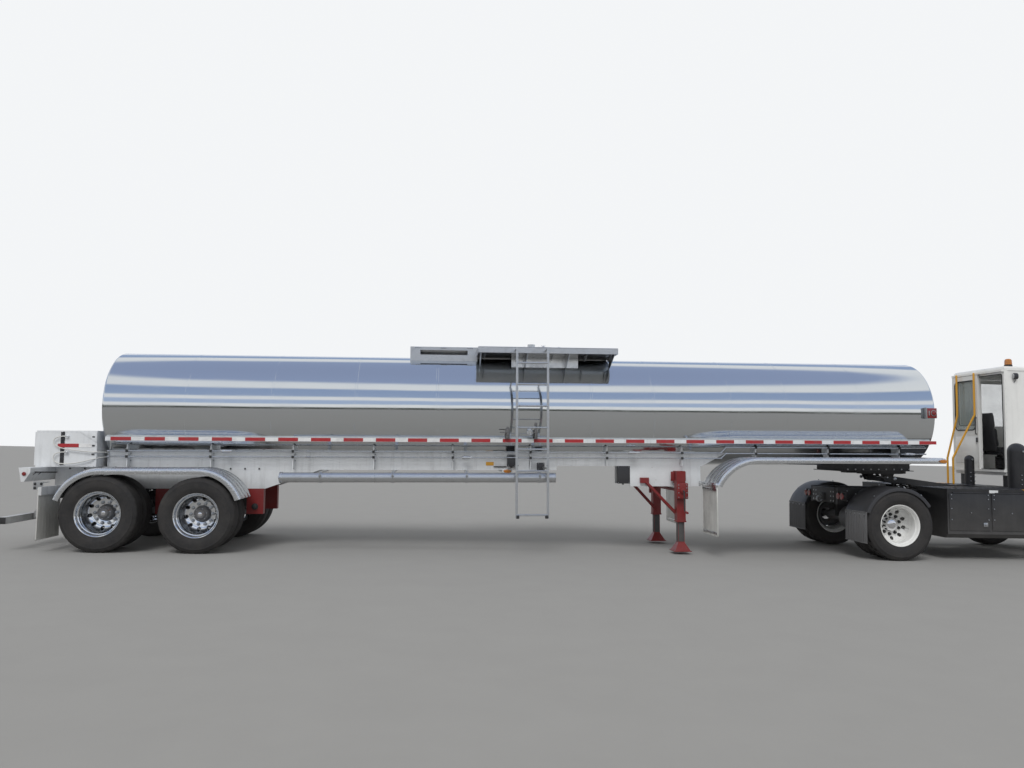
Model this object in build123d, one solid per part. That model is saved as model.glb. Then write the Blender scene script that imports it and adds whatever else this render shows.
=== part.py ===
from build123d import *
import os
from math import atan2, cos, degrees, hypot, pi, radians, sin, sqrt, tan

# Stainless tank semi-trailer coupled to a one-seat terminal tractor.
# +X is forward, +Y is the driver's left, +Z is up, sizes in millimetres.
# The origin is on the ground under the middle of the whole combination.

os.makedirs("parts", exist_ok=True)

# Lengths along the combination
tail_to_bogie = 1870
bogie_to_kingpin = 10905
axle_spacing = 1260
kingpin_lead = 380
tractor_wheelbase = 2997
front_overhang = 950
nose_up_angle = 1.03

# Fits between pieces
seat_gap = 0.3
pin_clearance = 0.06
panel_gap = 6

# Tyres and wheels, shared by every axle
tyre_radius = 505
tyre_width = 262
bead_rise = 24
bead_inset = 12
belly_radius = 400
shoulder_drop = 26
shoulder_inset = 15
tread_inset = 38
rim_radius = 292
rim_width = 232
rim_wall = 14
rim_lip_radius = 301
disc_thickness = 22
disc_offset = 168
hand_hole_count = 10
hand_hole_radius = 24
hand_hole_circle = 205
hub_radius = 112
hub_nose_radius = 62
hub_nose_length = 95
dish_radius = 236
dish_inset = 8
drum_radius = 168
drum_length = 150
overall_width = 2500
spindle_radius = 45
spindle_end = 40
axle_beam_radius = 64
front_tyre_y = 1010
front_spindle_radius = 32
front_nose_length = 50
knuckle_y = 835
knuckle_pin_radius = 20
knuckle_eye_radius = 44
knuckle_eye_height = 110
knuckle_ear = 34
running_gap = 5

# Tank jacket
tank_radius = 815
tank_axis_height = 1975
tank_rear_setback = 815
tank_length = 12210
head_depth = 55
tank_wall = 8
head_rim = 24
rail_strip_drop = 456
rail_strip_height = 56
rail_strip_reach = 26

# Longitudinal frame under the tank
frame_half_width = 520
frame_drop = 625
frame_height = 265
frame_web = 9
frame_flange = 85
frame_front_lead = 8195
frame_front_slope = 380
frame_step_lead = 5595
frame_slim_height = 200
gear_plate_leads = (6708, 7793)
gear_plate_drop = 1128
line_front_gap = 60
rib_spacing = 1143
rib_thickness = 10
rib_reach = 106
pipe_radius = 13
# each line's drop beside the frame, and ahead of it
line_drops = ((624, 540), (705, 632))
line_jog_leads = (-120, -40)
line_radius = 10
line_elbow_radius = 13
rib_first = 300
rib_top_drop = 530
rib_clip_drop = 720

# Bogie
bogie_plate_drop = 1160
bogie_plate_rear = 1520
bogie_plate_low_front = 1370
bogie_plate_high_front = 2140
bogie_cross_radius = 55
hanger_width = 110
hanger_length = 235
hanger_lead = 600
hanger_drop = 1520
arm_thickness = 60
air_spring_radius = 115
air_spring_setback = 330
spring_pad = 12
side_plate = 10

# Fenders, one profile for both pairs
fender_radius = 612
fender_skin = 5
fender_lip = 74
fender_inner = 640
fender_end_angle = 20
fender_stay_shares = (0.1, 0.5, 0.9)
fender_rib_count = 4
fender_rib_height = 9
fender_rib_width = 34
front_fender_front = 330
front_fender_drop = 690
front_fender_turn = 700
front_fender_end = 2490
front_fender_angle = 27
flap_thickness = 9
flap_width = 600
flap_setback = 1375
flap_bar_drop = 1155
flap_bar_height = 110
flap_bar_depth = 36
rear_flap_length = 640
front_flap_length = 700

# Rear cabinet, its door and the light bar
cabinet_half_width = 760
cabinet_length = 800
cabinet_top_drop = 350
cabinet_bottom_drop = 850
cabinet_wall = 20
cabinet_gap = 12
door_thickness = 24
outlet_radius = 51
outlet_drop = 640
outlet_reach = 420
ferrule_radius = 59.5
ferrule_length = 12
valve_half = 45
valve_radius = 80
valve_stem = 130
valve_stem_radius = 14
valve_handle_half = 110
hinge_pin_radius = 7
hinge_barrel_radius = 12
hinge_length = 60
hinge_reach = 90
cabinet_front_gap = 62
light_bar_depth = 150
light_bar_height = 185
light_bar_inset = 60
light_bar_drop = 850
lamp_radius = 52
lamp_proud = 14
rear_lamp_ys = (1080, 940, 130)
marker_radius = 26
marker_length = 120
marker_places = ((4860, 905, "frame"), (11190, 730, "fender"))
bumper_height = 435
bumper_size = 90
bumper_half_width = 1210
bumper_post_width = 60
bumper_post_lap = 130

# Top gear
platform_rear = 4395
platform_length = 2050
platform_half_width = 930
platform_rise = 895
platform_edge = 85
platform_plate = 10
platform_floor_rise = 25
platform_gusset_shares = (0.02, 0.35, 0.65, 0.975)
trough_rear = 3400
trough_length = 1010
trough_half_width = 340
trough_rise = 955
trough_bottom_rise = 725
trough_post = 150
trough_slot = 70
trough_slot_drop = 85
platform_gusset = 8
manhole_offset = 1025
manhole_outer = 290
manhole_inner = 254
manhole_rise = 957
spill_box_half = 505
spill_box_half_width = 500
spill_box_rise = 625
spill_box_wall = 8
lid_radius = 300
lid_thickness = 28
lid_hinge_gap = 34
lid_pin_radius = 9
lid_ear_half = 70
vent_radius = 60
vent_height = 70
vent_offset = 150

# Ladder
ladder_rear = 4935
ladder_width = 440
ladder_y = 1175
ladder_bottom_drop = 1540
ladder_rail = 34
ladder_top_drop = 30
ladder_stay_drop = 850
rung_radius = 13
rung_spacing = 305
rung_steps = (0, 2, 3, 4, 5, 6, 7)
first_rung = 45

# Hose tube along the near side
hose_tube_rear = 1690
hose_tube_length = 3810
hose_tube_radius = 68
hose_tube_y = 1040
hose_tube_drop = 980
hose_tube_wall = 5
hose_tube_straps = (0.14, 0.4, 0.67, 0.94)

# Two white service hoses that loop out of the rear cabinet's right wall. Each bend is a
# level (x, drop) from the bogie's middle and the tank's axis, as chosen from the photograph.
rear_hose_radius = 7.5
rear_hose_stand_off = 30
rear_hose_gland_x = -1260
rear_hose_gland_radius = 13
rear_hose_gland_reach = 20
rear_hose_socket_x = -810
rear_hose_socket = 14
rear_hose_bend_share = 0.45
rear_hose_routes = (
    # name, gland drop, bends beside the cabinet, socket drop
    ("rear_hose_upper", 427, ((-1438, 427), (-1438, 575), (-1105, 630)), 650),
    ("rear_hose_lower", 645, ((-1435, 645), (-1435, 797), (-1185, 815)), 713),
)
strap_width = 40

# Landing gear
landing_lead = 7430
landing_y = 650
landing_outer = 130
landing_inner = 96
landing_top_drop = 895
landing_outer_drop = 1640
landing_inner_drop = 1940
landing_foot_drop = 2069
landing_foot_half = 130
landing_brace_back = 510
landing_brace_drops = (1038, 1575)
landing_brace_radius = 24
landing_mount = 180
landing_lug = (65, 50, 40)
landing_shaft_drop = 1180

# Coupler
coupler_drop = 900
coupler_length = 1150
coupler_plate = 10
saddle_inset = 40
saddle_wall = 12
saddle_bays = 3
coupler_half_width = 480
kingpin_flange_radius = 36
kingpin_flange = 14
coupler_lead = 320
kingpin_radius = 25.4
kingpin_length = 84

# Tractor frame
rail_top = 1000
rail_height = 254
rail_half_gap = 355
rail_flange = 76
rail_web = 10
tractor_tail = 520
deck_top = 1050
deck_plate = 12
deck_rear_lead = 1500
deck_front_lead = 2420
side_box_front_lead = 2120
side_box_rear_lead = 780
side_box_bottom = 330
side_box_outer = 1150
cross_member = 90
nose_depth = 75
axle_block_half = 110
deck_slot = 25
deck_boom_gap = 90
side_box_chamfer = 60
cab_mount_ys = (40, 1080)
cab_mount_size = 110
cab_mount_inset = 40
deck_posts = ((2327, 500, 75, 430), (2200, -760, 130, 570))
engine_length = 800
engine_width = 620
engine_height = 630
engine_bottom = 560
engine_lead = 2830
diff_radius = 190
diff_width = 330
drive_beam_radius = 78
shaft_radius = 42
shaft_share = 0.4
steer_beam_height = 425
steer_beam_depth = 90
steer_beam_width = 110
steering_arm = 190
drive_fender_radius = 548
drive_fender_angles = (20, 32)
drive_fender_inner = 650
drive_flap_bottom = 240

# Boom and fifth wheel
boom_pivot_lead = 2030
boom_pivot_height = 960
boom_half_width = 270
boom_arm_width = 70
boom_depth = 90
boom_pin_radius = 28
trunnion_drop = 115
trunnion_radius = 28
fifth_wheel_half_width = 460
fifth_wheel_rear = 430
fifth_wheel_front = 330
fifth_wheel_plate = 42
throat_half_width = 150
trunnion_ear = 20
lift_y = 130
lift_foot_lead = 1350
lift_foot_height = 560
lift_eye_back = 1180
lift_eye_drop = 60
barrel_radius = 55
lift_rod_radius = 30
lift_pin_radius = 18
lift_eye_slack = 14
lift_bracket = 45
boom_boss = 8
boom_tie_share = 0.3
barrel_start = 30
barrel_share = 0.72
barrel_wall = 14
rod_start = 150

# Cab
cab_rear_lead = 2580
cab_length = 1300
cab_right = -50
cab_left = 1200
cab_floor = 1230
cab_roof = 3040
cab_front_rake = 140
cab_wall = 45
cab_edge_radius = 45
window_sill = 2080
window_head = 2860
doorway_width = 560
sliding_door_width = 660
sliding_door_bottom = 1320
sliding_door_top = 2940
sliding_door_thickness = 38
side_door_front = 1080
side_door_width = 680
side_door_bottom = 1320
hinge_stand_off = 12
cab_pivot_inset = 60
cab_pivot_height = 1150
cab_pivot_radius = 22
cab_pivot_half = 32
cab_pivot_plate = 16
cab_pivot_ys = (150, 980)
window_edge = 70
screen_foot_drop = 60
right_window_lead = 520
sliding_window_sill = 1990
door_rail = 36
side_door_rise = 60
side_hinge_shares = (0.12, 0.88)
glass_thickness = 6

# Inside the cab
seat_shift = 60
seat_lead = 190
seat_half_width = 240
seat_depth = 480
seat_base = 300
seat_cushion = 130
seat_back = 110
seat_back_height = 720
seat_recline = 70
seat_round = 38
dash_depth = 260
dash_drop = 60
column_angle = 35
column_length = 230
column_radius = 30
steering_hub = 40
steering_stub = 9
steering_radius = 210
steering_grip = 14

# Cab fittings, hood, bumper and handrails
beacon_lead = 150
beacon_inset = 90
beacon_height = 130
beacon_radius = 62
work_lamp_lead = 170
work_lamp_drop = 170
work_lamp_radius = 70
work_lamp_proud = 60
mirror_inset = 150
mirror_depth = 30
mirror_stand = 8
mirror_low = 2150
mirror_tall = 380
mirror_wide = 190
mirror_slim = 36
mirror_reach = 420
hood_gap = 30
hood_inset = 40
hood_length = 1230
hood_outer = 1180
hood_bottom = 1060
hood_nose_height = 1420
hood_slope = 500
hood_top = 1560
hood_wall = 20
hood_edge = 60
grille_slots = 6
front_bumper_half = 1240
front_bumper_chamfer = 60
front_bumper_bottom = 400
front_bumper_top = 860
front_bumper_slot = 160
headlamp_ys = (980, 790)
headlamp_radius = 75
headlamp_depth = 60
handrail_radius = 17
handrail_stand = 90
handrail_top = 2960
handrail_bend = 2250
handrail_knee = 1500
handrail_splay = 120
handrail_places = ((560, 330), (1010, 120))

# Places along X, from the bogie first and then from the middle of the whole
nose_up = radians(nose_up_angle)
coupler_height = tank_axis_height - coupler_drop
coupler_rise = coupler_height - tyre_radius
kingpin_from_bogie = bogie_to_kingpin * cos(nose_up) - coupler_rise * sin(nose_up)
nose_from_bogie = kingpin_from_bogie - kingpin_lead + tractor_wheelbase + front_overhang
bumper_top_rise = bumper_height + bumper_size / 2 - tyre_radius
tail_from_bogie = tail_to_bogie * cos(nose_up) + bumper_top_rise * sin(nose_up)
bogie_x = (tail_from_bogie - nose_from_bogie) / 2
tail_x = bogie_x - tail_to_bogie
kingpin_x = bogie_x + bogie_to_kingpin
coupling_x = bogie_x + kingpin_from_bogie
coupling_z = tyre_radius + bogie_to_kingpin * sin(nose_up) + coupler_rise * cos(nose_up)
drive_x = coupling_x - kingpin_lead
steer_x = drive_x + tractor_wheelbase
nose_x = steer_x + front_overhang
axle_xs = (bogie_x - axle_spacing / 2, bogie_x + axle_spacing / 2)
outer_tyre_y = overall_width / 2 - tyre_width / 2
dual_face_y = outer_tyre_y - disc_offset
inner_tyre_y = dual_face_y - disc_offset
tank_rear_x = bogie_x - tank_rear_setback
tank_front_x = tank_rear_x + tank_length


# Short makers used by every piece
def block(x_low, x_high, y_low, y_high, z_low, z_high):
    size = (x_high - x_low, y_high - y_low, z_high - z_low)
    centre = ((x_low + x_high) / 2, (y_low + y_high) / 2, (z_low + z_high) / 2)
    return Pos(*centre) * Box(*size)


def bar(start, end, radius):
    axis = Vector(*end) - Vector(*start)
    middle = (Vector(*end) + Vector(*start)) * 0.5
    return Plane(origin=middle, z_dir=axis.normalized()) * Cylinder(radius, axis.length)


def flat_bar(start, end, width, thickness):
    """A rectangular bar in the XZ plane's direction, thickness across Y."""
    axis = Vector(*end) - Vector(*start)
    middle = (Vector(*end) + Vector(*start)) * 0.5
    plane = Plane(origin=middle, x_dir=(0, 1, 0), z_dir=axis.normalized())
    return plane * Box(thickness, width, axis.length)


def side_prism(points, y_low, y_high):
    """A closed outline in X and Z, carried from one side plane to another."""
    outline = make_face(Polyline(*[(x, 0, z) for x, z in points], close=True))
    solid = extrude(outline, amount=y_high - y_low, dir=(0, 1, 0))
    return Pos(0, y_low, 0) * solid


def plan_prism(points, z_low, z_high):
    """A closed outline in X and Y, carried up from one height to another."""
    outline = make_face(Polyline(*[(x, y, 0) for x, y in points], close=True))
    solid = extrude(outline, amount=z_high - z_low, dir=(0, 0, 1))
    return Pos(0, 0, z_low) * solid


def turned(points):
    """A closed outline of (radius, y) pairs turned about the Y axis."""
    outline = make_face(Polyline(*[(radius, y, 0) for radius, y in points], close=True))
    return revolve(outline, Axis.Y)


def across(shape):
    """The same shape on the other side of the vehicle."""
    return mirror(shape, Plane.XZ)


def both(shape):
    return [shape, across(shape)]


def raised(shape):
    """Turn a sprung trailer piece nose-up about the middle of the bogie."""
    return shape.rotate(Axis((bogie_x, 0, tyre_radius), (0, 1, 0)), -nose_up_angle)


def save(name, shapes, sprung=False):
    """Write one node; sprung trailer pieces are turned nose-up first."""
    solids = []
    for shape in shapes if isinstance(shapes, (list, tuple)) else [shapes]:
        solids.extend(shape.solids())
    if sprung:
        solids = [raised(solid) for solid in solids]
    node = solids[0] if len(solids) == 1 else Compound(children=solids)
    export_step(node, "parts/" + name + ".step")


# Wheels: every dual pair and every single front wheel comes from these
def tyre(y_centre):
    """Section of a tyre as (radius, y) pairs, from bead to bead."""
    half = tyre_width / 2
    bead_half = rim_width / 2 - rim_wall - seat_gap
    outer_side = [
        (rim_radius + seat_gap, bead_half),
        (rim_lip_radius + seat_gap, bead_half),
        (rim_lip_radius + bead_rise, half - bead_inset),
        (belly_radius, half),
        (tyre_radius - shoulder_drop, half - shoulder_inset),
        (tyre_radius, half - tread_inset),
    ]
    lower = [(radius, y_centre - y) for radius, y in outer_side]
    upper = [(radius, y_centre + y) for radius, y in reversed(outer_side)]
    return turned(lower + upper)


def rim(y_centre, face, side):
    """A rim whose dished disc bolts up at face, on its side of the centre."""
    half = rim_width / 2
    well = rim_radius - rim_wall
    lip = [
        (well, -half),
        (rim_lip_radius, -half),
        (rim_lip_radius, rim_wall - half),
        (rim_radius, rim_wall - half),
        (rim_radius, half - rim_wall),
        (rim_lip_radius, half - rim_wall),
        (rim_lip_radius, half),
        (well, half),
    ]
    barrel = turned([(radius, y_centre + y) for radius, y in lip])
    edge = y_centre + side * (half - dish_inset)
    back = side * disc_thickness
    disc = turned(
        [
            (hub_radius - rim_wall, face),
            (dish_radius, face),
            (well + 2, edge),
            (well + 2, edge - back),
            (dish_radius - dish_inset, face - back),
            (hub_radius - rim_wall, face - back),
        ]
    )
    return barrel + disc


def hand_holes(face):
    """The ring of round holes through a disc or a pair of discs."""
    cutters = []
    for number in range(hand_hole_count):
        angle = 2 * pi * (number + 0.5) / hand_hole_count
        x = hand_hole_circle * cos(angle)
        z = hand_hole_circle * sin(angle)
        near = (x, face - 2 * disc_thickness, z)
        far = (x, face + 2 * disc_thickness, z)
        cutters.append(bar(near, far, hand_hole_radius))
    return cutters


def hub(face, bore, stack, nose_length):
    """Drum, hub barrel and domed nose, bored for the spindle."""
    front = face + stack
    return turned(
        [
            (bore, face - drum_length),
            (drum_radius, face - drum_length),
            (drum_radius, face - disc_thickness),
            (hub_radius, face - disc_thickness),
            (hub_radius, front + nose_length / 2),
            (hub_nose_radius, front + nose_length),
            (0, front + nose_length),
            (0, face + spindle_end + running_gap),
            (bore, face + spindle_end + running_gap),
        ]
    )


def on_axle(shape, x, side):
    """Put a left-hand wheel piece on its axle, or its mirror on the right."""
    placed = Pos(x, 0, tyre_radius) * shape
    return placed if side > 0 else across(placed)


def save_dual_wheel(label, x, side):
    tyres = [tyre(outer_tyre_y), tyre(inner_tyre_y)]
    metal = rim(outer_tyre_y, dual_face_y, -1) + rim(inner_tyre_y, dual_face_y, 1)
    metal = metal + hub(dual_face_y, spindle_radius + pin_clearance, disc_thickness, hub_nose_length)
    metal = metal - hand_holes(dual_face_y)
    save("tyres_" + label, [on_axle(piece, x, side) for piece in tyres])
    save("wheels_" + label, on_axle(metal, x, side))


def save_front_wheel(label, side):
    face = front_tyre_y + disc_offset
    metal = rim(front_tyre_y, face, 1)
    metal = metal + hub(face, front_spindle_radius + pin_clearance, 0, front_nose_length)
    metal = metal - hand_holes(face)
    save("tyre_" + label, on_axle(tyre(front_tyre_y), steer_x, side))
    save("wheel_" + label, on_axle(metal, steer_x, side))


sides = (("left", 1), ("right", -1))
for side_name, side in sides:
    save_dual_wheel("rear_axle_" + side_name, axle_xs[0], side)
    save_dual_wheel("front_axle_" + side_name, axle_xs[1], side)
    save_dual_wheel("drive_" + side_name, drive_x, side)
    save_front_wheel("steer_" + side_name, side)


# Trailer axles: a round beam, its spindles, and the arms it hangs from
def trailer_axle(x):
    beam_end = dual_face_y - drum_length - running_gap
    spindle_tip = dual_face_y + spindle_end
    beam = bar((x, -beam_end, tyre_radius), (x, beam_end, tyre_radius), axle_beam_radius)
    spindle = bar((x, -spindle_tip, tyre_radius), (x, spindle_tip, tyre_radius), spindle_radius)
    axle = beam + spindle
    low = tyre_radius - arm_thickness / 2
    high = tyre_radius + arm_thickness / 2
    for side_name, side in sides:
        y_low, y_high = sorted((side * (frame_half_width - hanger_width), side * frame_half_width))
        arm = block(x - air_spring_setback - air_spring_radius, x + arm_reach, y_low, y_high, low, high)
        axle = axle + arm
        seat_x = x - air_spring_setback
        bag_y = side * (frame_half_width - hanger_width / 2)
        bag_top = bogie_bottom_at(seat_x - air_spring_radius) - seat_gap
        axle = axle + bar((seat_x, bag_y, high), (seat_x, bag_y, bag_top), air_spring_radius)
    return axle


def rise(x):
    """How much higher a sprung piece sits at x than if it were level."""
    return (x - bogie_x) * sin(nose_up)


bogie_bottom = tank_axis_height - bogie_plate_drop
arm_reach = hanger_lead - hanger_length / 2 - seat_gap - arm_thickness / 2 * sin(nose_up)


def bogie_bottom_at(x):
    # Height of the underside of the spring pads, once the frame is nose-up
    return tyre_radius + (bogie_bottom - spring_pad - tyre_radius) * cos(nose_up) + rise(x)


save("trailer_axles", [trailer_axle(x) for x in axle_xs])

# Tank jacket, turned about its own axis with shallow dished heads
head_points = (
    (tank_rear_x - head_depth, 0),
    (tank_rear_x, tank_radius - head_rim),
    (tank_rear_x + head_rim, tank_radius),
    (tank_front_x - head_rim, tank_radius),
    (tank_front_x, tank_radius - head_rim),
    (tank_front_x + head_depth, 0),
)


def dish(pole, rim_point):
    """Arc from the middle of a head to its rim, bulging outwards."""
    depth = abs(pole[0] - rim_point[0])
    reach = rim_point[1]
    ball = (depth * depth + reach * reach) / (2 * depth)
    half_reach = reach / 2
    sag = ball - sqrt(ball * ball - half_reach * half_reach)
    outwards = 1 if pole[0] > rim_point[0] else -1
    middle = (pole[0] - outwards * sag, half_reach)
    return ThreePointArc((*pole, 0), (*middle, 0), (*rim_point, 0))


tank_outline = Curve() + [
    dish(head_points[0], head_points[1]),
    Polyline(*[(x, r, 0) for x, r in head_points[1:5]]),
    dish(head_points[5], head_points[4]),
    Line((*head_points[5], 0), (*head_points[0], 0)),
]
tank = Pos(0, 0, tank_axis_height) * revolve(make_face(tank_outline), Axis.X)
tank_space = Pos((tank_rear_x + tank_front_x) / 2, 0, tank_axis_height) * (
    Rot(0, 90, 0) * Cylinder(tank_radius + seat_gap, tank_length + 8 * head_depth)
)
tank_inside = bar(
    (tank_rear_x + head_rim, 0, tank_axis_height),
    (tank_front_x - head_rim, 0, tank_axis_height),
    tank_radius - tank_wall,
)
save("tank", tank - tank_inside, sprung=True)

# Frame: a channel on each side, ribs outside it, and the marker strip rail
frame_top = tank_axis_height - frame_drop
frame_bottom = frame_top - frame_height
frame_rear_x = tank_rear_x - cabinet_gap
frame_front_x = bogie_x + frame_front_lead
line_front_x = tank_front_x - line_front_gap
slim_bottom = frame_top - frame_slim_height
gear_plate_rear, gear_plate_front = (bogie_x + lead for lead in gear_plate_leads)
gear_plate_bottom = tank_axis_height - gear_plate_drop
# each run of the frame: rear end, front end, underside
frame_runs = (
    (frame_rear_x, bogie_x + frame_step_lead, frame_bottom),
    (bogie_x + frame_step_lead, gear_plate_rear, slim_bottom),
    (gear_plate_rear, gear_plate_front, gear_plate_bottom),
    (gear_plate_front, frame_front_x - frame_front_slope, slim_bottom),
)


def frame_side():
    outer = frame_half_width
    inner = outer - frame_flange
    outline = [(frame_front_x, frame_top), (frame_rear_x, frame_top)]
    for rear, front, bottom in frame_runs:
        outline += [(rear, bottom), (front, bottom)]
    rail = side_prism(outline, outer - frame_web, outer)
    for rear, front, bottom in frame_runs:
        rail = rail + block(rear, front, inner, outer, bottom, bottom + frame_web)
    for x in rib_xs:
        if x < frame_front_x - frame_front_slope:
            rail = rail + block(
                x,
                x + rib_thickness,
                outer - frame_web,
                outer + rib_reach,
                frame_bottom + frame_web if x < bogie_x + frame_step_lead else slim_bottom + frame_web,
                rib_top,
            )
    return rail - tank_space


def line_clip(x):
    """Bracket that holds the pipes on the bare tank, ahead of the frame."""
    outer = frame_half_width + rib_reach
    clip = block(x, x + rib_thickness, coupler_half_width, outer, rib_clip_bottom, rib_top)
    return clip - tank_space


rib_top = tank_axis_height - rib_top_drop
rib_clip_bottom = tank_axis_height - rib_clip_drop
rib_count = int((line_front_x - frame_rear_x - rib_first) / rib_spacing) + 1
rib_xs = [frame_rear_x + rib_first + number * rib_spacing for number in range(rib_count)]
line_clips = [line_clip(x) for x in rib_xs if x >= frame_front_x - frame_front_slope]


def strip_rail():
    middle = tank_axis_height - rail_strip_drop
    half = rail_strip_height / 2
    reach = sqrt(tank_radius**2 - (rail_strip_drop - half) ** 2)
    strip = block(
        tank_rear_x + head_rim,
        tank_front_x - head_rim,
        reach - 3 * rail_strip_reach,
        reach + rail_strip_reach,
        middle - half,
        middle + half,
    )
    return strip - tank_space


right_frame_side = across(frame_side())
hose_socket_x = bogie_x + rear_hose_socket_x
hose_socket_y = -frame_half_width - rear_hose_stand_off
for name, gland_drop, bends, socket_drop in rear_hose_routes:
    socket_z = tank_axis_height - socket_drop
    right_frame_side = right_frame_side + block(
        hose_socket_x - rear_hose_socket,
        hose_socket_x + rear_hose_socket,
        hose_socket_y,
        -frame_half_width,
        socket_z - rear_hose_socket,
        socket_z + rear_hose_socket,
    )
frame_pieces = [frame_side(), right_frame_side] + both(strip_rail())
for clip in line_clips:
    frame_pieces += both(clip)
save("frame_rails", frame_pieces, sprung=True)

# Bogie frame: deep side plates, cross tubes, spring pads and the flap bar
cabinet_rear_x = tank_rear_x - cabinet_front_gap - cabinet_length
cabinet_front_x = tank_rear_x - cabinet_front_gap
cabinet_top = tank_axis_height - cabinet_top_drop
cabinet_bottom = tank_axis_height - cabinet_bottom_drop
hanger_xs = [x + hanger_lead for x in axle_xs]
spring_xs = [x - air_spring_setback for x in axle_xs]
flap_bar_z = tank_axis_height - flap_bar_drop


def bogie_side():
    plate = side_prism(
        [
            (bogie_x - bogie_plate_rear, bogie_bottom),
            (bogie_x + bogie_plate_low_front, bogie_bottom),
            (bogie_x + bogie_plate_high_front, frame_bottom - seat_gap),
            (frame_rear_x - seat_gap, frame_bottom - seat_gap),
            (frame_rear_x - seat_gap, cabinet_bottom - seat_gap),
            (bogie_x - bogie_plate_rear, cabinet_bottom - seat_gap),
        ],
        frame_half_width - side_plate,
        frame_half_width,
    )
    pad_y = frame_half_width - hanger_width / 2
    for x in spring_xs:
        plate = plate + block(
            x - air_spring_radius,
            x + air_spring_radius,
            pad_y - air_spring_radius,
            pad_y + air_spring_radius,
            bogie_bottom - spring_pad,
            bogie_bottom,
        )
    return plate


bogie_frame = bogie_side() + across(bogie_side())
cross_z = (bogie_bottom + frame_bottom) / 2
for x in hanger_xs + spring_xs:
    cross_y = frame_half_width - side_plate
    bogie_frame = bogie_frame + bar((x, -cross_y, cross_z), (x, cross_y, cross_z), bogie_cross_radius)
flap_bar_x = bogie_x - flap_setback
flap_bar = block(
    flap_bar_x,
    flap_bar_x + flap_bar_depth,
    -overall_width / 2,
    overall_width / 2,
    flap_bar_z - flap_bar_height / 2,
    flap_bar_z + flap_bar_height / 2,
)
save("bogie_frame", bogie_frame + flap_bar, sprung=True)

# Suspension hangers, one box under each side plate ahead of each axle
hangers = []
for x in hanger_xs:
    hangers += both(
        block(
            x - hanger_length / 2,
            x + hanger_length / 2,
            frame_half_width - hanger_width,
            frame_half_width,
            tank_axis_height - hanger_drop,
            bogie_bottom - seat_gap,
        )
    )
save("suspension_hangers", hangers, sprung=True)


# Fenders: a thin skin over the tyres with ribs on it and a deep outer lip
def arch_curve(radius, rear_x, front_x, z, rear_angle, front_angle):
    """Up over the rear wheel, along, and down over the front one."""
    rear_low = radians(180 - rear_angle)
    rear_mid = (rear_low + pi / 2) / 2
    points = [
        (rear_x + radius * cos(rear_low), 0, z + radius * sin(rear_low)),
        (rear_x + radius * cos(rear_mid), 0, z + radius * sin(rear_mid)),
        (rear_x, 0, z + radius),
        (front_x, 0, z + radius),
    ]
    curve = [ThreePointArc(*points[0:3]), Line(points[2], points[3])]
    if front_angle is not None:
        front_low = radians(front_angle)
        front_mid = (front_low + pi / 2) / 2
        points.append((front_x + radius * cos(front_mid), 0, z + radius * sin(front_mid)))
        points.append((front_x + radius * cos(front_low), 0, z + radius * sin(front_low)))
        curve.append(ThreePointArc(*points[3:6]))
    return curve, points[0], points[-1]


def arch_band(inside, outside, y_low, y_high, place):
    """A band between two radii; place holds the arch's centres and angles."""
    outer, outer_start, outer_end = arch_curve(outside, *place)
    inner, inner_start, inner_end = arch_curve(inside, *place)
    ends = [Line(outer_start, inner_start), Line(outer_end, inner_end)]
    face = make_face(Curve() + outer + inner + ends)
    solid = extrude(face, amount=y_high - y_low, dir=(0, 1, 0))
    return Pos(0, y_low, 0) * solid


def fender(place, radius):
    outer_y = overall_width / 2
    skin = arch_band(radius - fender_skin, radius, fender_inner, outer_y, place)
    for edge_y in (fender_inner, outer_y - fender_skin):
        skin = skin + arch_band(radius - fender_lip, radius, edge_y, edge_y + fender_skin, place)
    pitch = (outer_y - fender_inner) / fender_rib_count
    for number in range(fender_rib_count):
        middle = fender_inner + (number + 0.5) * pitch
        low = middle - fender_rib_width / 2
        high = middle + fender_rib_width / 2
        skin = skin + arch_band(radius - fender_skin, radius + fender_rib_height, low, high, place)
    return skin


rear_fender_place = (axle_xs[0], axle_xs[1], tyre_radius, fender_end_angle, fender_end_angle)
front_fender_top = tank_axis_height - front_fender_drop
front_fender_place = (
    kingpin_x - front_fender_end,
    kingpin_x + front_fender_front,
    front_fender_top - front_fender_turn,
    front_fender_angle,
    None,
)


def fender_stay(x, inner, top):
    """A tube from the frame's side or the tank out to the fender's inner lip."""
    outer = fender_inner + fender_skin / 2
    return bar((x, inner, top), (x, outer, top), pipe_radius) - tank_space


coupler_rear_x = kingpin_x - coupler_length + coupler_lead
coupler_front_x = kingpin_x + coupler_lead
saddle_y = coupler_half_width - saddle_inset
rear_fender = fender(rear_fender_place, fender_radius)
for x in axle_xs:
    stay_top = tyre_radius + fender_radius - fender_lip / 2
    rear_fender = rear_fender + fender_stay(x, frame_half_width + seat_gap, stay_top)
front_fender = fender(front_fender_place, front_fender_turn)
for share in fender_stay_shares:
    x = front_fender_place[0] + share * (front_fender_place[1] - front_fender_place[0])
    on_saddle = coupler_rear_x < x < coupler_front_x
    stay_root = saddle_y + seat_gap if on_saddle else frame_half_width - 3 * frame_flange
    front_fender = front_fender + fender_stay(x, stay_root, front_fender_top - fender_lip / 2)
save("trailer_fenders", both(rear_fender) + both(front_fender), sprung=True)

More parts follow.
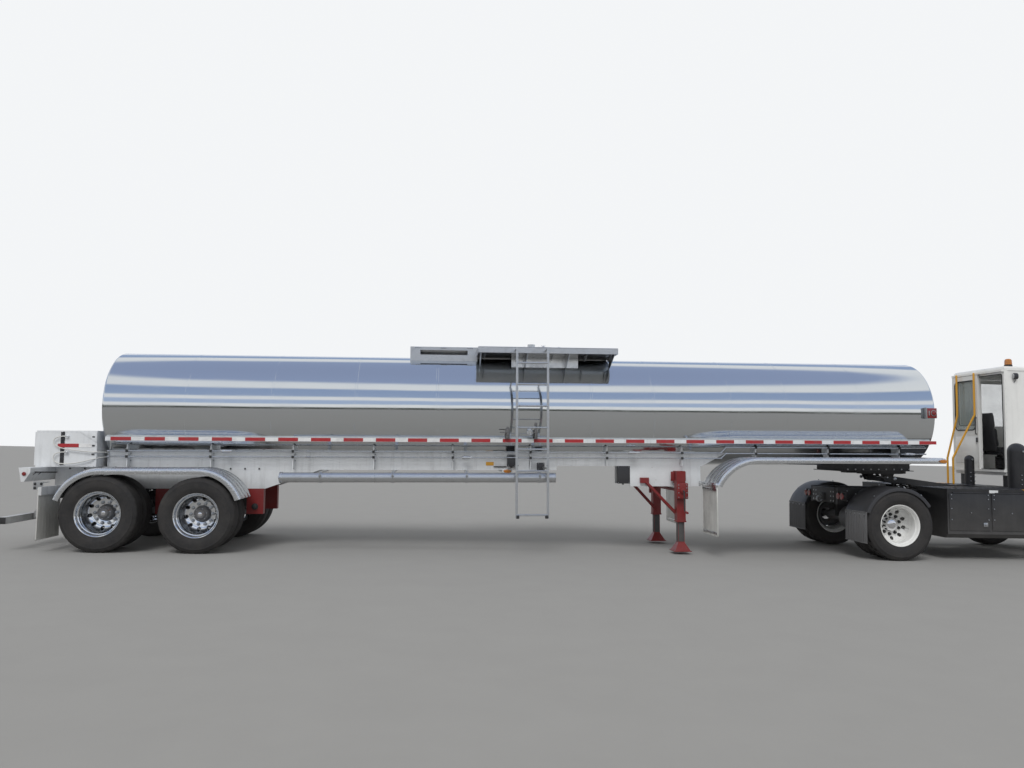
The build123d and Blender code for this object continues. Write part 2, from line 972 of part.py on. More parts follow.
# Mudflaps behind the tandem and behind the front fenders
flap_outer = overall_width / 2
flap_inner = flap_outer - flap_width
rear_flap_top = flap_bar_z + flap_bar_height / 2
rear_flap = block(
    flap_bar_x - flap_thickness - seat_gap,
    flap_bar_x - seat_gap,
    flap_inner,
    flap_outer,
    rear_flap_top - flap_bar_height - rear_flap_length,
    rear_flap_top,
)
front_end = radians(180 - front_fender_angle)
front_flap_x = front_fender_place[0] + front_fender_turn * cos(front_end)
front_flap_top = front_fender_place[2] + (front_fender_turn - fender_lip) * sin(front_end)
front_flap = block(
    front_flap_x - flap_thickness - seat_gap,
    front_flap_x - seat_gap,
    flap_inner,
    flap_outer,
    front_flap_top - front_flap_length,
    front_flap_top + fender_lip * sin(front_end),
)
save("mudflaps", both(rear_flap) + both(front_flap), sprung=True)

# Rear cabinet: a box open at the back, its door, and the outlet inside it
cabinet = block(
    cabinet_rear_x, cabinet_front_x, -cabinet_half_width, cabinet_half_width, cabinet_bottom, cabinet_top
)
cabinet_inside = block(
    cabinet_rear_x - cabinet_wall,
    cabinet_front_x - cabinet_wall,
    cabinet_wall - cabinet_half_width,
    cabinet_half_width - cabinet_wall,
    cabinet_bottom + cabinet_wall,
    cabinet_top - cabinet_wall,
)
outlet_z = tank_axis_height - outlet_drop
outlet_tip_x = cabinet_front_x - outlet_reach
outlet_hole = bar(
    (cabinet_front_x - 2 * cabinet_wall, 0, outlet_z), (tank_rear_x, 0, outlet_z), outlet_radius + seat_gap
)
door_hinge_x = cabinet_rear_x - door_thickness / 2 - running_gap
door_hinge_y = cabinet_half_width + hinge_stand_off
knuckle_heights = [
    (cabinet_bottom + share * (cabinet_top - cabinet_bottom)) for share in (0.2, 0.8)
]


cabinet = cabinet - cabinet_inside - outlet_hole
gland_x = bogie_x + rear_hose_gland_x
gland_y = -cabinet_half_width - rear_hose_stand_off
gland_face_x = gland_x - rear_hose_gland_reach
for name, gland_drop, bends, socket_drop in rear_hose_routes:
    gland_z = tank_axis_height - gland_drop
    corner = (gland_x, gland_y, gland_z)
    neck = bar((gland_x, cabinet_wall / 2 - cabinet_half_width, gland_z), corner, rear_hose_gland_radius)
    elbow = Pos(*corner) * Sphere(rear_hose_gland_radius)
    spout = bar(corner, (gland_face_x, gland_y, gland_z), rear_hose_gland_radius)
    cabinet = cabinet + neck + elbow + spout
cabinet_door = block(
    cabinet_rear_x - door_thickness - running_gap,
    cabinet_rear_x - running_gap,
    cabinet_wall - cabinet_half_width,
    cabinet_half_width - cabinet_wall,
    cabinet_bottom + cabinet_wall,
    cabinet_top - cabinet_wall,
)
for z in knuckle_heights:
    pin = Pos(door_hinge_x, door_hinge_y, z) * Cylinder(hinge_pin_radius, 2 * hinge_length)
    upper = Pos(
        door_hinge_x, door_hinge_y, z + hinge_length / 2
    ) * Cylinder(hinge_barrel_radius, hinge_length)
    tab = block(
        door_hinge_x,
        cabinet_rear_x + hinge_reach,
        cabinet_half_width,
        door_hinge_y,
        z + seat_gap,
        z + hinge_length,
    )
    cabinet = cabinet + (pin + upper + tab)
    lower = Pos(
        door_hinge_x, door_hinge_y, z - hinge_length / 2
    ) * Cylinder(hinge_barrel_radius, hinge_length)
    arm = block(
        door_hinge_x - hinge_barrel_radius,
        door_hinge_x + hinge_barrel_radius - running_gap,
        cabinet_half_width - hinge_reach,
        door_hinge_y,
        z - hinge_length,
        z - seat_gap,
    )
    bore = Pos(door_hinge_x, door_hinge_y, z) * Cylinder(hinge_pin_radius + pin_clearance, 3 * hinge_length)
    lower = Pos(0, 0, -seat_gap) * lower
    cabinet_door = cabinet_door + (lower + arm - bore)
save("cabinet", cabinet, sprung=True)
save("cabinet_door", cabinet_door, sprung=True)


# Service hoses: straight runs joined by tangent arcs, from each gland to its socket
def rear_hose(gland_drop, bends, socket_drop):
    """Path and bend radii of one hose, on the level trailer."""
    socket_z = tank_axis_height - socket_drop
    points = [Vector(gland_face_x, gland_y, tank_axis_height - gland_drop)]
    points += [Vector(bogie_x + x, gland_y, tank_axis_height - drop) for x, drop in bends]
    points.append(Vector(hose_socket_x, gland_y, socket_z))
    points.append(Vector(hose_socket_x, hose_socket_y, socket_z))
    radii = []
    for before, corner, after in zip(points, points[1:], points[2:]):
        turn = radians((corner - before).get_angle(after - corner))
        shorter = min((corner - before).length, (after - corner).length)
        radii.append(rear_hose_bend_share * shorter / tan(turn / 2))
    return FilletPolyline(*points, radius=radii), radii


for name, gland_drop, bends, socket_drop in rear_hose_routes:
    path, radii = rear_hose(gland_drop, bends, socket_drop)
    section = Plane(origin=path @ 0, z_dir=path % 0) * Circle(rear_hose_radius)
    print(name, "length", round(path.length), "bend radii", [round(radius) for radius in radii])
    save(name, sweep(section, path=path), sprung=True)

# Pipework: long lines beside the tank, and the outlet with its valve
line_y = frame_half_width + rib_reach + line_radius + seat_gap
jog_rear, jog_front = (frame_front_x + lead for lead in line_jog_leads)
lines = []
for low_drop, high_drop in line_drops:
    low_z = tank_axis_height - low_drop
    high_z = tank_axis_height - high_drop
    corners = [
        (tank_rear_x + head_rim, line_y, low_z),
        (jog_rear, line_y, low_z),
        (jog_front, line_y, high_z),
        (line_front_x, line_y, high_z),
    ]
    line = bar(corners[0], corners[1], line_radius)
    for start, end in zip(corners[1:], corners[2:]):
        line = line + Pos(*start) * Sphere(line_elbow_radius) + bar(start, end, line_radius)
    lines += both(line)
outlet = bar((outlet_tip_x, 0, outlet_z), (tank_rear_x - seat_gap, 0, outlet_z), outlet_radius)
outlet = outlet + bar(
    (outlet_tip_x, 0, outlet_z), (outlet_tip_x + ferrule_length, 0, outlet_z), ferrule_radius
)
valve_x = (outlet_tip_x + cabinet_front_x) / 2
outlet = outlet + bar((valve_x - valve_half, 0, outlet_z), (valve_x + valve_half, 0, outlet_z), valve_radius)
outlet = outlet + bar((valve_x, 0, outlet_z), (valve_x, 0, outlet_z + valve_stem), valve_stem_radius)
outlet = outlet + bar(
    (valve_x, -valve_handle_half, outlet_z + valve_stem),
    (valve_x, valve_handle_half, outlet_z + valve_stem),
    valve_stem_radius,
)
outlet = outlet - Pos(-seat_gap, 0, 0) * tank
save("pipework", lines + [outlet], sprung=True)

# Rear light bar and underride guard
light_front_x = bogie_x - bogie_plate_rear - seat_gap
light_rear_x = light_front_x - light_bar_depth
light_top = tank_axis_height - light_bar_drop
light_bottom = light_top - light_bar_height
light_bar_half_width = overall_width / 2 - light_bar_inset
light_bar = side_prism(
    [
        (light_rear_x, light_top),
        (light_front_x, light_top),
        (light_front_x, light_top - light_bar_height / 3),
        (light_rear_x + light_bar_depth / 2, light_bottom),
        (light_rear_x + light_bar_depth / 4, light_bottom),
    ],
    -light_bar_half_width,
    light_bar_half_width,
)
bumper_bottom = bumper_height - bumper_size / 2
bumper = block(
    tail_x,
    tail_x + bumper_size,
    -bumper_half_width,
    bumper_half_width,
    bumper_bottom,
    bumper_bottom + bumper_size,
)
post = side_prism(
    [
        (tail_x, bumper_bottom),
        (tail_x + bumper_size, bumper_bottom),
        (bogie_x - bogie_plate_rear + bumper_post_lap, bogie_bottom),
        (bogie_x - bogie_plate_rear + bumper_post_lap, frame_bottom),
        (bogie_x - bogie_plate_rear + seat_gap, frame_bottom),
        (bogie_x - bogie_plate_rear + seat_gap, bogie_bottom),
    ],
    frame_half_width - side_plate - seat_gap - bumper_post_width,
    frame_half_width - side_plate - seat_gap,
)
save("rear_guard", [bumper + post + across(post), light_bar], sprung=True)

# Lamps: round ones on the light bar, markers along the sides
face_tilt = degrees(atan2(light_bar_depth / 4, light_bar_height))
lamp_z = light_top - light_bar_height / 2
lamp_x = light_rear_x + light_bar_depth / 8
lamps = []
for y in rear_lamp_ys:
    lamp = Pos(lamp_x, y, lamp_z) * Rot(0, -90 - face_tilt, 0) * Pos(0, 0, lamp_proud / 2 + seat_gap)
    lamps += both(lamp * Cylinder(lamp_radius, lamp_proud))
side_lamp_x = light_rear_x + light_bar_depth / 2
lamps += both(
    bar(
        (side_lamp_x, light_bar_half_width + seat_gap, lamp_z + marker_radius / 2),
        (side_lamp_x, light_bar_half_width + seat_gap + lamp_proud, lamp_z + marker_radius / 2),
        marker_radius,
    )
)
marker_seats = {"frame": frame_half_width + seat_gap, "fender": overall_width / 2 + seat_gap}
for lead, drop, carrier in marker_places:
    y = marker_seats[carrier]
    z = tank_axis_height - drop
    x = bogie_x + lead
    lamps += both(
        block(
            x - marker_length / 2,
            x + marker_length / 2,
            y,
            y + lamp_proud,
            z - marker_radius,
            z + marker_radius,
        )
    )
save("trailer_lamps", lamps, sprung=True)

# Ladder on the right side, stood off the frame and tied to the platform
ladder_x = bogie_x + ladder_rear
platform_top = tank_axis_height + platform_rise
ladder_top = platform_top - ladder_top_drop
ladder_bottom = tank_axis_height - ladder_bottom_drop
ladder_stay_height = tank_axis_height - ladder_stay_drop
rail_half = ladder_rail / 2
ladder_pieces = []
for x in (ladder_x, ladder_x + ladder_width):
    ladder_pieces.append(
        block(
            x - rail_half,
            x + rail_half,
            ladder_y - rail_half / 2,
            ladder_y + rail_half / 2,
            ladder_bottom,
            ladder_top,
        )
    )
    ladder_pieces.append(
        bar(
            (x, platform_half_width + seat_gap, ladder_top - rail_half),
            (x, ladder_y, ladder_top - rail_half),
            rung_radius,
        )
    )
    ladder_pieces.append(
        bar(
            (x, frame_half_width + seat_gap, ladder_stay_height),
            (x, ladder_y, ladder_stay_height),
            rung_radius,
        )
    )
for step in rung_steps:
    z = ladder_bottom + first_rung + step * rung_spacing
    ladder_pieces.append(bar((ladder_x, ladder_y, z), (ladder_x + ladder_width, ladder_y, z), rung_radius))
ladder = ladder_pieces[0]
for piece in ladder_pieces[1:]:
    ladder = ladder + piece
save("ladder", across(ladder), sprung=True)

# Platform tray over the manhole, and the slotted trough behind it
platform_x = bogie_x + platform_rear
floor_top = platform_top - platform_edge + platform_floor_rise
manhole_x = platform_x + manhole_offset
tray = block(
    platform_x,
    platform_x + platform_length,
    -platform_half_width,
    platform_half_width,
    platform_top - platform_edge,
    platform_top,
)
tray_inside = block(
    platform_x + platform_plate,
    platform_x + platform_length - platform_plate,
    platform_plate - platform_half_width,
    platform_half_width - platform_plate,
    floor_top,
    platform_top + 1,
)
tray_under = block(
    platform_x + platform_plate,
    platform_x + platform_length - platform_plate,
    platform_plate - platform_half_width,
    platform_half_width - platform_plate,
    platform_top - platform_edge - 1,
    floor_top - platform_plate,
)
well = Pos(manhole_x, 0, floor_top) * Cylinder(manhole_outer + seat_gap, 2 * platform_edge)
platform = tray - tray_inside - tray_under - well - tank_space
gusset_outline = (
    (platform_half_width - platform_plate, floor_top - platform_plate),
    (platform_half_width - platform_plate, platform_top - platform_edge),
    (platform_half_width * 0.62, platform_top - 3 * platform_edge),
    (spill_box_half_width + running_gap, platform_top - 3 * platform_edge),
    (spill_box_half_width + running_gap, floor_top - platform_plate),
)
for share in platform_gusset_shares:
    x = platform_x + share * platform_length
    outline = make_face(Polyline(*[(x, y, z) for y, z in gusset_outline], close=True))
    gusset = extrude(outline, amount=platform_gusset, dir=(1, 0, 0)) - tank_space
    platform = platform + gusset + across(gusset)
trough_x = bogie_x + trough_rear
trough_top = tank_axis_height + trough_rise
trough_bottom = tank_axis_height + trough_bottom_rise
trough = block(
    trough_x, trough_x + trough_length, -trough_half_width, trough_half_width, trough_bottom, trough_top
)
trough_hollow = block(
    trough_x + platform_plate,
    trough_x + trough_length - platform_plate,
    platform_plate - trough_half_width,
    trough_half_width - platform_plate,
    trough_bottom - 1,
    trough_top - platform_plate,
)
slot_middle = trough_top - trough_slot_drop
trough_slots = block(
    trough_x + trough_post,
    trough_x + trough_length - trough_post,
    -trough_half_width - 1,
    trough_half_width + 1,
    slot_middle - trough_slot / 2,
    slot_middle + trough_slot / 2,
)
trough = trough - trough_hollow - trough_slots - tank_space
save("platform", [platform, trough], sprung=True)

# Manhole: a spill box on the tank, a round collar, and its hinged lid
manhole_top = tank_axis_height + manhole_rise
spill_box_bottom = tank_axis_height + spill_box_rise
spill_box = block(
    manhole_x - spill_box_half,
    manhole_x + spill_box_half,
    -spill_box_half_width,
    spill_box_half_width,
    spill_box_bottom,
    floor_top - platform_plate - seat_gap,
)
spill_inside = block(
    manhole_x - spill_box_half + spill_box_wall,
    manhole_x + spill_box_half - spill_box_wall,
    spill_box_wall - spill_box_half_width,
    spill_box_half_width - spill_box_wall,
    spill_box_bottom - 1,
    platform_top,
)
collar_height = manhole_top - spill_box_bottom
collar = Pos(manhole_x, 0, spill_box_bottom + collar_height / 2) * Cylinder(manhole_outer, collar_height)
collar_bore = Pos(
    manhole_x, 0, spill_box_bottom + collar_height / 2
) * Cylinder(manhole_inner, collar_height + 2)
collar = collar - collar_bore
lid_pin_x = manhole_x - lid_radius - lid_hinge_gap
lid_pin_z = manhole_top + seat_gap + lid_thickness / 2
lug = block(
    lid_pin_x - lid_hinge_gap / 2,
    manhole_x - manhole_inner - rim_wall,
    lid_ear_half + seat_gap,
    lid_ear_half + seat_gap + platform_plate,
    floor_top + running_gap,
    manhole_top - running_gap,
)
lug_cheek = block(
    lid_pin_x - lid_hinge_gap / 2,
    lid_pin_x + lid_hinge_gap / 2,
    lid_ear_half + seat_gap,
    lid_ear_half + seat_gap + platform_plate,
    floor_top + running_gap,
    lid_pin_z + lid_hinge_gap / 2,
)
lid_pin_half = lid_ear_half + seat_gap + platform_plate
lid_pin = bar((lid_pin_x, -lid_pin_half, lid_pin_z), (lid_pin_x, lid_pin_half, lid_pin_z), lid_pin_radius)
hinge_lugs = lug + lug_cheek
manhole = (spill_box - spill_inside) + collar
manhole = manhole - tank_space
manhole = manhole + hinge_lugs + across(hinge_lugs) + lid_pin
save("manhole", manhole, sprung=True)

lid_z = manhole_top + seat_gap
lid = Pos(manhole_x, 0, lid_z + lid_thickness / 2) * Cylinder(lid_radius, lid_thickness)
ear = block(
    lid_pin_x,
    manhole_x - lid_radius * 0.8,
    -lid_ear_half,
    lid_ear_half,
    lid_z + lid_thickness / 4,
    lid_z + lid_thickness,
)
ear_barrel = bar(
    (lid_pin_x, -lid_ear_half, lid_pin_z), (lid_pin_x, lid_ear_half, lid_pin_z), lid_thickness / 2
)
ear_bore = bar(
    (lid_pin_x, -2 * lid_ear_half, lid_pin_z),
    (lid_pin_x, 2 * lid_ear_half, lid_pin_z),
    lid_pin_radius + pin_clearance,
)
vent = Pos(
    manhole_x - vent_offset, 0, lid_z + lid_thickness + vent_height / 2
) * Cylinder(vent_radius, vent_height)
save("manhole_lid", lid + vent + ear + ear_barrel - ear_bore, sprung=True)

# Hose tube under the right side of the frame, strapped to cross arms
tube_x = bogie_x + hose_tube_rear
tube_z = tank_axis_height - hose_tube_drop
tube_end_x = tube_x + hose_tube_length
tube = bar((tube_x, hose_tube_y, tube_z), (tube_end_x, hose_tube_y, tube_z), hose_tube_radius)
tube_bore = bar(
    (tube_x + hose_tube_wall, hose_tube_y, tube_z),
    (tube_end_x + hose_tube_wall, hose_tube_y, tube_z),
    hose_tube_radius - hose_tube_wall,
)
tube = tube - tube_bore
for share in hose_tube_straps:
    x = tube_x + share * hose_tube_length
    band = bar(
        (x - strap_width / 2, hose_tube_y, tube_z),
        (x + strap_width / 2, hose_tube_y, tube_z),
        hose_tube_radius + hose_tube_wall,
    )
    band = band - bar(
        (x - strap_width, hose_tube_y, tube_z),
        (x + strap_width, hose_tube_y, tube_z),
        hose_tube_radius - hose_tube_wall,
    )
    arm = block(
        x - strap_width / 2,
        x + strap_width / 2,
        frame_half_width - frame_flange,
        hose_tube_y,
        tube_z + hose_tube_radius - hose_tube_wall / 2,
        frame_bottom - seat_gap,
    )
    tube = tube + band + arm
save("hose_tube", across(tube), sprung=True)

# Landing gear: square legs, feet, braces and the cross shaft between them
landing_x = bogie_x + landing_lead
landing_top = tank_axis_height - landing_top_drop
outer_bottom = tank_axis_height - landing_outer_drop
inner_bottom = tank_axis_height - landing_inner_drop
foot_bottom = tank_axis_height - landing_foot_drop


def landing_leg():
    half = landing_outer / 2
    inner = landing_inner / 2
    leg = block(
        landing_x - half, landing_x + half, landing_y - half, landing_y + half, outer_bottom, landing_top
    )
    leg = leg + block(
        landing_x - inner,
        landing_x + inner,
        landing_y - inner,
        landing_y + inner,
        inner_bottom,
        outer_bottom,
    )
    foot_half = landing_foot_half
    foot = plan_prism(
        [
            (landing_x - foot_half, landing_y - foot_half),
            (landing_x + foot_half, landing_y - foot_half),
            (landing_x + foot_half, landing_y + foot_half),
            (landing_x - foot_half, landing_y + foot_half),
        ],
        foot_bottom,
        foot_bottom + platform_plate,
    )
    cone = loft(
        [
            Pos(
                landing_x, landing_y, foot_bottom + platform_plate
            ) * Rectangle(2 * foot_half * 0.9, 2 * foot_half * 0.9),
            Pos(landing_x, landing_y, inner_bottom) * Rectangle(landing_inner, landing_inner),
        ]
    )
    mount = block(
        landing_x - half,
        landing_x + half,
        frame_half_width + seat_gap,
        landing_y,
        landing_top - landing_mount,
        landing_top,
    )
    lug_long, lug_reach, lug_tall = landing_lug
    brace_top, brace_low = (tank_axis_height - drop for drop in landing_brace_drops)
    brace_x = landing_x - landing_brace_back
    brace = bar(
        (brace_x, frame_half_width + lug_reach / 2 + seat_gap, brace_top),
        (landing_x, landing_y - landing_inner / 2, brace_low),
        landing_brace_radius,
    )
    brace_plate = block(
        brace_x - lug_long,
        brace_x + lug_long,
        frame_half_width + seat_gap,
        frame_half_width + lug_reach + seat_gap,
        brace_top - lug_tall,
        brace_top + lug_tall,
    )
    return leg + foot + cone + mount + brace + brace_plate


cross_shaft_z = tank_axis_height - landing_shaft_drop
landing_gear = landing_leg()
landing_gear = landing_gear + across(landing_gear)
landing_gear = landing_gear + bar(
    (landing_x, -landing_y, cross_shaft_z), (landing_x, landing_y, cross_shaft_z), landing_brace_radius
)
save("landing_gear", landing_gear, sprung=True)

# Upper coupler: the plate with the kingpin under it, and a webbed saddle up to the tank
plate_top = coupler_height + coupler_plate
coupler = block(
    coupler_rear_x, coupler_front_x, -coupler_half_width, coupler_half_width, coupler_height, plate_top
)
saddle_x = coupler_rear_x + saddle_inset
saddle_top = tank_axis_height - sqrt(tank_radius**2 - saddle_y**2)
saddle = block(saddle_x, coupler_front_x - saddle_inset, -saddle_y, saddle_y, plate_top, saddle_top)
bay = (coupler_front_x - saddle_inset - saddle_x - saddle_wall) / saddle_bays
for number in range(saddle_bays):
    saddle = saddle - block(
        saddle_x + number * bay + saddle_wall,
        saddle_x + (number + 1) * bay,
        saddle_wall - saddle_y,
        saddle_y - saddle_wall,
        plate_top,
        saddle_top + 1,
    )
coupler = coupler + (saddle - tank_space)
neck = Pos(kingpin_x, 0, coupler_height - kingpin_length / 2) * Cylinder(kingpin_radius, kingpin_length)
flange_z = coupler_height - kingpin_length + kingpin_flange / 2
pin_flange = Pos(kingpin_x, 0, flange_z) * Cylinder(kingpin_flange_radius, kingpin_flange)
save("coupler", coupler + neck + pin_flange, sprung=True)

# Tractor frame: two channels, cross members, and the brackets they carry
rail_outer = rail_half_gap + rail_flange
rail_bottom = rail_top - rail_height
tractor_tail_x = drive_x - tractor_tail
bumper_back_x = nose_x - nose_depth
boom_pivot_x = drive_x + boom_pivot_lead
lift_foot_x = drive_x + lift_foot_lead
cab_rear_x = drive_x + cab_rear_lead
cab_front_x = cab_rear_x + cab_length
cab_pivot_x = cab_front_x - cab_pivot_inset


def frame_channel():
    whole = block(tractor_tail_x, bumper_back_x, rail_half_gap, rail_outer, rail_bottom, rail_top)
    hollow = block(
        tractor_tail_x - 1,
        bumper_back_x + 1,
        rail_half_gap - 1,
        rail_outer - rail_web,
        rail_bottom + rail_web,
        rail_top - rail_web,
    )
    return whole - hollow


def cross_bar(x, z, radius):
    reach = rail_outer - rail_web / 2
    return bar((x, -reach, z), (x, reach, z), radius)


chassis = frame_channel() + across(frame_channel())
for x in (tractor_tail_x + cross_member / 2, bumper_back_x - cross_member / 2):
    reach = rail_outer - rail_web / 2
    chassis = chassis + block(
        x - cross_member / 2, x + cross_member / 2, -reach, reach, rail_bottom + rail_web, rail_top - rail_web
    )
chassis = chassis + cross_bar(boom_pivot_x, boom_pivot_height, boom_pin_radius)
foot_plate = block(
    lift_foot_x - lift_bracket,
    lift_foot_x + lift_bracket,
    rail_half_gap,
    rail_outer,
    lift_foot_height - lift_bracket,
    rail_bottom,
)
chassis = chassis + foot_plate + across(foot_plate)
chassis = chassis + cross_bar(lift_foot_x, lift_foot_height, lift_pin_radius)
axle_block = block(
    drive_x - axle_block_half,
    drive_x + axle_block_half,
    rail_half_gap,
    rail_outer,
    tyre_radius,
    rail_bottom + rail_web,
)
drive_beam_space = bar(
    (drive_x, -outer_tyre_y, tyre_radius), (drive_x, outer_tyre_y, tyre_radius), drive_beam_radius + seat_gap
)
chassis = chassis + (axle_block - drive_beam_space) + across(axle_block - drive_beam_space)
steer_beam_top = steer_beam_height + steer_beam_depth / 2
spring_block = block(
    steer_x - axle_block_half,
    steer_x + axle_block_half,
    rail_half_gap,
    rail_outer,
    steer_beam_top + seat_gap,
    rail_bottom + rail_web,
)
chassis = chassis + spring_block + across(spring_block)
for y in cab_pivot_ys:
    for offset in (-1, 1):
        edge = y + offset * (cab_pivot_half + seat_gap)
        y_low, y_high = sorted((edge, edge + offset * cab_pivot_plate))
        chassis = chassis + block(
            cab_pivot_x - lift_bracket,
            cab_pivot_x + lift_bracket,
            y_low,
            y_high,
            rail_top - rail_web,
            cab_pivot_height + lift_bracket,
        )
    pin_half = cab_pivot_half + seat_gap + cab_pivot_plate
    chassis = chassis + bar(
        (
            cab_pivot_x,
            y - pin_half,
            cab_pivot_height,
        ), (cab_pivot_x, y + pin_half, cab_pivot_height), cab_pivot_radius
    )
cab_beam = block(
    cab_pivot_x - lift_bracket,
    cab_pivot_x + lift_bracket,
    -rail_outer,
    cab_pivot_ys[1] + cab_pivot_half + seat_gap + cab_pivot_plate,
    rail_top - rail_web,
    rail_top + cross_member / 2,
)
chassis = chassis + cab_beam
save("chassis", chassis)

# Deck: side boxes, plates over them, and the mounts under the cab's back
deck_bottom = deck_top - deck_plate
box_inner = rail_outer + seat_gap
side_box = block(
    drive_x + side_box_rear_lead,
    drive_x + side_box_front_lead,
    box_inner,
    side_box_outer,
    side_box_bottom,
    deck_bottom,
)
side_box = chamfer(side_box.edges().filter_by(Axis.X).sort_by(Axis.Z)[:2], side_box_chamfer)
deck_side = block(
    drive_x + side_box_rear_lead,
    drive_x + deck_front_lead,
    boom_half_width + deck_slot,
    side_box_outer,
    deck_bottom,
    deck_top,
)
deck_front = block(
    boom_pivot_x + deck_boom_gap,
    drive_x + deck_front_lead,
    -side_box_outer,
    side_box_outer,
    deck_bottom,
    deck_top,
)
deck = deck_side + across(deck_side) + deck_front + side_box + across(side_box)
riser = block(
    drive_x + deck_rear_lead,
    drive_x + deck_front_lead,
    rail_half_gap,
    rail_outer,
    rail_top + seat_gap,
    deck_bottom,
)
deck = deck + riser + across(riser)
for y in cab_mount_ys:
    deck = deck + block(
        cab_rear_x + cab_mount_inset,
        cab_rear_x + cab_mount_inset + cab_mount_size,
        y - cab_mount_size / 2,
        y + cab_mount_size / 2,
        deck_bottom,
        cab_floor - seat_gap,
    )
mount_shelf = block(
    drive_x + deck_front_lead - 1,
    cab_rear_x + cab_mount_inset + cab_mount_size,
    cab_mount_ys[0] - cab_mount_size / 2,
    cab_mount_ys[1] + cab_mount_size / 2,
    deck_bottom,
    deck_top,
)
deck = deck + mount_shelf
for x, y, radius, height in deck_posts:
    shaft = Pos(drive_x + x, y, deck_top + height / 2) * Cylinder(radius, height)
    cap = Pos(drive_x + x, y, deck_top + height) * Sphere(radius)
    deck = deck + shaft + cap
save("deck", deck)

# Engine, and the two tractor axles with the drive shaft between
engine_x = drive_x + engine_lead
mount_reach = rail_outer - rail_web - seat_gap
engine = block(
    engine_x,
    engine_x + engine_length,
    -engine_width / 2,
    engine_width / 2,
    engine_bottom,
    engine_bottom + engine_height,
)
engine_mounts = block(
    engine_x + engine_length / 3,
    engine_x + engine_length / 2,
    -mount_reach,
    mount_reach,
    rail_bottom + rail_height / 3,
    rail_top - rail_height / 3,
)
save("engine", engine + engine_mounts)

beam_end = dual_face_y - drum_length - running_gap
spindle_tip = dual_face_y + spindle_end
drive_axle = bar((drive_x, -beam_end, tyre_radius), (drive_x, beam_end, tyre_radius), drive_beam_radius)
drive_axle = drive_axle + bar(
    (drive_x, -spindle_tip, tyre_radius), (drive_x, spindle_tip, tyre_radius), spindle_radius
)
drive_axle = drive_axle + bar(
    (drive_x, -diff_width / 2, tyre_radius), (drive_x, diff_width / 2, tyre_radius), diff_radius
)
shaft_end = (engine_x - running_gap, 0, engine_bottom + engine_height * shaft_share)
drive_axle = drive_axle + bar((drive_x, 0, tyre_radius), shaft_end, shaft_radius)
steer_axle = block(
    steer_x - steer_beam_width / 2,
    steer_x + steer_beam_width / 2,
    2 * knuckle_eye_radius - knuckle_y,
    knuckle_y - 2 * knuckle_eye_radius,
    steer_beam_height - steer_beam_depth / 2,
    steer_beam_top,
)
neck_half = knuckle_eye_radius * 0.9
for side_name, side in sides:
    eye = Pos(steer_x, side * knuckle_y, tyre_radius) * Cylinder(knuckle_eye_radius, knuckle_eye_height)
    neck_low, neck_high = sorted((side * (knuckle_y - 3 * knuckle_eye_radius), side * knuckle_y))
    neck = block(
        steer_x - neck_half,
        steer_x + neck_half,
        neck_low,
        neck_high,
        tyre_radius - knuckle_eye_height / 2,
        tyre_radius + knuckle_eye_height / 2,
    )
    pin_bore = Pos(steer_x, side * knuckle_y, tyre_radius) * Cylinder(
        knuckle_pin_radius + pin_clearance, 2 * knuckle_eye_height
    )
    steer_axle = steer_axle + eye + neck - pin_bore
save("tractor_axles", [drive_axle, steer_axle])


# Steering knuckles: two ears and a pin about the axle's eye, and a spindle
def steering_knuckle():
    ear_low = knuckle_eye_height / 2 + seat_gap
    ear_high = ear_low + knuckle_ear
    back_y = knuckle_y + knuckle_eye_radius + running_gap
    knuckle = Pos(steer_x, knuckle_y, tyre_radius) * Cylinder(knuckle_pin_radius, 2 * ear_high)
    for offset in (-1, 1):
        z_low, z_high = sorted((tyre_radius + offset * ear_low, tyre_radius + offset * ear_high))
        ear = Pos(steer_x, knuckle_y, (z_low + z_high) / 2) * Cylinder(knuckle_eye_radius, knuckle_ear)
        web = block(
            steer_x - knuckle_eye_radius,
            steer_x + knuckle_eye_radius,
            knuckle_y,
            back_y + knuckle_ear,
            z_low,
            z_high,
        )
        knuckle = knuckle + ear + web
    knuckle = knuckle + block(
        steer_x - knuckle_eye_radius,
        steer_x + knuckle_eye_radius,
        back_y,
        back_y + knuckle_ear,
        tyre_radius - ear_high,
        tyre_radius + ear_high,
    )
    spindle_start = (steer_x, back_y, tyre_radius)
    spindle_stop = (steer_x, front_tyre_y + disc_offset + spindle_end, tyre_radius)
    knuckle = knuckle + bar(spindle_start, spindle_stop, front_spindle_radius)
    arm_z = tyre_radius - ear_high
    arm = block(
        steer_x - steering_arm,
        steer_x,
        knuckle_y - knuckle_ear / 2,
        knuckle_y + knuckle_ear / 2,
        arm_z,
        arm_z + knuckle_ear,
    )
    return knuckle + arm


save("knuckle_left", steering_knuckle())
save("knuckle_right", across(steering_knuckle()))

# Drive fenders, a quarter box over each pair, and their mudflaps
def round_band(inside, outside, y_low, y_high, x, z, rear_angle, front_angle):
    """A band of a ring about a wheel, between an angle behind and one ahead."""
    start = radians(180 - rear_angle)
    stop = radians(front_angle)
    middle = (start + stop) / 2
    edges = []
    ends = []
    for radius in (outside, inside):
        points = [(x + radius * cos(a), 0, z + radius * sin(a)) for a in (start, middle, stop)]
        edges.append(ThreePointArc(*points))
        ends.append((points[0], points[2]))
    edges.append(Line(ends[0][0], ends[1][0]))
    edges.append(Line(ends[0][1], ends[1][1]))
    return Pos(0, y_low, 0) * extrude(make_face(Curve() + edges), amount=y_high - y_low, dir=(0, 1, 0))


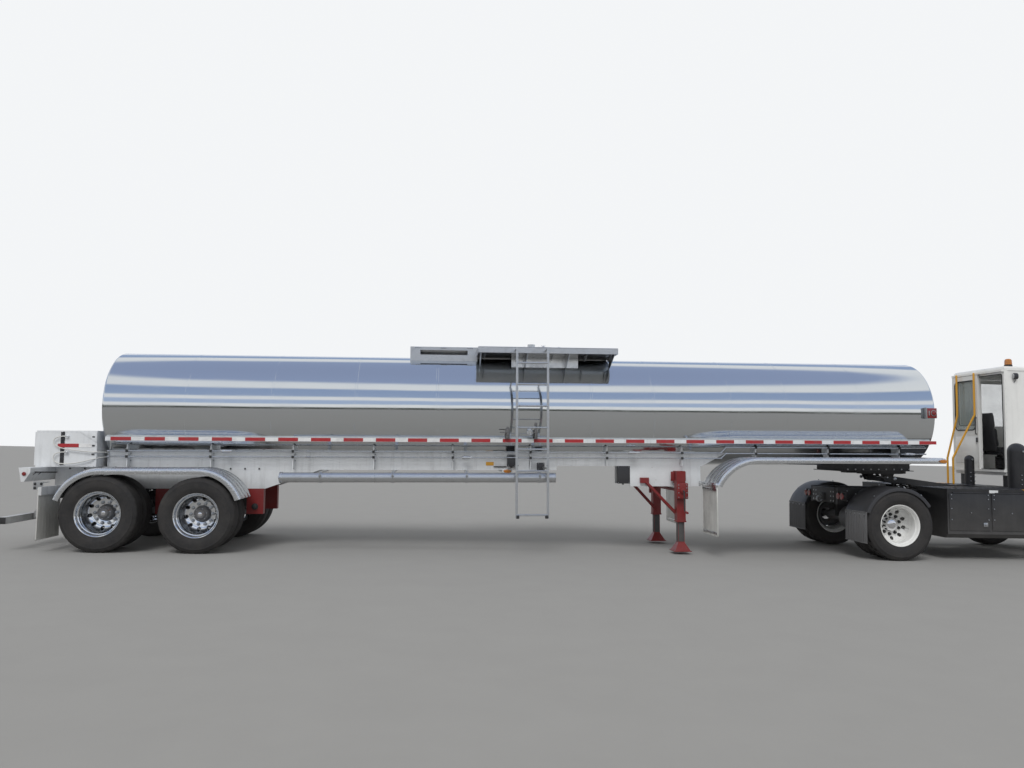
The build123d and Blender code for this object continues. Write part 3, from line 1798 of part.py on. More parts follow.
drive_fender = round_band(
    drive_fender_radius,
    drive_fender_radius + fender_skin,
    drive_fender_inner,
    overall_width / 2,
    drive_x,
    tyre_radius,
    *drive_fender_angles,
)
drive_fender = drive_fender + round_band(
    drive_fender_radius - fender_lip / 3,
    drive_fender_radius + fender_skin,
    overall_width / 2 - fender_skin,
    overall_width / 2,
    drive_x,
    tyre_radius,
    *drive_fender_angles,
)
stay_z = rail_top - rail_web - pipe_radius
for offset in (-drive_fender_radius * 0.35, drive_fender_radius * 0.35):
    stay_height = tyre_radius + sqrt(drive_fender_radius**2 - offset**2) + fender_skin / 2
    stay_reach = drive_fender_inner + fender_lip
    stay_slope = atan2(stay_height - stay_z, stay_reach - rail_outer)
    drive_fender = drive_fender + bar(
        (drive_x + offset, rail_outer + seat_gap + pipe_radius * sin(stay_slope), stay_z),
        (drive_x + offset, stay_reach, stay_height),
        pipe_radius,
    )
flap_angle = radians(180 - drive_fender_angles[0])
drive_flap_x = drive_x + drive_fender_radius * cos(flap_angle)
drive_flap_top = tyre_radius + drive_fender_radius * sin(flap_angle)
drive_flap = block(
    drive_flap_x - flap_thickness,
    drive_flap_x,
    flap_inner,
    flap_outer,
    drive_flap_bottom,
    drive_flap_top,
)
drive_fender = drive_fender + drive_flap
save("tractor_fenders", both(drive_fender))

# Boom: two arms from the pivot shaft up to the fifth wheel's trunnions
trunnion_x = coupling_x + trunnion_drop * sin(nose_up)
trunnion_z = coupling_z - trunnion_drop * cos(nose_up)
boom_slope = atan2(trunnion_z - boom_pivot_height, boom_pivot_x - trunnion_x)
arm_outer = boom_half_width
arm_inner = boom_half_width - boom_arm_width
boom_run = hypot(trunnion_z - boom_pivot_height, boom_pivot_x - trunnion_x)
lift_pin_x = boom_pivot_x - lift_eye_back * cos(boom_slope) - lift_eye_drop * sin(boom_slope)
lift_pin_z = boom_pivot_height + lift_eye_back * sin(boom_slope) - lift_eye_drop * cos(boom_slope)


def boom_arm():
    start = (boom_pivot_x, (arm_inner + arm_outer) / 2, boom_pivot_height)
    stop = (trunnion_x, (arm_inner + arm_outer) / 2, trunnion_z)
    arm = flat_bar(start, stop, boom_depth, boom_arm_width)
    for x, z in ((boom_pivot_x, boom_pivot_height), (trunnion_x, trunnion_z)):
        arm = arm + bar((x, arm_inner, z), (x, arm_outer, z), boom_depth / 2 + boom_boss)
    lug = side_prism(
        [
            (lift_pin_x - lift_bracket, lift_pin_z - lift_bracket),
            (lift_pin_x + lift_bracket, lift_pin_z - lift_bracket),
            (lift_pin_x + 2 * lift_bracket, lift_pin_z + lift_eye_drop),
            (lift_pin_x - 2 * lift_bracket, lift_pin_z + lift_eye_drop),
        ],
        arm_inner,
        arm_outer,
    )
    return arm + lug


boom = boom_arm() + across(boom_arm())
boom = boom + bar((lift_pin_x, -arm_inner, lift_pin_z), (lift_pin_x, arm_inner, lift_pin_z), lift_pin_radius)
tie_x = boom_pivot_x - boom_run * boom_tie_share * cos(boom_slope)
tie_z = boom_pivot_height + boom_run * boom_tie_share * sin(boom_slope)
boom = boom + bar((tie_x, -arm_inner, tie_z), (tie_x, arm_inner, tie_z), boom_depth / 2.5)
for x, z, radius in (
    (boom_pivot_x, boom_pivot_height, boom_pin_radius),
    (trunnion_x, trunnion_z, trunnion_radius),
):
    boom = boom - bar((x, -2 * arm_outer, z), (x, 2 * arm_outer, z), radius + pin_clearance)
save("boom", boom)

# Fifth wheel, made level under the kingpin and then turned to the coupler
plate_top = coupling_z - seat_gap
plate_bottom = plate_top - fifth_wheel_plate
level_trunnion_z = coupling_z - trunnion_drop
half = fifth_wheel_half_width
throat_end_x = coupling_x - fifth_wheel_rear / 4
half_outline = [
    (coupling_x + fifth_wheel_front, half * 0.55),
    (coupling_x + fifth_wheel_front * 0.3, half),
    (coupling_x - fifth_wheel_rear * 0.5, half),
    (coupling_x - fifth_wheel_rear, half * 0.75),
    (coupling_x - fifth_wheel_rear, throat_half_width),
    (throat_end_x, kingpin_radius + 2 * running_gap),
]
other_half = [(x, -y) for x, y in reversed(half_outline)]
fifth_wheel = plan_prism(half_outline + other_half, plate_bottom, plate_top)
kingpin_hole = Cylinder(kingpin_radius + pin_clearance, 4 * fifth_wheel_plate)
fifth_wheel = fifth_wheel - Pos(coupling_x, 0, coupling_z) * kingpin_hole
ear_inner = arm_outer + running_gap
ear_outer = ear_inner + trunnion_ear
for side_name, side in sides:
    y_low, y_high = sorted((side * ear_inner, side * ear_outer))
    trunnion_cheek = side_prism(
        [
            (coupling_x - 4 * trunnion_radius, plate_bottom + 1),
            (coupling_x + 4 * trunnion_radius, plate_bottom + 1),
            (coupling_x + 2 * trunnion_radius, level_trunnion_z - 1.5 * trunnion_radius),
            (coupling_x - 2 * trunnion_radius, level_trunnion_z - 1.5 * trunnion_radius),
        ],
        y_low,
        y_high,
    )
    trunnion = bar(
        (coupling_x, side * arm_inner, level_trunnion_z),
        (coupling_x, side * ear_outer, level_trunnion_z),
        trunnion_radius,
    )
    fifth_wheel = fifth_wheel + trunnion_cheek + trunnion
coupling_axis = Axis((coupling_x, 0, coupling_z), (0, 1, 0))
save("fifth_wheel", fifth_wheel.rotate(coupling_axis, -nose_up_angle))

# Lift cylinders: barrels on the frame's cross pin, rods up to the boom's pin
lift_length = hypot(lift_pin_x - lift_foot_x, lift_pin_z - lift_foot_height)
lift_direction = ((lift_pin_x - lift_foot_x) / lift_length, (lift_pin_z - lift_foot_height) / lift_length)


def along_lift(distance, y):
    x = lift_foot_x + lift_direction[0] * distance
    z = lift_foot_height + lift_direction[1] * distance
    return (x, y, z)


barrels, rods = [], []
for y in (lift_y, -lift_y):
    eye_half = barrel_radius * 0.6
    foot_eye = bar(
        (lift_foot_x, y - eye_half, lift_foot_height),
        (lift_foot_x, y + eye_half, lift_foot_height),
        barrel_radius,
    )
    barrel = bar(along_lift(barrel_start, y), along_lift(lift_length * barrel_share, y), barrel_radius)
    bore = bar(
        along_lift(barrel_start + barrel_wall, y),
        along_lift(lift_length, y),
        lift_rod_radius + pin_clearance,
    )
    pin_bore = bar(
        (lift_foot_x, y - barrel_radius, lift_foot_height),
        (lift_foot_x, y + barrel_radius, lift_foot_height),
        lift_pin_radius + pin_clearance,
    )
    barrels.append((barrel + foot_eye) - bore - pin_bore)
    eye_radius = lift_pin_radius + lift_eye_slack + barrel_wall
    rod = bar(
        along_lift(rod_start, y),
        along_lift(lift_length - lift_pin_radius - lift_eye_slack, y),
        lift_rod_radius,
    )
    eye = bar((lift_pin_x, y - eye_half, lift_pin_z), (lift_pin_x, y + eye_half, lift_pin_z), eye_radius)
    eye_bore = bar(
        (lift_pin_x, y - barrel_radius, lift_pin_z),
        (lift_pin_x, y + barrel_radius, lift_pin_z),
        lift_pin_radius + lift_eye_slack,
    )
    rods.append(rod + eye - eye_bore)
save("lift_barrels", barrels)
save("lift_rods", rods)

# Cab: a hollow shell with a raked screen, and openings for doors and glass
screen_foot_z = window_sill - screen_foot_drop


def cab_solid(inset):
    """The cab's outer form, shrunk by an inset on every side."""
    low, high = cab_floor + inset, cab_roof - inset
    rear, front = cab_rear_x + inset, cab_front_x - inset
    return side_prism(
        [(rear, low), (front, low), (front, screen_foot_z), (front - cab_front_rake, high), (rear, high)],
        cab_right + inset,
        cab_left - inset,
    )


side_door_x = cab_rear_x + side_door_front
sliding_door_left = cab_left - running_gap
sliding_door_right = sliding_door_left - sliding_door_width
doorway_right = cab_right + cab_wall + running_gap
window_margin = cab_wall + window_edge


def cab_windows(grow):
    """Cutters for the screen, the right window and the window in the back."""
    screen = block(
        cab_front_x - cab_front_rake - 2 * cab_wall,
        cab_front_x + cab_wall,
        cab_right + window_margin - grow,
        cab_left - window_margin + grow,
        window_sill - grow,
        window_head + grow,
    )
    right = block(
        cab_rear_x + right_window_lead - grow,
        side_door_x + grow,
        cab_right - cab_wall,
        cab_right + 2 * cab_wall,
        window_sill - grow,
        window_head + grow,
    )
    back = block(
        cab_rear_x - cab_wall,
        cab_rear_x + 2 * cab_wall,
        doorway_right + doorway_width + window_edge - grow,
        cab_left - window_margin + grow,
        window_sill - grow,
        window_head + grow,
    )
    return [screen, right, back]


outer_form = cab_solid(0)
roof_edges = outer_form.edges().filter_by(lambda edge: edge.center().Z > cab_roof - 1)
outer_form = fillet(roof_edges, cab_edge_radius)
cab_shell = outer_form - cab_solid(cab_wall) - cab_windows(0)
doorway = block(
    cab_rear_x - cab_wall,
    cab_rear_x + 2 * cab_wall,
    doorway_right,
    doorway_right + doorway_width,
    sliding_door_bottom + running_gap,
    sliding_door_top - window_edge / 2,
)
side_opening = block(
    side_door_x - side_door_width - panel_gap,
    side_door_x + panel_gap,
    cab_left - 2 * cab_wall,
    cab_left + cab_wall,
    side_door_bottom - panel_gap,
    window_head + side_door_rise + panel_gap,
)
cab_shell = cab_shell - doorway - side_opening
for z_low, z_high in (
    (sliding_door_bottom - door_rail, sliding_door_bottom - seat_gap),
    (sliding_door_top + running_gap, sliding_door_top + door_rail),
):
    cab_shell = cab_shell + block(
        cab_rear_x - sliding_door_thickness - 2 * running_gap,
        cab_rear_x + 1,
        cab_right,
        cab_left,
        z_low,
        z_high,
    )
for y in cab_pivot_ys:
    ear = block(
        cab_pivot_x - lift_bracket,
        cab_pivot_x + lift_bracket,
        y - cab_pivot_half,
        y + cab_pivot_half,
        cab_pivot_height - lift_bracket,
        cab_floor + cab_wall / 2,
    )
    hole = bar(
        (cab_pivot_x, y - cab_pivot_plate - cab_pivot_half, cab_pivot_height),
        (cab_pivot_x, y + cab_pivot_plate + cab_pivot_half, cab_pivot_height),
        cab_pivot_radius + pin_clearance,
    )
    cab_shell = cab_shell + ear - hole

# Side door: a panel in the left wall's opening, hinged at its front edge
door_pin_x = side_door_x + panel_gap / 2
door_pin_y = cab_left + hinge_stand_off
side_door = block(
    side_door_x - side_door_width,
    side_door_x,
    cab_left - cab_wall,
    cab_left,
    side_door_bottom,
    window_head + side_door_rise,
)
side_door = side_door - block(
    side_door_x - side_door_width + window_edge,
    side_door_x - window_edge,
    cab_left - 2 * cab_wall,
    cab_left + cab_wall,
    window_sill,
    window_head,
)
for share in side_hinge_shares:
    z = side_door_bottom + share * (window_head - side_door_bottom)
    pin = Pos(door_pin_x, door_pin_y, z) * Cylinder(hinge_pin_radius, 2 * hinge_length)
    upper = Pos(door_pin_x, door_pin_y, z + hinge_length / 2) * Cylinder(hinge_barrel_radius, hinge_length)
    tab = block(
        door_pin_x, door_pin_x + hinge_reach, cab_left - 1, door_pin_y, z + seat_gap, z + hinge_length
    )
    cab_shell = cab_shell + (pin + upper + tab)
    lower = Pos(
        door_pin_x, door_pin_y, z - hinge_length / 2 - seat_gap
    ) * Cylinder(hinge_barrel_radius, hinge_length)
    arm = block(
        side_door_x - hinge_reach, door_pin_x, cab_left - 1, door_pin_y, z - hinge_length, z - seat_gap
    )
    bore = Pos(door_pin_x, door_pin_y, z) * Cylinder(hinge_pin_radius + pin_clearance, 3 * hinge_length)
    side_door = side_door + (lower + arm - bore)
save("cab_shell", cab_shell)
save("side_door", side_door)

# Sliding rear door, shown open across the left half of the back wall
sliding_door = block(
    cab_rear_x - running_gap - sliding_door_thickness,
    cab_rear_x - running_gap,
    sliding_door_right,
    sliding_door_left,
    sliding_door_bottom,
    sliding_door_top,
)
door_window = block(
    cab_rear_x - 2 * cab_wall,
    cab_rear_x,
    sliding_door_right + window_edge,
    sliding_door_left - window_edge,
    sliding_window_sill,
    window_head - running_gap,
)
door_window = fillet(door_window.edges().filter_by(Axis.X), window_edge)
save("sliding_door", sliding_door - door_window)

# Fixed glass: what a thin inner skin of the cab leaves inside the openings
glass_skin = cab_solid(cab_wall / 2) - cab_solid(cab_wall / 2 + glass_thickness)
panes = []
for opening in cab_windows(-seat_gap):
    panes.append(glass_skin & opening)
save("cab_glass", panes)

# Seat, dashboard with its column, and the steering wheel
floor_top_z = cab_floor + cab_wall
seat_middle = (cab_right + cab_left) / 2 + seat_shift
seat_x = cab_rear_x + seat_lead
seat_low = seat_middle - seat_half_width
seat_high = seat_middle + seat_half_width
cushion = block(
    seat_x,
    seat_x + seat_depth,
    seat_low,
    seat_high,
    floor_top_z + seat_base,
    floor_top_z + seat_base + seat_cushion,
)
cushion = fillet(cushion.edges().filter_by(Axis.Y), seat_round)
backrest = side_prism(
    [
        (seat_x, floor_top_z + seat_base + seat_round),
        (seat_x + seat_back, floor_top_z + seat_base + seat_round),
        (seat_x + seat_back - seat_recline, floor_top_z + seat_base + seat_back_height),
        (seat_x - seat_recline, floor_top_z + seat_base + seat_back_height),
    ],
    seat_low,
    seat_high,
)
pedestal = block(
    seat_x + seat_back,
    seat_x + seat_depth - seat_back,
    seat_low + seat_round * 2,
    seat_high - seat_round * 2,
    floor_top_z + seat_gap,
    floor_top_z + seat_base + 1,
)
save("seat", cushion + backrest + pedestal)

dash_front_x = cab_front_x - cab_wall - seat_gap
dashboard = side_prism(
    [
        (dash_front_x - dash_depth / 2, floor_top_z + seat_gap),
        (dash_front_x, floor_top_z + seat_gap),
        (dash_front_x, window_sill - screen_foot_drop - running_gap),
        (dash_front_x - dash_depth, window_sill - screen_foot_drop - dash_drop),
        (dash_front_x - dash_depth, window_sill - screen_foot_drop - 3 * dash_drop),
    ],
    cab_right + cab_wall + seat_gap,
    cab_left - cab_wall - seat_gap,
)
column_foot = Vector(dash_front_x - dash_depth / 2, seat_middle, screen_foot_z - 2 * dash_drop)
column_way = Vector(-sin(radians(column_angle)), 0, cos(radians(column_angle)))
column_tip = column_foot + column_way * column_length
dashboard = dashboard + bar(tuple(column_foot), tuple(column_tip), column_radius)
stub_tip = column_tip + column_way * steering_hub
dashboard = dashboard + bar(tuple(column_tip - column_way), tuple(stub_tip), steering_stub)
save("dashboard", dashboard)

wheel_plane = Plane(origin=tuple(column_tip + column_way * seat_gap), z_dir=tuple(column_way))
steering_wheel = Pos(0, 0, steering_hub / 2) * Cylinder(column_radius, steering_hub)
steering_wheel = steering_wheel + Pos(0, 0, steering_hub / 2) * Torus(steering_radius, steering_grip)
for number in range(3):
    angle = radians(90 + 120 * number)
    tip = (steering_radius * cos(angle), steering_radius * sin(angle), steering_hub / 2)
    steering_wheel = steering_wheel + bar((0, 0, steering_hub / 2), tip, steering_grip * 0.6)
steering_wheel = steering_wheel - Cylinder(steering_stub + pin_clearance, 4 * steering_hub)
save("steering_wheel", wheel_plane * steering_wheel)

# Cab fittings: beacon, work lamp and the two mirrors on their arms
beacon = Pos(cab_rear_x + beacon_lead, cab_right + beacon_inset, cab_roof + seat_gap + beacon_height / 2)
beacon = beacon * Cylinder(beacon_radius, beacon_height)
work_lamp = bar(
    (cab_rear_x + work_lamp_lead, cab_right - seat_gap - work_lamp_proud, cab_roof - work_lamp_drop),
    (cab_rear_x + work_lamp_lead, cab_right - seat_gap, cab_roof - work_lamp_drop),
    work_lamp_radius,
)
mirror_x = cab_front_x - mirror_inset
left_mirror = block(
    mirror_x,
    mirror_x + mirror_depth,
    cab_left + mirror_stand,
    cab_left + mirror_stand + mirror_slim,
    mirror_low,
    mirror_low + mirror_tall,
)
left_arm = block(
    mirror_x,
    mirror_x + mirror_depth,
    cab_left + seat_gap,
    cab_left + mirror_stand + mirror_slim / 2,
    mirror_low + mirror_tall / 2,
    mirror_low + mirror_tall / 2 + mirror_depth,
)
right_mirror = block(
    mirror_x,
    mirror_x + mirror_depth,
    cab_right - mirror_reach,
    cab_right - mirror_reach + mirror_wide,
    mirror_low,
    mirror_low + mirror_tall,
)
right_arm = block(
    mirror_x,
    mirror_x + mirror_depth,
    cab_right - mirror_reach + mirror_wide / 2,
    cab_right - seat_gap,
    mirror_low + mirror_tall / 2,
    mirror_low + mirror_tall / 2 + mirror_depth,
)
save("cab_fittings", [beacon, work_lamp, left_mirror + left_arm, right_mirror + right_arm])

# Hood over the engine beside the cab, its front slotted as the grille
hood_left = cab_right - hood_gap
hood_front_x = cab_front_x - hood_inset


def hood_form(inset, drop):
    low = hood_bottom - drop
    return side_prism(
        [
            (hood_front_x - hood_length + inset, low),
            (hood_front_x - inset, low),
            (hood_front_x - inset, hood_nose_height - inset),
            (hood_front_x - hood_slope - inset, hood_top - inset),
            (hood_front_x - hood_length + inset, hood_top - inset),
        ],
        inset - hood_outer,
        hood_left - inset,
    )


hood = hood_form(0, 0) - hood_form(hood_wall, hood_wall)
slot_pitch = (hood_nose_height - hood_bottom - 2 * hood_edge) / grille_slots
for number in range(grille_slots):
    z = hood_bottom + hood_edge + number * slot_pitch
    hood = hood - block(
        hood_front_x - 2 * hood_wall,
        hood_front_x + hood_wall,
        hood_edge - hood_outer,
        hood_left - hood_edge,
        z,
        z + slot_pitch / 2,
    )
engine_space = block(
    engine_x - 2 * hood_wall,
    engine_x + engine_length + 2 * hood_wall,
    -engine_width / 2,
    hood_left + 1,
    hood_bottom - hood_wall,
    engine_bottom + engine_height + hood_wall,
)
hood = hood - engine_space
for x, foot_z in (
    (hood_front_x - hood_wall, rail_top + cross_member / 2),
    (hood_front_x - hood_length, rail_top),
):
    hood = hood + block(x, x + hood_wall, -rail_outer, -rail_half_gap, foot_z + seat_gap, hood_bottom + 1)
save("hood", hood)

# Front bumper with its lamp pockets, and the lamps
bumper_outline = [
    (bumper_back_x + seat_gap, -front_bumper_half),
    (nose_x - front_bumper_chamfer, -front_bumper_half),
    (nose_x, front_bumper_chamfer * 2 - front_bumper_half),
    (nose_x, front_bumper_half - front_bumper_chamfer * 2),
    (nose_x - front_bumper_chamfer, front_bumper_half),
    (bumper_back_x + seat_gap, front_bumper_half),
]
front_bumper = plan_prism(bumper_outline, front_bumper_bottom, front_bumper_top)
tow_slot = block(
    nose_x - nose_depth / 2,
    nose_x + 1,
    -front_bumper_slot,
    front_bumper_slot,
    front_bumper_bottom - 1,
    front_bumper_bottom + front_bumper_slot / 2,
)
front_bumper = front_bumper - tow_slot
headlamps = []
for y in headlamp_ys:
    z = (front_bumper_bottom + front_bumper_top) / 2
    for edge in (y, -y):
        pocket = bar((nose_x - headlamp_depth, edge, z), (nose_x + 1, edge, z), headlamp_radius + seat_gap)
        front_bumper = front_bumper - pocket
        headlamps.append(
            bar(
                (nose_x - headlamp_depth + seat_gap, edge, z),
                (nose_x - running_gap, edge, z),
                headlamp_radius,
            )
        )
save("front_bumper", front_bumper)
save("tractor_lamps", headlamps)


# Handrails behind the cab, standing on the deck
def tube_path(points, radius):
    """Straight tubes from point to point with round joints between them."""
    path = Sphere(radius)
    path = Pos(*points[0]) * path
    for start, stop in zip(points, points[1:]):
        path = path + bar(start, stop, radius) + Pos(*stop) * Sphere(radius)
    return path


handrails = []
for y, foot_back in handrail_places:
    x_top = cab_rear_x - handrail_stand
    x_foot = x_top - foot_back
    points = [
        (x_top, y, handrail_top),
        (x_top, y, handrail_bend),
        (x_foot, y + handrail_splay, handrail_knee),
        (x_foot, y + handrail_splay, deck_top + seat_gap + handrail_radius),
    ]
    handrails.append(tube_path(points, handrail_radius))
save("handrails", handrails)
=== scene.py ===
import math

import bpy
from mathutils import Matrix, Vector


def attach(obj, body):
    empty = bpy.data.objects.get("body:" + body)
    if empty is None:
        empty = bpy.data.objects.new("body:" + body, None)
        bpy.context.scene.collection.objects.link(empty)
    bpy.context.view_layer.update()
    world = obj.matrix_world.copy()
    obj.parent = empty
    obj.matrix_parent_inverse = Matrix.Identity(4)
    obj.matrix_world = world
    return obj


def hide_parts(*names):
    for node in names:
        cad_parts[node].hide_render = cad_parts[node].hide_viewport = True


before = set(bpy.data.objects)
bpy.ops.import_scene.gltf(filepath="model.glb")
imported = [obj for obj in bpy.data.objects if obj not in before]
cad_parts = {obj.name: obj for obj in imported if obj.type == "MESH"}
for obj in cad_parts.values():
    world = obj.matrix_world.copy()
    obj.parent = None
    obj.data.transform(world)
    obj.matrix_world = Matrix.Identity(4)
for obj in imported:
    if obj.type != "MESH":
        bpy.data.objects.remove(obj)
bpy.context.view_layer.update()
print("scene: frame loaded,", len(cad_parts), "nodes")

noseUp = math.radians(1.03)          # the trailer stands nose-up on its coupling
frameFace = -0.5205                  # outer face of the right frame rail
bogieCentre = Vector((-6.295, 0.0, 0.505))


def deselectAll():
    if bpy.context.object and bpy.context.object.mode != "OBJECT":
        bpy.ops.object.mode_set(mode="OBJECT")
    bpy.ops.object.select_all(action="DESELECT")


def takeNew(name):
    piece = bpy.context.object
    piece.name = name
    piece.data.name = name
    return piece


def onlyThis(piece):
    deselectAll()
    piece.select_set(True)
    bpy.context.view_layer.objects.active = piece


def editMesh(piece, work, selectAll=True):
    # runs edit-mode operators on one piece
    onlyThis(piece)
    bpy.ops.object.mode_set(mode="EDIT")
    bpy.ops.mesh.select_all(action="SELECT" if selectAll else "DESELECT")
    work()
    bpy.ops.object.mode_set(mode="OBJECT")


def pickFaces(piece, test):
    # selects faces by their place or normal, for the operator that follows
    onlyThis(piece)
    bpy.ops.object.mode_set(mode="EDIT")
    bpy.ops.mesh.select_all(action="DESELECT")
    bpy.ops.mesh.select_mode(type="FACE")
    bpy.ops.object.mode_set(mode="OBJECT")
    for face in piece.data.polygons:
        face.select = bool(test(face))
    bpy.ops.object.mode_set(mode="EDIT")


def settle(piece):
    # puts the place of a piece into its mesh
    onlyThis(piece)
    bpy.ops.object.transform_apply(location=True, rotation=True, scale=True)
    return piece


def applyModifier(piece, kind, settings):
    onlyThis(piece)
    modifier = piece.modifiers.new(kind.title(), kind)
    for key, value in settings.items():
        setattr(modifier, key, value)
    bpy.ops.object.modifier_apply(modifier=modifier.name)
    return piece


def roundEdges(piece, width, segments=2, angle=35):
    return applyModifier(piece, "BEVEL", {"width": width, "segments": segments, "limit_method": "ANGLE",
                                          "angle_limit": math.radians(angle), "harden_normals": False})


def boxPiece(name, low, high, edge=0.004, segments=2):
    deselectAll()
    low, high = Vector(low), Vector(high)
    bpy.ops.mesh.primitive_cube_add(size=1, location=(low + high) / 2)
    piece = takeNew(name)
    piece.scale = high - low
    settle(piece)
    if edge:
        roundEdges(piece, min(edge, 0.45 * min(high - low)), segments)
    return piece


def xDrum(name, start, end, y, z, *rest, **more):
    return drumPiece(name, (start, y, z), (end, y, z), *rest, **more)


def yDrum(name, x, start, end, z, *rest, **more):
    return drumPiece(name, (x, start, z), (x, end, z), *rest, **more)


def zDrum(name, x, y, start, end, *rest, **more):
    return drumPiece(name, (x, y, start), (x, y, end), *rest, **more)


def turnTo(direction):
    return Vector(direction).to_track_quat("Z", "Y").to_euler()


def drumPiece(name, start, end, radius, sides=40, edge=0.0, topRadius=None, segments=2):
    deselectAll()
    start, end = Vector(start), Vector(end)
    bpy.ops.mesh.primitive_cone_add(vertices=sides, radius1=radius,
                                    radius2=radius if topRadius is None else topRadius,
                                    depth=(end - start).length, location=(start + end) / 2,
                                    rotation=turnTo(end - start))
    piece = takeNew(name)
    settle(piece)
    if edge:
        roundEdges(piece, edge, segments, 50)
    return piece


def ringPiece(name, centre, axis, radius, thickness, around=48, tube=12):
    deselectAll()
    bpy.ops.mesh.primitive_torus_add(location=centre, rotation=turnTo(axis), major_radius=radius,
                                     minor_radius=thickness,
                                     major_segments=around, minor_segments=tube)
    return settle(takeNew(name))


def linePiece(name, points):
    # a polyline drawn by extruding one vertex from point to point
    deselectAll()
    bpy.ops.mesh.primitive_plane_add(size=0.01, location=points[0])
    piece = takeNew(name)
    settle(piece)
    onlyThis(piece)
    bpy.ops.object.mode_set(mode="EDIT")
    bpy.ops.mesh.select_mode(type="VERT")
    bpy.ops.mesh.select_all(action="SELECT")
    bpy.ops.mesh.merge(type="CENTER")
    for before, after in zip(points, points[1:]):
        step = Vector(after) - Vector(before)
        bpy.ops.mesh.extrude_region_move(TRANSFORM_OT_translate={"value": step})
    bpy.ops.object.mode_set(mode="OBJECT")
    return piece


def platePiece(name, outline, depth, edge=0.002, segments=2):
    # a closed outline filled and carried along a vector
    piece = linePiece(name, outline)

    def work():
        bpy.ops.mesh.edge_face_add()
        bpy.ops.mesh.extrude_region_move(TRANSFORM_OT_translate={"value": Vector(depth)})
        bpy.ops.mesh.select_all(action="SELECT")
        bpy.ops.mesh.normals_make_consistent(inside=False)

    editMesh(piece, work)
    if edge:
        roundEdges(piece, edge, segments)
    return piece


def spunPiece(name, profile, centre, axis, steps=64, angle=360.0):
    # a profile line turned about an axis
    piece = linePiece(name, profile)

    def work():
        bpy.ops.mesh.spin(steps=steps, angle=math.radians(angle), center=centre, axis=axis)
        bpy.ops.mesh.select_all(action="SELECT")
        bpy.ops.mesh.remove_doubles(threshold=0.00005)
        bpy.ops.mesh.normals_make_consistent(inside=False)

    editMesh(piece, work)
    return piece


def tubePiece(name, points, radius, bend=0.0, bendSteps=6, sides=4):
    # a polyline with rounded bends, made a tube with closed ends
    piece = linePiece(name, points)
    if bend:
        editMesh(piece,
                 lambda: bpy.ops.mesh.bevel(affect="VERTICES", offset=bend, segments=bendSteps, profile=0.5))
    onlyThis(piece)
    bpy.ops.object.convert(target="CURVE")
    piece = bpy.context.object
    piece.data.bevel_depth = radius
    piece.data.bevel_resolution = sides
    piece.data.use_fill_caps = True
    bpy.ops.object.convert(target="MESH")
    piece = takeNew(name)
    editMesh(piece, lambda: (bpy.ops.mesh.remove_doubles(threshold=0.00002),
                             bpy.ops.mesh.normals_make_consistent(inside=False)))
    return piece


def joined(name, pieces):
    deselectAll()
    for piece in pieces:
        piece.select_set(True)
    bpy.context.view_layer.objects.active = pieces[0]
    if len(pieces) > 1:
        bpy.ops.object.join()
    return takeNew(name)


def copied(piece, name, matrix=None):
    twin = piece.copy()
    twin.data = piece.data.copy()
    bpy.context.scene.collection.objects.link(twin)
    twin.name = name
    twin.data.name = name
    if matrix is not None:
        twin.data.transform(matrix)
        if matrix.determinant() < 0:
            twin.data.flip_normals()
    return twin


def across(piece, name):
    return copied(piece, name, Matrix.Scale(-1, 4, (0, 1, 0)))


def squash(piece, centre, factors):
    middle = Matrix.Translation(centre)
    piece.data.transform(middle @ Matrix.Diagonal((*factors, 1)) @ middle.inverted())


def cutBy(piece, cutter):
    applyModifier(piece, "BOOLEAN", {"operation": "DIFFERENCE", "object": cutter, "solver": "EXACT"})
    bpy.data.objects.remove(cutter)
    return piece


def raised(piece):
    # a level trailer piece turned nose-up about the bogie, as the CAD nodes are
    turn = (Matrix.Translation(bogieCentre) @ Matrix.Rotation(-noseUp, 4,
                                                              "Y") @ Matrix.Translation(-bogieCentre))
    piece.data.transform(turn)
    return piece


def raisedPoint(x, y, z):
    dx, dz = x - bogieCentre.x, z - bogieCentre.z
    return Vector((bogieCentre.x + dx * math.cos(noseUp) - dz * math.sin(noseUp), y,
                   bogieCentre.z + dx * math.sin(noseUp) + dz * math.cos(noseUp)))


def wear(piece, body, material, smooth=38, replaces=(), sprung=False):
    # finishes a piece: shading, material, body, and hides the CAD nodes it replaces
    if sprung:
        raised(piece)
    onlyThis(piece)
    if piece.type == "MESH":
        if smooth is None:
            bpy.ops.object.shade_flat()
        else:
            bpy.ops.object.shade_smooth_by_angle(angle=math.radians(smooth))
    piece.data.materials.clear()
    piece.data.materials.append(material)
    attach(piece, body)
    if replaces:
        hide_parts(*replaces)
    return piece


def onTrailer(title, pieces, material, smooth=36, replaces=()):
    return wear(joined(title, pieces), "trailer", material, smooth, replaces, True)


def onCab(title, pieces, material, smooth=40, replaces=()):
    return wear(joined(title, pieces), "cab", material, smooth, replaces)


def onTractor(title, pieces, material, smooth=36):
    return wear(joined(title, pieces), "tractor", material, smooth)


def rightAndLeft(piece, body, material, smooth=36, sprung=True, replaces=()):
    # dresses a piece of the right side and its mirror image
    twin = across(piece, piece.name + "Left")
    wear(piece, body, material, smooth, replaces, sprung)
    wear(twin, body, material, smooth, (), sprung)


def bothSides(title, pieces, material, smooth=36):
    rightAndLeft(joined(title, pieces), "trailer", material, smooth)


def bothTractorSides(title, pieces, material, smooth=36):
    rightAndLeft(joined(title, pieces), "tractor", material, smooth, False)


def dress(nodeName, material):
    # gives a CAD node that stays its better material
    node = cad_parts[nodeName]
    for slotNumber in range(len(node.material_slots)):
        node.material_slots[slotNumber].material = material
    if not node.material_slots:
        node.data.materials.append(material)


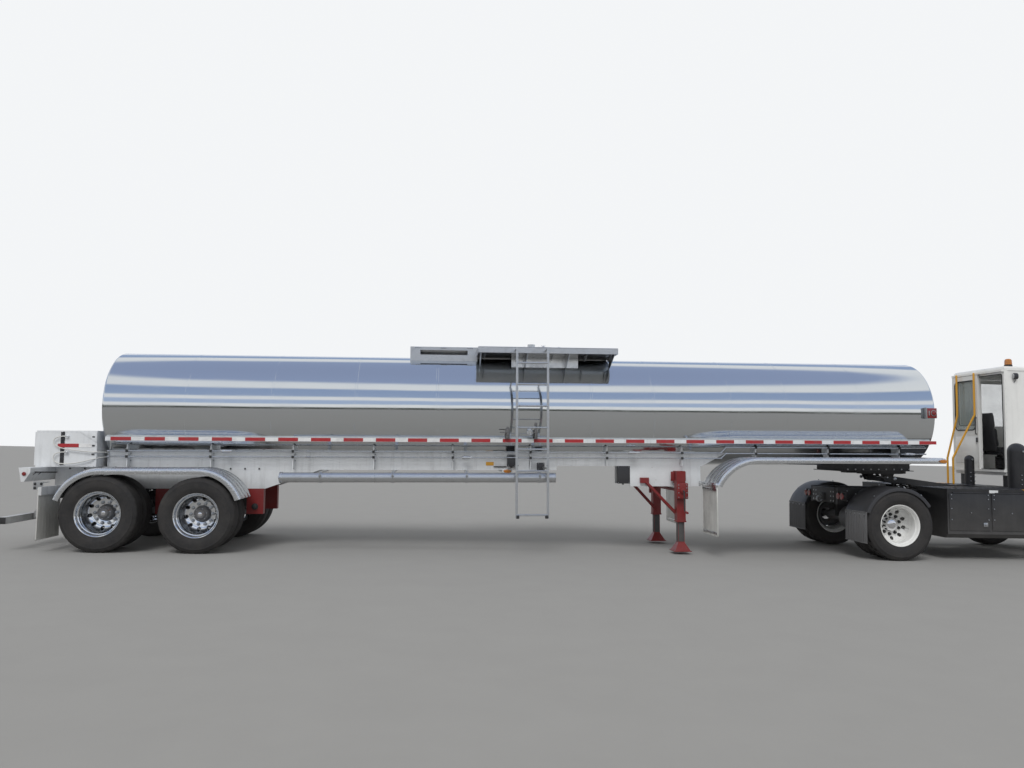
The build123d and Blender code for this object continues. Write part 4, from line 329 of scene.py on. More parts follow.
# shader maths: one class wraps a socket, one wraps a material's tree
class Amount:
    def __init__(self, maker, socket):
        self.maker = maker
        self.socket = socket

    def join(self, operation, other=None, flipped=False, clamp=False):
        first, second = (other, self) if flipped else (self, other)
        inputs = {0: first} if second is None else {0: first, 1: second}
        node = self.maker.node("ShaderNodeMath", {"operation": operation, "use_clamp": clamp}, inputs)
        return Amount(self.maker, node.outputs[0])

    def __add__(self, other):
        return self.join("ADD", other)

    def __radd__(self, other):
        return self.join("ADD", other)

    def __sub__(self, other):
        return self.join("SUBTRACT", other)

    def __rsub__(self, other):
        return self.join("SUBTRACT", other, True)

    def __mul__(self, other):
        return self.join("MULTIPLY", other)

    def __rmul__(self, other):
        return self.join("MULTIPLY", other)

    def held(self):
        # kept between 0 and 1
        return self.join("ADD", 0.0, clamp=True)


class Finish:
    def __init__(self, name):
        self.material = bpy.data.materials.new(name)
        self.material.use_nodes = True
        self.tree = self.material.node_tree
        self.shader = self.tree.nodes["Principled BSDF"]
        self.coords = None

    def node(self, kind, settings=None, inputs=None):
        made = self.tree.nodes.new(kind)
        for key, value in (settings or {}).items():
            if key == "stops":
                ramp = made.color_ramp.elements
                while len(ramp) > 1:
                    ramp.remove(ramp[-1])
                for number, (place, colour) in enumerate(value):
                    stop = ramp[0] if number == 0 else ramp.new(place)
                    stop.position = place
                    stop.color = (*colour, 1.0) if len(colour) == 3 else colour
            else:
                setattr(made, key, value)
        for key, value in (inputs or {}).items():
            socket = made.inputs[key]
            if isinstance(value, Amount):
                self.tree.links.new(value.socket, socket)
            elif isinstance(value, bpy.types.NodeSocket):
                self.tree.links.new(value, socket)
            else:
                socket.default_value = value
        return made

    def place(self, scale=(1, 1, 1), turn=(0, 0, 0)):
        # object coordinates, stretched for a grain or a streak
        if self.coords is None:
            self.coords = self.node("ShaderNodeTexCoord").outputs["Object"]
        return self.node("ShaderNodeMapping", None,
                         {"Vector": self.coords, "Scale": scale, "Rotation": turn}).outputs[0]

    def axis(self, letter):
        self.place()
        parts = self.node("ShaderNodeSeparateXYZ", None, {0: self.coords})
        return Amount(self, parts.outputs["XYZ".index(letter)])

    def noise(self, scale, detail=4, rough=0.55, stretch=(1, 1, 1), distort=0.0):
        made = self.node("ShaderNodeTexNoise", None,
                         {"Vector": self.place(stretch), "Scale": scale, "Detail": detail,
                                                      "Roughness": rough, "Distortion": distort})
        return Amount(self, made.outputs[0])

    def cells(self, scale, stretch=(1, 1, 1), feature="F1", outlet="Distance"):
        made = self.node("ShaderNodeTexVoronoi", {"feature": feature},
                         {"Vector": self.place(stretch), "Scale": scale})
        return Amount(self, made.outputs[outlet])

    def spread(self, amount, low, high, newLow=0.0, newHigh=1.0):
        made = self.node("ShaderNodeMapRange", {"clamp": True},
                         {"Value": amount, "From Min": low, "From Max": high,
                                                                 "To Min": newLow, "To Max": newHigh})
        return Amount(self, made.outputs[0])

    def mix(self, factor, first, second):
        made = self.node("ShaderNodeMix", {"data_type": "RGBA"}, {0: factor})
        for index, colour in ((6, first), (7, second)):
            if isinstance(colour, Amount):
                self.tree.links.new(colour.socket, made.inputs[index])
            else:
                made.inputs[index].default_value = (*colour, 1.0)
        return Amount(self, made.outputs[2])

    def bump(self, height, distance=0.001, strength=1.0, after=None):
        inputs = {"Height": height, "Distance": distance, "Strength": strength}
        if after is not None:
            inputs["Normal"] = after
        return self.node("ShaderNodeBump", None, inputs).outputs[0]

    def give(self, **sockets):
        names = {"color": "Base Color", "roughness": "Roughness", "metallic": "Metallic", "normal": "Normal",
                 "coat": "Coat Weight", "coatRoughness": "Coat Roughness", "alpha": "Alpha", "ior": "IOR",
                 "glow": "Emission Color", "glowStrength": "Emission Strength", "sheen": "Sheen Weight",
                 "specular": "Specular IOR Level", "transmission": "Transmission Weight"}
        for key, value in sockets.items():
            socket = self.shader.inputs[names[key]]
            if isinstance(value, Amount):
                self.tree.links.new(value.socket, socket)
            elif isinstance(value, bpy.types.NodeSocket):
                self.tree.links.new(value, socket)
            elif isinstance(value, tuple) and len(value) == 3:
                socket.default_value = (*value, 1.0)
            else:
                socket.default_value = value
        return self.material


# materials
colours = {
    "jacket": (0.66, 0.68, 0.69), "aluminium": (0.74, 0.75, 0.76), "fenderSkin": (0.66, 0.67, 0.68),
    "white": (0.79, 0.81, 0.83),
    "cabWhite": (0.84, 0.84, 0.82), "black": (0.018, 0.018, 0.02), "red": (0.20, 0.014, 0.014),
    "castGrey": (0.16, 0.16, 0.165), "grey": (0.30, 0.31, 0.32), "rubber": (0.022, 0.022, 0.023),
    "dust": (0.145, 0.14, 0.135),
    "rust": (0.16, 0.06, 0.025), "yellow": (0.72, 0.36, 0.03), "amber": (0.85, 0.30, 0.02),
    "lampRed": (0.36, 0.012, 0.01),
    "tapeRed": (0.36, 0.010, 0.016), "tapeWhite": (0.80, 0.80, 0.80), "glass": (0.40, 0.48, 0.47),
    "hose": (0.74, 0.74, 0.71),
    "seat": (0.02, 0.02, 0.022), "plastic": (0.035, 0.035, 0.038), "flapWhite": (0.70, 0.70, 0.67),
}


def makeJacket():
    # mirror-polished stainless sheet in separate rings, each a little wavy
    f = Finish("jacketSteel")
    across = f.axis("X")
    height = f.axis("Z")
    ring = (across * 0.86).join("FLOOR")
    panel = f.node("ShaderNodeTexWhiteNoise", {"noise_dimensions": "1D"}, {"W": ring})
    panelTone = Amount(f, panel.outputs[0])
    waves = f.noise(0.55, 2, 0.4, (0.8, 1.3, 1.6))
    grain = f.noise(220, 3, 0.6, (0.03, 1, 1))
    streaks = f.spread(f.noise(3.0, 5, 0.65, (2.2, 0.25, 0.25)), 0.45, 0.8)
    low = f.spread(height, 1.75, 1.2)
    grime = (low * streaks * 0.55).held()
    colour = f.mix(grime, colours["jacket"], (0.42, 0.41, 0.39))
    colour = f.mix(f.spread(panelTone, 0, 1, 0.0, 0.10), colour, (0.58, 0.60, 0.62))
    wave = f.bump(waves, 0.020, 0.50)
    fine = f.bump(grain, 0.00004, 0.25, wave)
    rough = f.spread(f.noise(2.2, 4, 0.6), 0.35, 0.75, 0.05, 0.13) + grime * 0.30 + f.spread(panelTone, 0, 1,
                                                                                             0.0, 0.025)
    return f.give(color=colour, metallic=1.0, roughness=rough, normal=fine)


def makeMetal(name, colour, low, high, grainScale=60, grainStretch=(1, 1, 1), dust=0.25, dents=0.0):
    f = Finish(name)
    dirt = f.spread(f.noise(7.0, 6, 0.7), 0.50, 0.85) * dust
    spots = f.spread(f.cells(38), 0.10, 0.02) * 0.35 * dust
    colourOut = f.mix((dirt + spots).held(), colour, colours["dust"])
    rough = f.spread(f.noise(grainScale, 4, 0.6, grainStretch), 0.3, 0.8, low, high) + dirt * 0.3
    normal = f.bump(f.noise(grainScale * 2, 3, 0.5, grainStretch), 0.0002, 0.3)
    if dents:
        normal = f.bump(f.noise(3.2, 2, 0.4), dents, 0.6, normal)
    return f.give(color=colourOut, metallic=f.spread(dirt, 0, 1, 1.0, 0.45), roughness=rough, normal=normal)


def makePaint(name, colour, gloss=0.3, dust=0.35, chips=0.0, under=None, peel=0.00012, coat=0.0, lowSoil=None,
              streak=0.0):
    # brushed or sprayed paint with soil that gathers low down, run marks and chips
    f = Finish(name)
    cloud = f.noise(2.6, 6, 0.68)
    fine = f.noise(28, 5, 0.7)
    soil = f.spread(cloud, 0.42, 0.80) * dust + f.spread(fine, 0.55, 0.85) * dust * 0.5
    if lowSoil:
        soil = soil + f.spread(f.axis("Z"), lowSoil[1], lowSoil[0]) * 0.55 * (0.4 + cloud)
    if streak:
        soil = soil + f.spread(f.noise(14, 4, 0.6, (1, 1, 0.07)), 0.52, 0.75) * streak
    colourOut = f.mix(soil.held(), colour, colours["dust"])
    rough = gloss + soil * 0.4 + (fine - 0.5) * 0.12
    normal = f.bump(f.noise(160, 2, 0.5), peel, 0.4)
    if chips:
        chip = f.spread(f.noise(17, 8, 0.78, distort=0.4), 0.70 - chips * 0.1, 0.74 - chips * 0.1)
        colourOut = f.mix(chip, colourOut, under or colours["rust"])
        rough = rough + chip * 0.3
        normal = f.bump(1 - chip, 0.0003, 0.5, normal)
    return f.give(color=colourOut, roughness=rough.held(), normal=normal, coat=coat, coatRoughness=0.08)


def makeTyre():
    f = Finish("tyreRubber")
    dust = f.spread(f.noise(5, 6, 0.7), 0.35, 0.8, 0.1, 0.75)
    worn = f.spread(f.noise(60, 4, 0.7), 0.4, 0.8)
    colour = f.mix((dust * 0.55 + worn * 0.12).held(), colours["rubber"], (0.11, 0.10, 0.092))
    normal = f.bump(f.noise(300, 3, 0.6), 0.0004, 0.35, f.bump(f.noise(22, 5, 0.7), 0.0008, 0.3))
    return f.give(color=colour, roughness=0.62 + dust * 0.3, normal=normal, specular=0.35)


def makeRubber(name, colour, dust=0.4, ribs=0.0):
    f = Finish(name)
    soil = f.spread(f.noise(6, 6, 0.7, (1, 1, 0.5)), 0.35, 0.8) * dust
    height = f.noise(90, 4, 0.6)
    normal = f.bump(height, 0.0004, 0.4)
    if ribs:
        wave = (f.axis("Y") * ribs).join("SINE")
        normal = f.bump(wave, 0.002, 0.8, normal)
    return f.give(color=f.mix(soil.held(), colour, colours["dust"]), roughness=0.55 + soil * 0.3,
                  normal=normal)


def makeLens(name, colour, facets=150, glow=0.0, alpha=1.0):
    f = Finish(name)
    cells = f.cells(facets, outlet="Distance")
    tone = f.spread(cells, 0.0, 0.6)
    dark = tuple(value * 0.45 for value in colour)
    shade = f.mix(tone, colour, dark)
    return f.give(color=shade, roughness=0.12 + f.noise(20) * 0.1, normal=f.bump(cells, 0.0008, 0.5),
                  coat=0.8,
                  coatRoughness=0.03, glow=colour, glowStrength=glow, alpha=alpha)


def makeGlass():
    f = Finish("windowGlass")
    smear = f.spread(f.noise(3.5, 6, 0.7), 0.45, 0.9)
    return f.give(color=f.mix(smear * 0.4, colours["glass"], (0.55, 0.56, 0.55)),
                  roughness=0.02 + smear * 0.10,
                  alpha=0.24 + smear * 0.14, coat=0.6, coatRoughness=0.02,
                  normal=f.bump(f.noise(1.5, 2), 0.0006, 0.2))


def makeTape(name, colour):
    # prismatic tape: small hexagon cells under a clear skin
    f = Finish(name)
    cell = f.spread(f.cells(420), 0.0, 0.5)
    soil = f.spread(f.noise(9, 6, 0.7), 0.45, 0.85) * 0.45
    base = f.mix(cell * 0.35, colour, tuple(min(1.0, v * 1.5 + 0.05) for v in colour))
    return f.give(color=f.mix(soil, base, colours["dust"]), roughness=0.28 + soil * 0.4, coat=0.5,
                  normal=f.bump(cell, 0.0002, 0.4))


def makeFabric():
    f = Finish("seatCloth")
    weaveX = (f.axis("X") * 2600).join("SINE")
    weaveY = (f.axis("Y") * 2600).join("SINE")
    fuzz = f.noise(240, 4, 0.7)
    colour = f.mix(f.spread(fuzz, 0.3, 0.8), colours["seat"], (0.06, 0.06, 0.065))
    return f.give(color=colour, roughness=0.85 + fuzz * 0.1, sheen=0.25,
                  normal=f.bump(weaveX * weaveY, 0.0003, 0.5, f.bump(fuzz, 0.0006, 0.4)))


jacketSteel = makeJacket()
wheelAluminium = makeMetal("wheelAluminium", colours["aluminium"], 0.10, 0.24, 40, dust=0.30)
fenderAluminium = makeMetal("fenderAluminium", colours["fenderSkin"], 0.16, 0.34, 90, (0.15, 1, 1), 0.22,
                            0.004)
tubeAluminium = makeMetal("tubeAluminium", (0.60, 0.61, 0.62), 0.26, 0.45, 120, (0.1, 1, 1), 0.30, 0.002)
stainless = makeMetal("stainlessPipe", (0.60, 0.61, 0.62), 0.16, 0.32, 150, (0.2, 1, 1), 0.25)
brightSteel = makeMetal("brightSteel", (0.72, 0.72, 0.73), 0.08, 0.20, 80, dust=0.12)
zincSteel = makeMetal("zincSteel", (0.45, 0.46, 0.47), 0.30, 0.50, 70, dust=0.35)
castIron = makePaint("castIron", colours["castGrey"], 0.55, 0.45, 1.0, colours["rust"], 0.0006)
whitePaint = makePaint("whitePaint", colours["white"], 0.32, 0.16, 0.5, (0.20, 0.10, 0.05),
                       lowSoil=(0.55, 1.15), streak=0.22)
cabPaint = makePaint("cabPaint", colours["cabWhite"], 0.22, 0.10, 0.0, coat=0.35, streak=0.10)
blackPaint = makePaint("blackPaint", colours["black"], 0.40, 0.12, 0.2, (0.10, 0.07, 0.05),
                       lowSoil=(0.25, 0.95), streak=0.06)
framePaint = makePaint("framePaint", (0.026, 0.026, 0.027), 0.55, 0.40, 0.5, (0.10, 0.05, 0.03), 0.0003)
redPaint = makePaint("redPaint", colours["red"], 0.42, 0.30, 0.7, (0.10, 0.035, 0.02))
greyPaint = makePaint("greyPaint", colours["grey"], 0.45, 0.30, 0.4, (0.14, 0.07, 0.04))
yellowPaint = makePaint("yellowPaint", colours["yellow"], 0.30, 0.12, 0.5, (0.10, 0.09, 0.08))
tyreRubber = makeTyre()
flapRubber = makeRubber("flapRubber", colours["flapWhite"], 0.45)
greyFlap = makeRubber("greyFlap", (0.16, 0.16, 0.165), 0.5, 90)
sealRubber = makeRubber("sealRubber", (0.025, 0.025, 0.026), 0.2)
hoseSkin = makeRubber("hoseSkin", colours["hose"], 0.25)
plasticBlack = makePaint("plasticBlack", colours["plastic"], 0.48, 0.15, 0.0, peel=0.0005)
seatCloth = makeFabric()
redLens = makeLens("redLens", colours["lampRed"])
amberLens = makeLens("amberLens", colours["amber"])
clearLens = makeLens("clearLens", (0.70, 0.72, 0.74), 90)
windowGlass = makeGlass()
tapeRed = makeTape("tapeRed", colours["tapeRed"])
tapeWhite = makeTape("tapeWhite", colours["tapeWhite"])
print("scene: materials made")


# camera, light and floor
view = {"place": (-2.4175, -11.95, 1.5), "yaw": 5.05, "pitch": 4.75, "roll": 1.292, "focalPixels": 770.0}
yaw, pitch, roll = (math.radians(view[key]) for key in ("yaw", "pitch", "roll"))
forward = Vector((math.sin(yaw) * math.cos(pitch), math.cos(yaw) * math.cos(pitch), math.sin(pitch)))
level = Vector((math.cos(yaw), -math.sin(yaw), 0.0))
upright = level.cross(forward)
right = level * math.cos(roll) + upright * math.sin(roll)
upward = upright * math.cos(roll) - level * math.sin(roll)
cameraData = bpy.data.cameras.new("photoCamera")
cameraData.sensor_width = 36.0
cameraData.lens = view["focalPixels"] / 1024 * 36.0
cameraData.clip_end = 400
photoCamera = bpy.data.objects.new("photoCamera", cameraData)
bpy.context.scene.collection.objects.link(photoCamera)
turn = Matrix((right, upward, -forward)).transposed().to_4x4()
photoCamera.matrix_world = Matrix.Translation(view["place"]) @ turn
bpy.context.scene.camera = photoCamera
bpy.context.scene.view_settings.view_transform = "Standard"

studio = {"worldStrength": 0.62, "sunStrength": 1.5, "sunAngle": 28.0, "floorColour": (0.34, 0.335, 0.325)}
world = bpy.data.worlds.new("studioWorld")
bpy.context.scene.world = world
world.use_nodes = True
tree = world.node_tree
tree.nodes.clear()


def skyNode(kind, inputs=None, operation=None):
    # a node of the world with its values and links
    made = tree.nodes.new(kind)
    if operation:
        made.operation = operation
    for key, value in (inputs or {}).items():
        if isinstance(value, bpy.types.NodeSocket):
            tree.links.new(value, made.inputs[key])
        else:
            made.inputs[key].default_value = value
    return made


# height of the view ray from 0 to 1, with blue and white bands that only mirrors see
coords = skyNode("ShaderNodeTexCoord")
parts = skyNode("ShaderNodeSeparateXYZ", {0: coords.outputs["Generated"]})
half = skyNode("ShaderNodeMath", {0: parts.outputs[2], 1: 0.5, 2: 0.5}, "MULTIPLY_ADD")
sky = skyNode("ShaderNodeValToRGB", {0: half.outputs[0]})
bands = ((0.0, 0.30, 0.29, 0.27), (0.492, 0.42, 0.41, 0.39), (0.499, 0.07, 0.075, 0.07),
         (0.522, 0.09, 0.10, 0.09),
         (0.532, 0.90, 0.91, 0.92), (0.575, 0.93, 0.94, 0.95), (0.590, 0.45, 0.56, 0.76),
         (0.645, 0.48, 0.58, 0.78),
         (0.660, 0.92, 0.93, 0.95), (0.700, 0.88, 0.90, 0.93), (0.716, 0.36, 0.46, 0.66),
         (0.820, 0.33, 0.43, 0.64),
         (0.838, 0.90, 0.92, 0.94), (0.900, 0.86, 0.89, 0.93), (0.925, 0.34, 0.42, 0.62),
         (1.0, 0.32, 0.39, 0.58))
ramp = sky.color_ramp.elements
ramp.remove(ramp[-1])
for number, (place, *colour) in enumerate(bands):
    stop = ramp[0] if number == 0 else ramp.new(place)
    stop.position = place
    stop.color = (*colour, 1.0)
path = skyNode("ShaderNodeLightPath")
plain = skyNode("ShaderNodeBackground", {0: (0.93, 0.94, 0.95, 1), 1: studio["worldStrength"]})
shown = skyNode("ShaderNodeBackground", {0: (0.90, 0.915, 0.93, 1), 1: 1.0})
mirrored = skyNode("ShaderNodeBackground", {0: sky.outputs[0], 1: 1.0})
glossy = skyNode("ShaderNodeMixShader",
                 {0: path.outputs["Is Glossy Ray"], 1: plain.outputs[0], 2: mirrored.outputs[0]})
either = skyNode("ShaderNodeMath", {0: path.outputs["Is Camera Ray"], 1: path.outputs["Is Transmission Ray"]},
                 "MAXIMUM")
final = skyNode("ShaderNodeMixShader", {0: either.outputs[0], 1: glossy.outputs[0], 2: shown.outputs[0]})
skyNode("ShaderNodeOutputWorld", {0: final.outputs[0]})

sunData = bpy.data.lights.new("softSun", "SUN")
sunData.energy = studio["sunStrength"]
sunData.angle = math.radians(studio["sunAngle"])
softSun = bpy.data.objects.new("softSun", sunData)
softSun.rotation_euler = (math.radians(38), math.radians(-14), 0.0)
bpy.context.scene.collection.objects.link(softSun)
softSun.visible_glossy = False

deselectAll()
bpy.ops.mesh.primitive_plane_add(size=240, location=(0, 0, -0.001))
floor = takeNew("studioFloor")
settle(floor)
f = Finish("floorGrey")
speck = f.noise(2.0, 6, 0.6)
f.give(color=f.mix(f.spread(speck, 0.3, 0.7), studio["floorColour"],
                   tuple(v * 0.965 for v in studio["floorColour"])),
       roughness=0.92, specular=0.2)
floor.data.materials.append(f.material)
print("scene: camera, light and floor set")


# tank jacket: rolled rings with narrow lap seams, and dished heads
tank = {"rear": -7.1104, "front": 5.0996, "axisHeight": 1.975, "radius": 0.815, "rim": 0.024, "dish": 0.055,
        "seams": (-5.99, -4.81, -3.64, -2.48, -1.32, -0.22, 0.71, 1.88, 2.74, 3.88), "lap": 0.016,
        "step": 0.0012, "around": 288}


def tankProfile():
    t = tank
    points = []
    for number in range(9):
        angle = math.radians(90 * number / 8)
        points.append((t["rear"] - t["dish"] * math.cos(angle), (t["radius"] - t["rim"]) * math.sin(angle)))
    for number in range(1, 7):
        angle = math.radians(15 * number)
        points.append((t["rear"] + t["rim"] * (1 - math.cos(angle)),
                       t["radius"] - t["rim"] * (1 - math.sin(angle))))
    for x in t["seams"]:
        low, high = t["radius"] - 0.0001, t["radius"] + t["step"]
        points += [(x - t["lap"], low), (x - t["lap"] + 0.002, high), (x + t["lap"] - 0.002, high),
                   (x + t["lap"], low)]
    for number in range(0, 7):
        angle = math.radians(15 * (6 - number))
        points.append((t["front"] - t["rim"] * (1 - math.cos(angle)),
                       t["radius"] - t["rim"] * (1 - math.sin(angle))))
    for number in range(8, -1, -1):
        angle = math.radians(90 * number / 8)
        points.append((t["front"] + t["dish"] * math.cos(angle), (t["radius"] - t["rim"]) * math.sin(angle)))
    return [(x, 0.0, t["axisHeight"] + max(r, 0.0003)) for x, r in points]


jacket = spunPiece("jacket", tankProfile(), (0, 0, tank["axisHeight"]), (1, 0, 0), tank["around"])
wear(jacket, "trailer", jacketSteel, 25, ["tank"], sprung=True)

# head rings: a weld bead round each end
for label, x, side in (("rear", tank["rear"], -1), ("front", tank["front"], 1)):
    bead = ringPiece(label + "HeadBead", (x + side * 0.006, 0, tank["axisHeight"]), (1, 0, 0), 0.778, 0.006,
                     160, 8)
    wear(bead, "trailer", brightSteel, 40, sprung=True)


# marker tape on the strip rail, on both sides
tape = {"first": -7.014, "period": 0.4575, "red": 0.279, "count": 27, "height": 0.050, "z": 1.519,
        "y": 0.7198,
        "bareFrom": 14, "bareTo": 23}


def makeTapeRow(name, start, length, numbers):
    pieces = []
    for number in numbers:
        x = tape["first"] + tape["period"] * number + start
        pieces.append(boxPiece(name, (x + 0.0015, -tape["y"] - 0.0016, tape["z"] - tape["height"] / 2),
                               (x + length - 0.0015, -tape["y"], tape["z"] + tape["height"] / 2), 0.0006, 1))
    return joined(name, pieces)


redTape = makeTapeRow("redTape", 0.0, tape["red"], range(tape["count"]))
whiteNumbers = [n for n in range(tape["count"] - 1) if not tape["bareFrom"] <= n < tape["bareTo"]]
whiteTape = makeTapeRow("whiteTape", tape["red"], tape["period"] - tape["red"], whiteNumbers)
for piece, material in ((redTape, tapeRed), (whiteTape, tapeWhite)):
    rightAndLeft(piece, "trailer", material, 30)
print("scene: jacket and tape made")


# tyres: one ribbed and one lugged tyre, copied to every place
tyre = {"ribbed": 96, "lugged": 60, "grooves": (0.018, 0.058), "grooveDepth": 0.012}


def tyreProfile(withGrooves):
    half = [(0.2925, 0.1012), (0.3015, 0.1015), (0.3035, 0.1085), (0.3140, 0.1150), (0.3290, 0.1182),
            (0.3330, 0.1212),
            (0.3385, 0.1215), (0.3420, 0.1240), (0.3700, 0.1292), (0.4000, 0.1308), (0.4240, 0.1303),
            (0.4420, 0.1280),
            (0.4450, 0.1290), (0.4520, 0.1280), (0.4560, 0.1235), (0.4790, 0.1150), (0.4920, 0.1060),
            (0.4990, 0.0985),
            (0.5030, 0.0900)]
    tread = [(0.5040, 0.0800)]
    if withGrooves:
        for y in reversed(tyre["grooves"]):
            deep = 0.5045 - tyre["grooveDepth"]
            tread += [(0.5045, y + 0.006), (deep, y + 0.0045), (deep, y - 0.0045), (0.5048, y - 0.006)]
    else:
        tread += [(0.5045, 0.045), (0.5048, 0.020)]
    tread.append((0.5050, 0.0))
    upper = half + tread
    lower = [(r, -y) for r, y in reversed(upper[:-1])]
    return [(0.0, y, r) for r, y in upper + lower] + [(0.0, 0.1012, 0.2925)]


def angleOf(face):
    return math.atan2(face.center.z, face.center.x) % (2 * math.pi)


ribbedTyre = spunPiece("ribbedTyre", tyreProfile(True), (0, 0, 0), (0, 1, 0), tyre["ribbed"])
pickFaces(ribbedTyre, lambda face: 0.086 < abs(face.center.y) < 0.1165 and face.center.xz.length > 0.484
          and int(angleOf(face) / (2 * math.pi) * tyre["ribbed"]) % 3 == 0)
bpy.ops.mesh.extrude_region_shrink_fatten(TRANSFORM_OT_shrink_fatten={"value": -0.004})
bpy.ops.object.mode_set(mode="OBJECT")

luggedTyre = spunPiece("luggedTyre", tyreProfile(False), (0, 0, 0), (0, 1, 0), tyre["lugged"])


def isGap(face):
    number = int(angleOf(face) / (2 * math.pi) * tyre["lugged"])
    row = 0 if abs(face.center.y) > 0.045 else 1
    side = 1 if face.center.y > 0 else 0
    return face.center.xz.length > 0.494 and abs(face.center.y) < 0.101 and (number + row + side) % 3 == 0


pickFaces(luggedTyre, isGap)
bpy.ops.mesh.extrude_region_shrink_fatten(TRANSFORM_OT_shrink_fatten={"value": -0.013})
bpy.ops.object.mode_set(mode="OBJECT")
print("scene: tyres made", len(ribbedTyre.data.polygons), len(luggedTyre.data.polygons))


# wheels: the right-hand piece is made at the origin, with its outer face toward -Y
wheel = {"holeCircle": 0.205, "holeRadius": 0.027, "nutCircle": 0.143, "count": 10, "around": 80}
barrelProfile = [
    (0.1040, 0.2920), (0.1045, 0.2985), (0.1080, 0.3008), (0.1130, 0.3010), (0.1158, 0.2990),
    (0.1160, 0.2945), (0.1125, 0.2895),
    (0.1060, 0.2835), (0.0850, 0.2755), (0.0720, 0.2725), (0.0660, 0.2680), (0.0620, 0.2590),
    (0.0400, 0.2560), (-0.0400, 0.2560),
    (-0.0620, 0.2590), (-0.0660, 0.2680), (-0.0850, 0.2755), (-0.1060, 0.2835), (-0.1125, 0.2895),
    (-0.1160, 0.2945),
    (-0.1158, 0.2990), (-0.1130, 0.3010), (-0.1080, 0.3008), (-0.1045, 0.2985), (-0.1040, 0.2920),
    (-0.0850, 0.2850),
    (-0.0700, 0.2800), (-0.0640, 0.2680), (0.0, 0.2650), (0.0640, 0.2680), (0.0700, 0.2800), (0.0850, 0.2850)]
discProfile = [
    (-0.0300, 0.2568), (-0.0700, 0.2535), (-0.0980, 0.2450), (-0.1220, 0.2310), (-0.1400, 0.2130),
    (-0.1520, 0.1930),
    (-0.1580, 0.1790), (-0.1600, 0.1680), (-0.1600, 0.1085), (-0.1680, 0.1085), (-0.1680, 0.1740),
    (-0.1630, 0.1920),
    (-0.1510, 0.2170), (-0.1300, 0.2400), (-0.1050, 0.2530), (-0.0700, 0.2600), (-0.0300, 0.2600)]


def closedSpin(name, profile, steps):
    # profile of (outward, radius) pairs about the wheel's axis
    points = [(0.0, -out, radius) for out, radius in profile + profile[:1]]
    return spunPiece(name, points, (0, 0, 0), (0, 1, 0), steps)


def ringPlaces(count, circle, first=0.0):
    for number in range(count):
        angle = 2 * math.pi * (number + first) / count
        yield circle * math.cos(angle), circle * math.sin(angle)


def makeWheelMetal(name, holeRadius):
    barrel = closedSpin(name + "Barrel", barrelProfile, wheel["around"])
    disc = closedSpin(name + "Disc", discProfile, wheel["around"])
    drills = [yDrum("drill", x, 0.05, 0.25, z, holeRadius, 24)
              for x, z in ringPlaces(wheel["count"], wheel["holeCircle"], 0.5)]
    cutBy(disc, joined("drill", drills))
    roundEdges(disc, 0.0018, 2, 32)
    return joined(name, [barrel, disc])


def makeNuts(name, face, circle, count, size, height):
    # flanged hexagon nuts on studs; the face looks toward -Y
    pieces = []
    for x, z in ringPlaces(count, circle, 0.25):
        pieces.append(yDrum(name, x, face, face - 0.004, z, size * 0.72, 18))
        pieces.append(yDrum(name, x, face - 0.004, face - height, z, size * 0.58, 6, 0.0012))
        pieces.append(yDrum(name, x, face - height, face - height - 0.010, z, size * 0.30, 10, 0.001))
    return joined(name, pieces)


wheelPart = makeWheelMetal("wheelPart", wheel["holeRadius"])
trailerNuts = makeNuts("trailerNuts", 0.160, wheel["nutCircle"], wheel["count"], 0.034, 0.030)
valveStem = tubePiece("valveStem", [(0.19, 0.150, 0.055), (0.198, 0.120, 0.057), (0.215, 0.045, 0.062)],
                      0.0042, 0.01, 4, 3)
capPin = tubePiece("capPin", [(0.215, 0.045, 0.062), (0.2165, 0.030, 0.0622)], 0.0058, 0, 4, 3)
valveStem = joined("valveStem", [valveStem, capPin])

# hubs: (outward from the dual face, radius), turned into a barrel with its cap
trailerHubProfile = [(-0.010, 0.1080), (0.012, 0.1080), (0.014, 0.1050), (0.040, 0.1030), (0.052, 0.1000),
                     (0.056, 0.0920),
                     (0.058, 0.0905), (0.068, 0.0900), (0.070, 0.0870), (0.073, 0.0720), (0.080, 0.0670),
                     (0.094, 0.0590),
                     (0.1015, 0.0480), (0.1025, 0.0400), (0.1000, 0.0340), (0.1000, 0.0)]
driveHubProfile = [(-0.010, 0.1080), (0.012, 0.1080), (0.016, 0.1040), (0.060, 0.1000), (0.070, 0.0940),
                   (0.086, 0.0800),
                   (0.0955, 0.0600), (0.1005, 0.0380), (0.1025, 0.0200), (0.1030, 0.0)]


def makeHub(name, profile):
    points = [(0.0, -out, max(radius, 0.0002)) for out, radius in [(-0.010, 0.0)] + profile]
    return spunPiece(name, points, (0, 0, 0), (0, 1, 0), 56)


trailerHub = makeHub("trailerHub", trailerHubProfile)
hubBolts = makeNuts("hubBolts", -0.068, 0.078, 6, 0.0125, 0.006)
hubWindow = yDrum("hubWindow", 0, -0.099, -0.1045, 0, 0.030, 32, 0.003)
driveHub = makeHub("driveHub", driveHubProfile)
brakeDrum = closedSpin("brakeDrum",
                       [(-0.012, 0.100), (-0.012, 0.198), (-0.030, 0.204), (-0.044, 0.204), (-0.050, 0.199),
                                     (-0.150, 0.199), (-0.156, 0.204), (-0.178, 0.204), (-0.180, 0.190),
                                     (-0.030, 0.188),
                                     (-0.024, 0.100)], 64)
print("scene: wheel parts made", len(wheelPart.data.polygons), len(trailerHub.data.polygons))

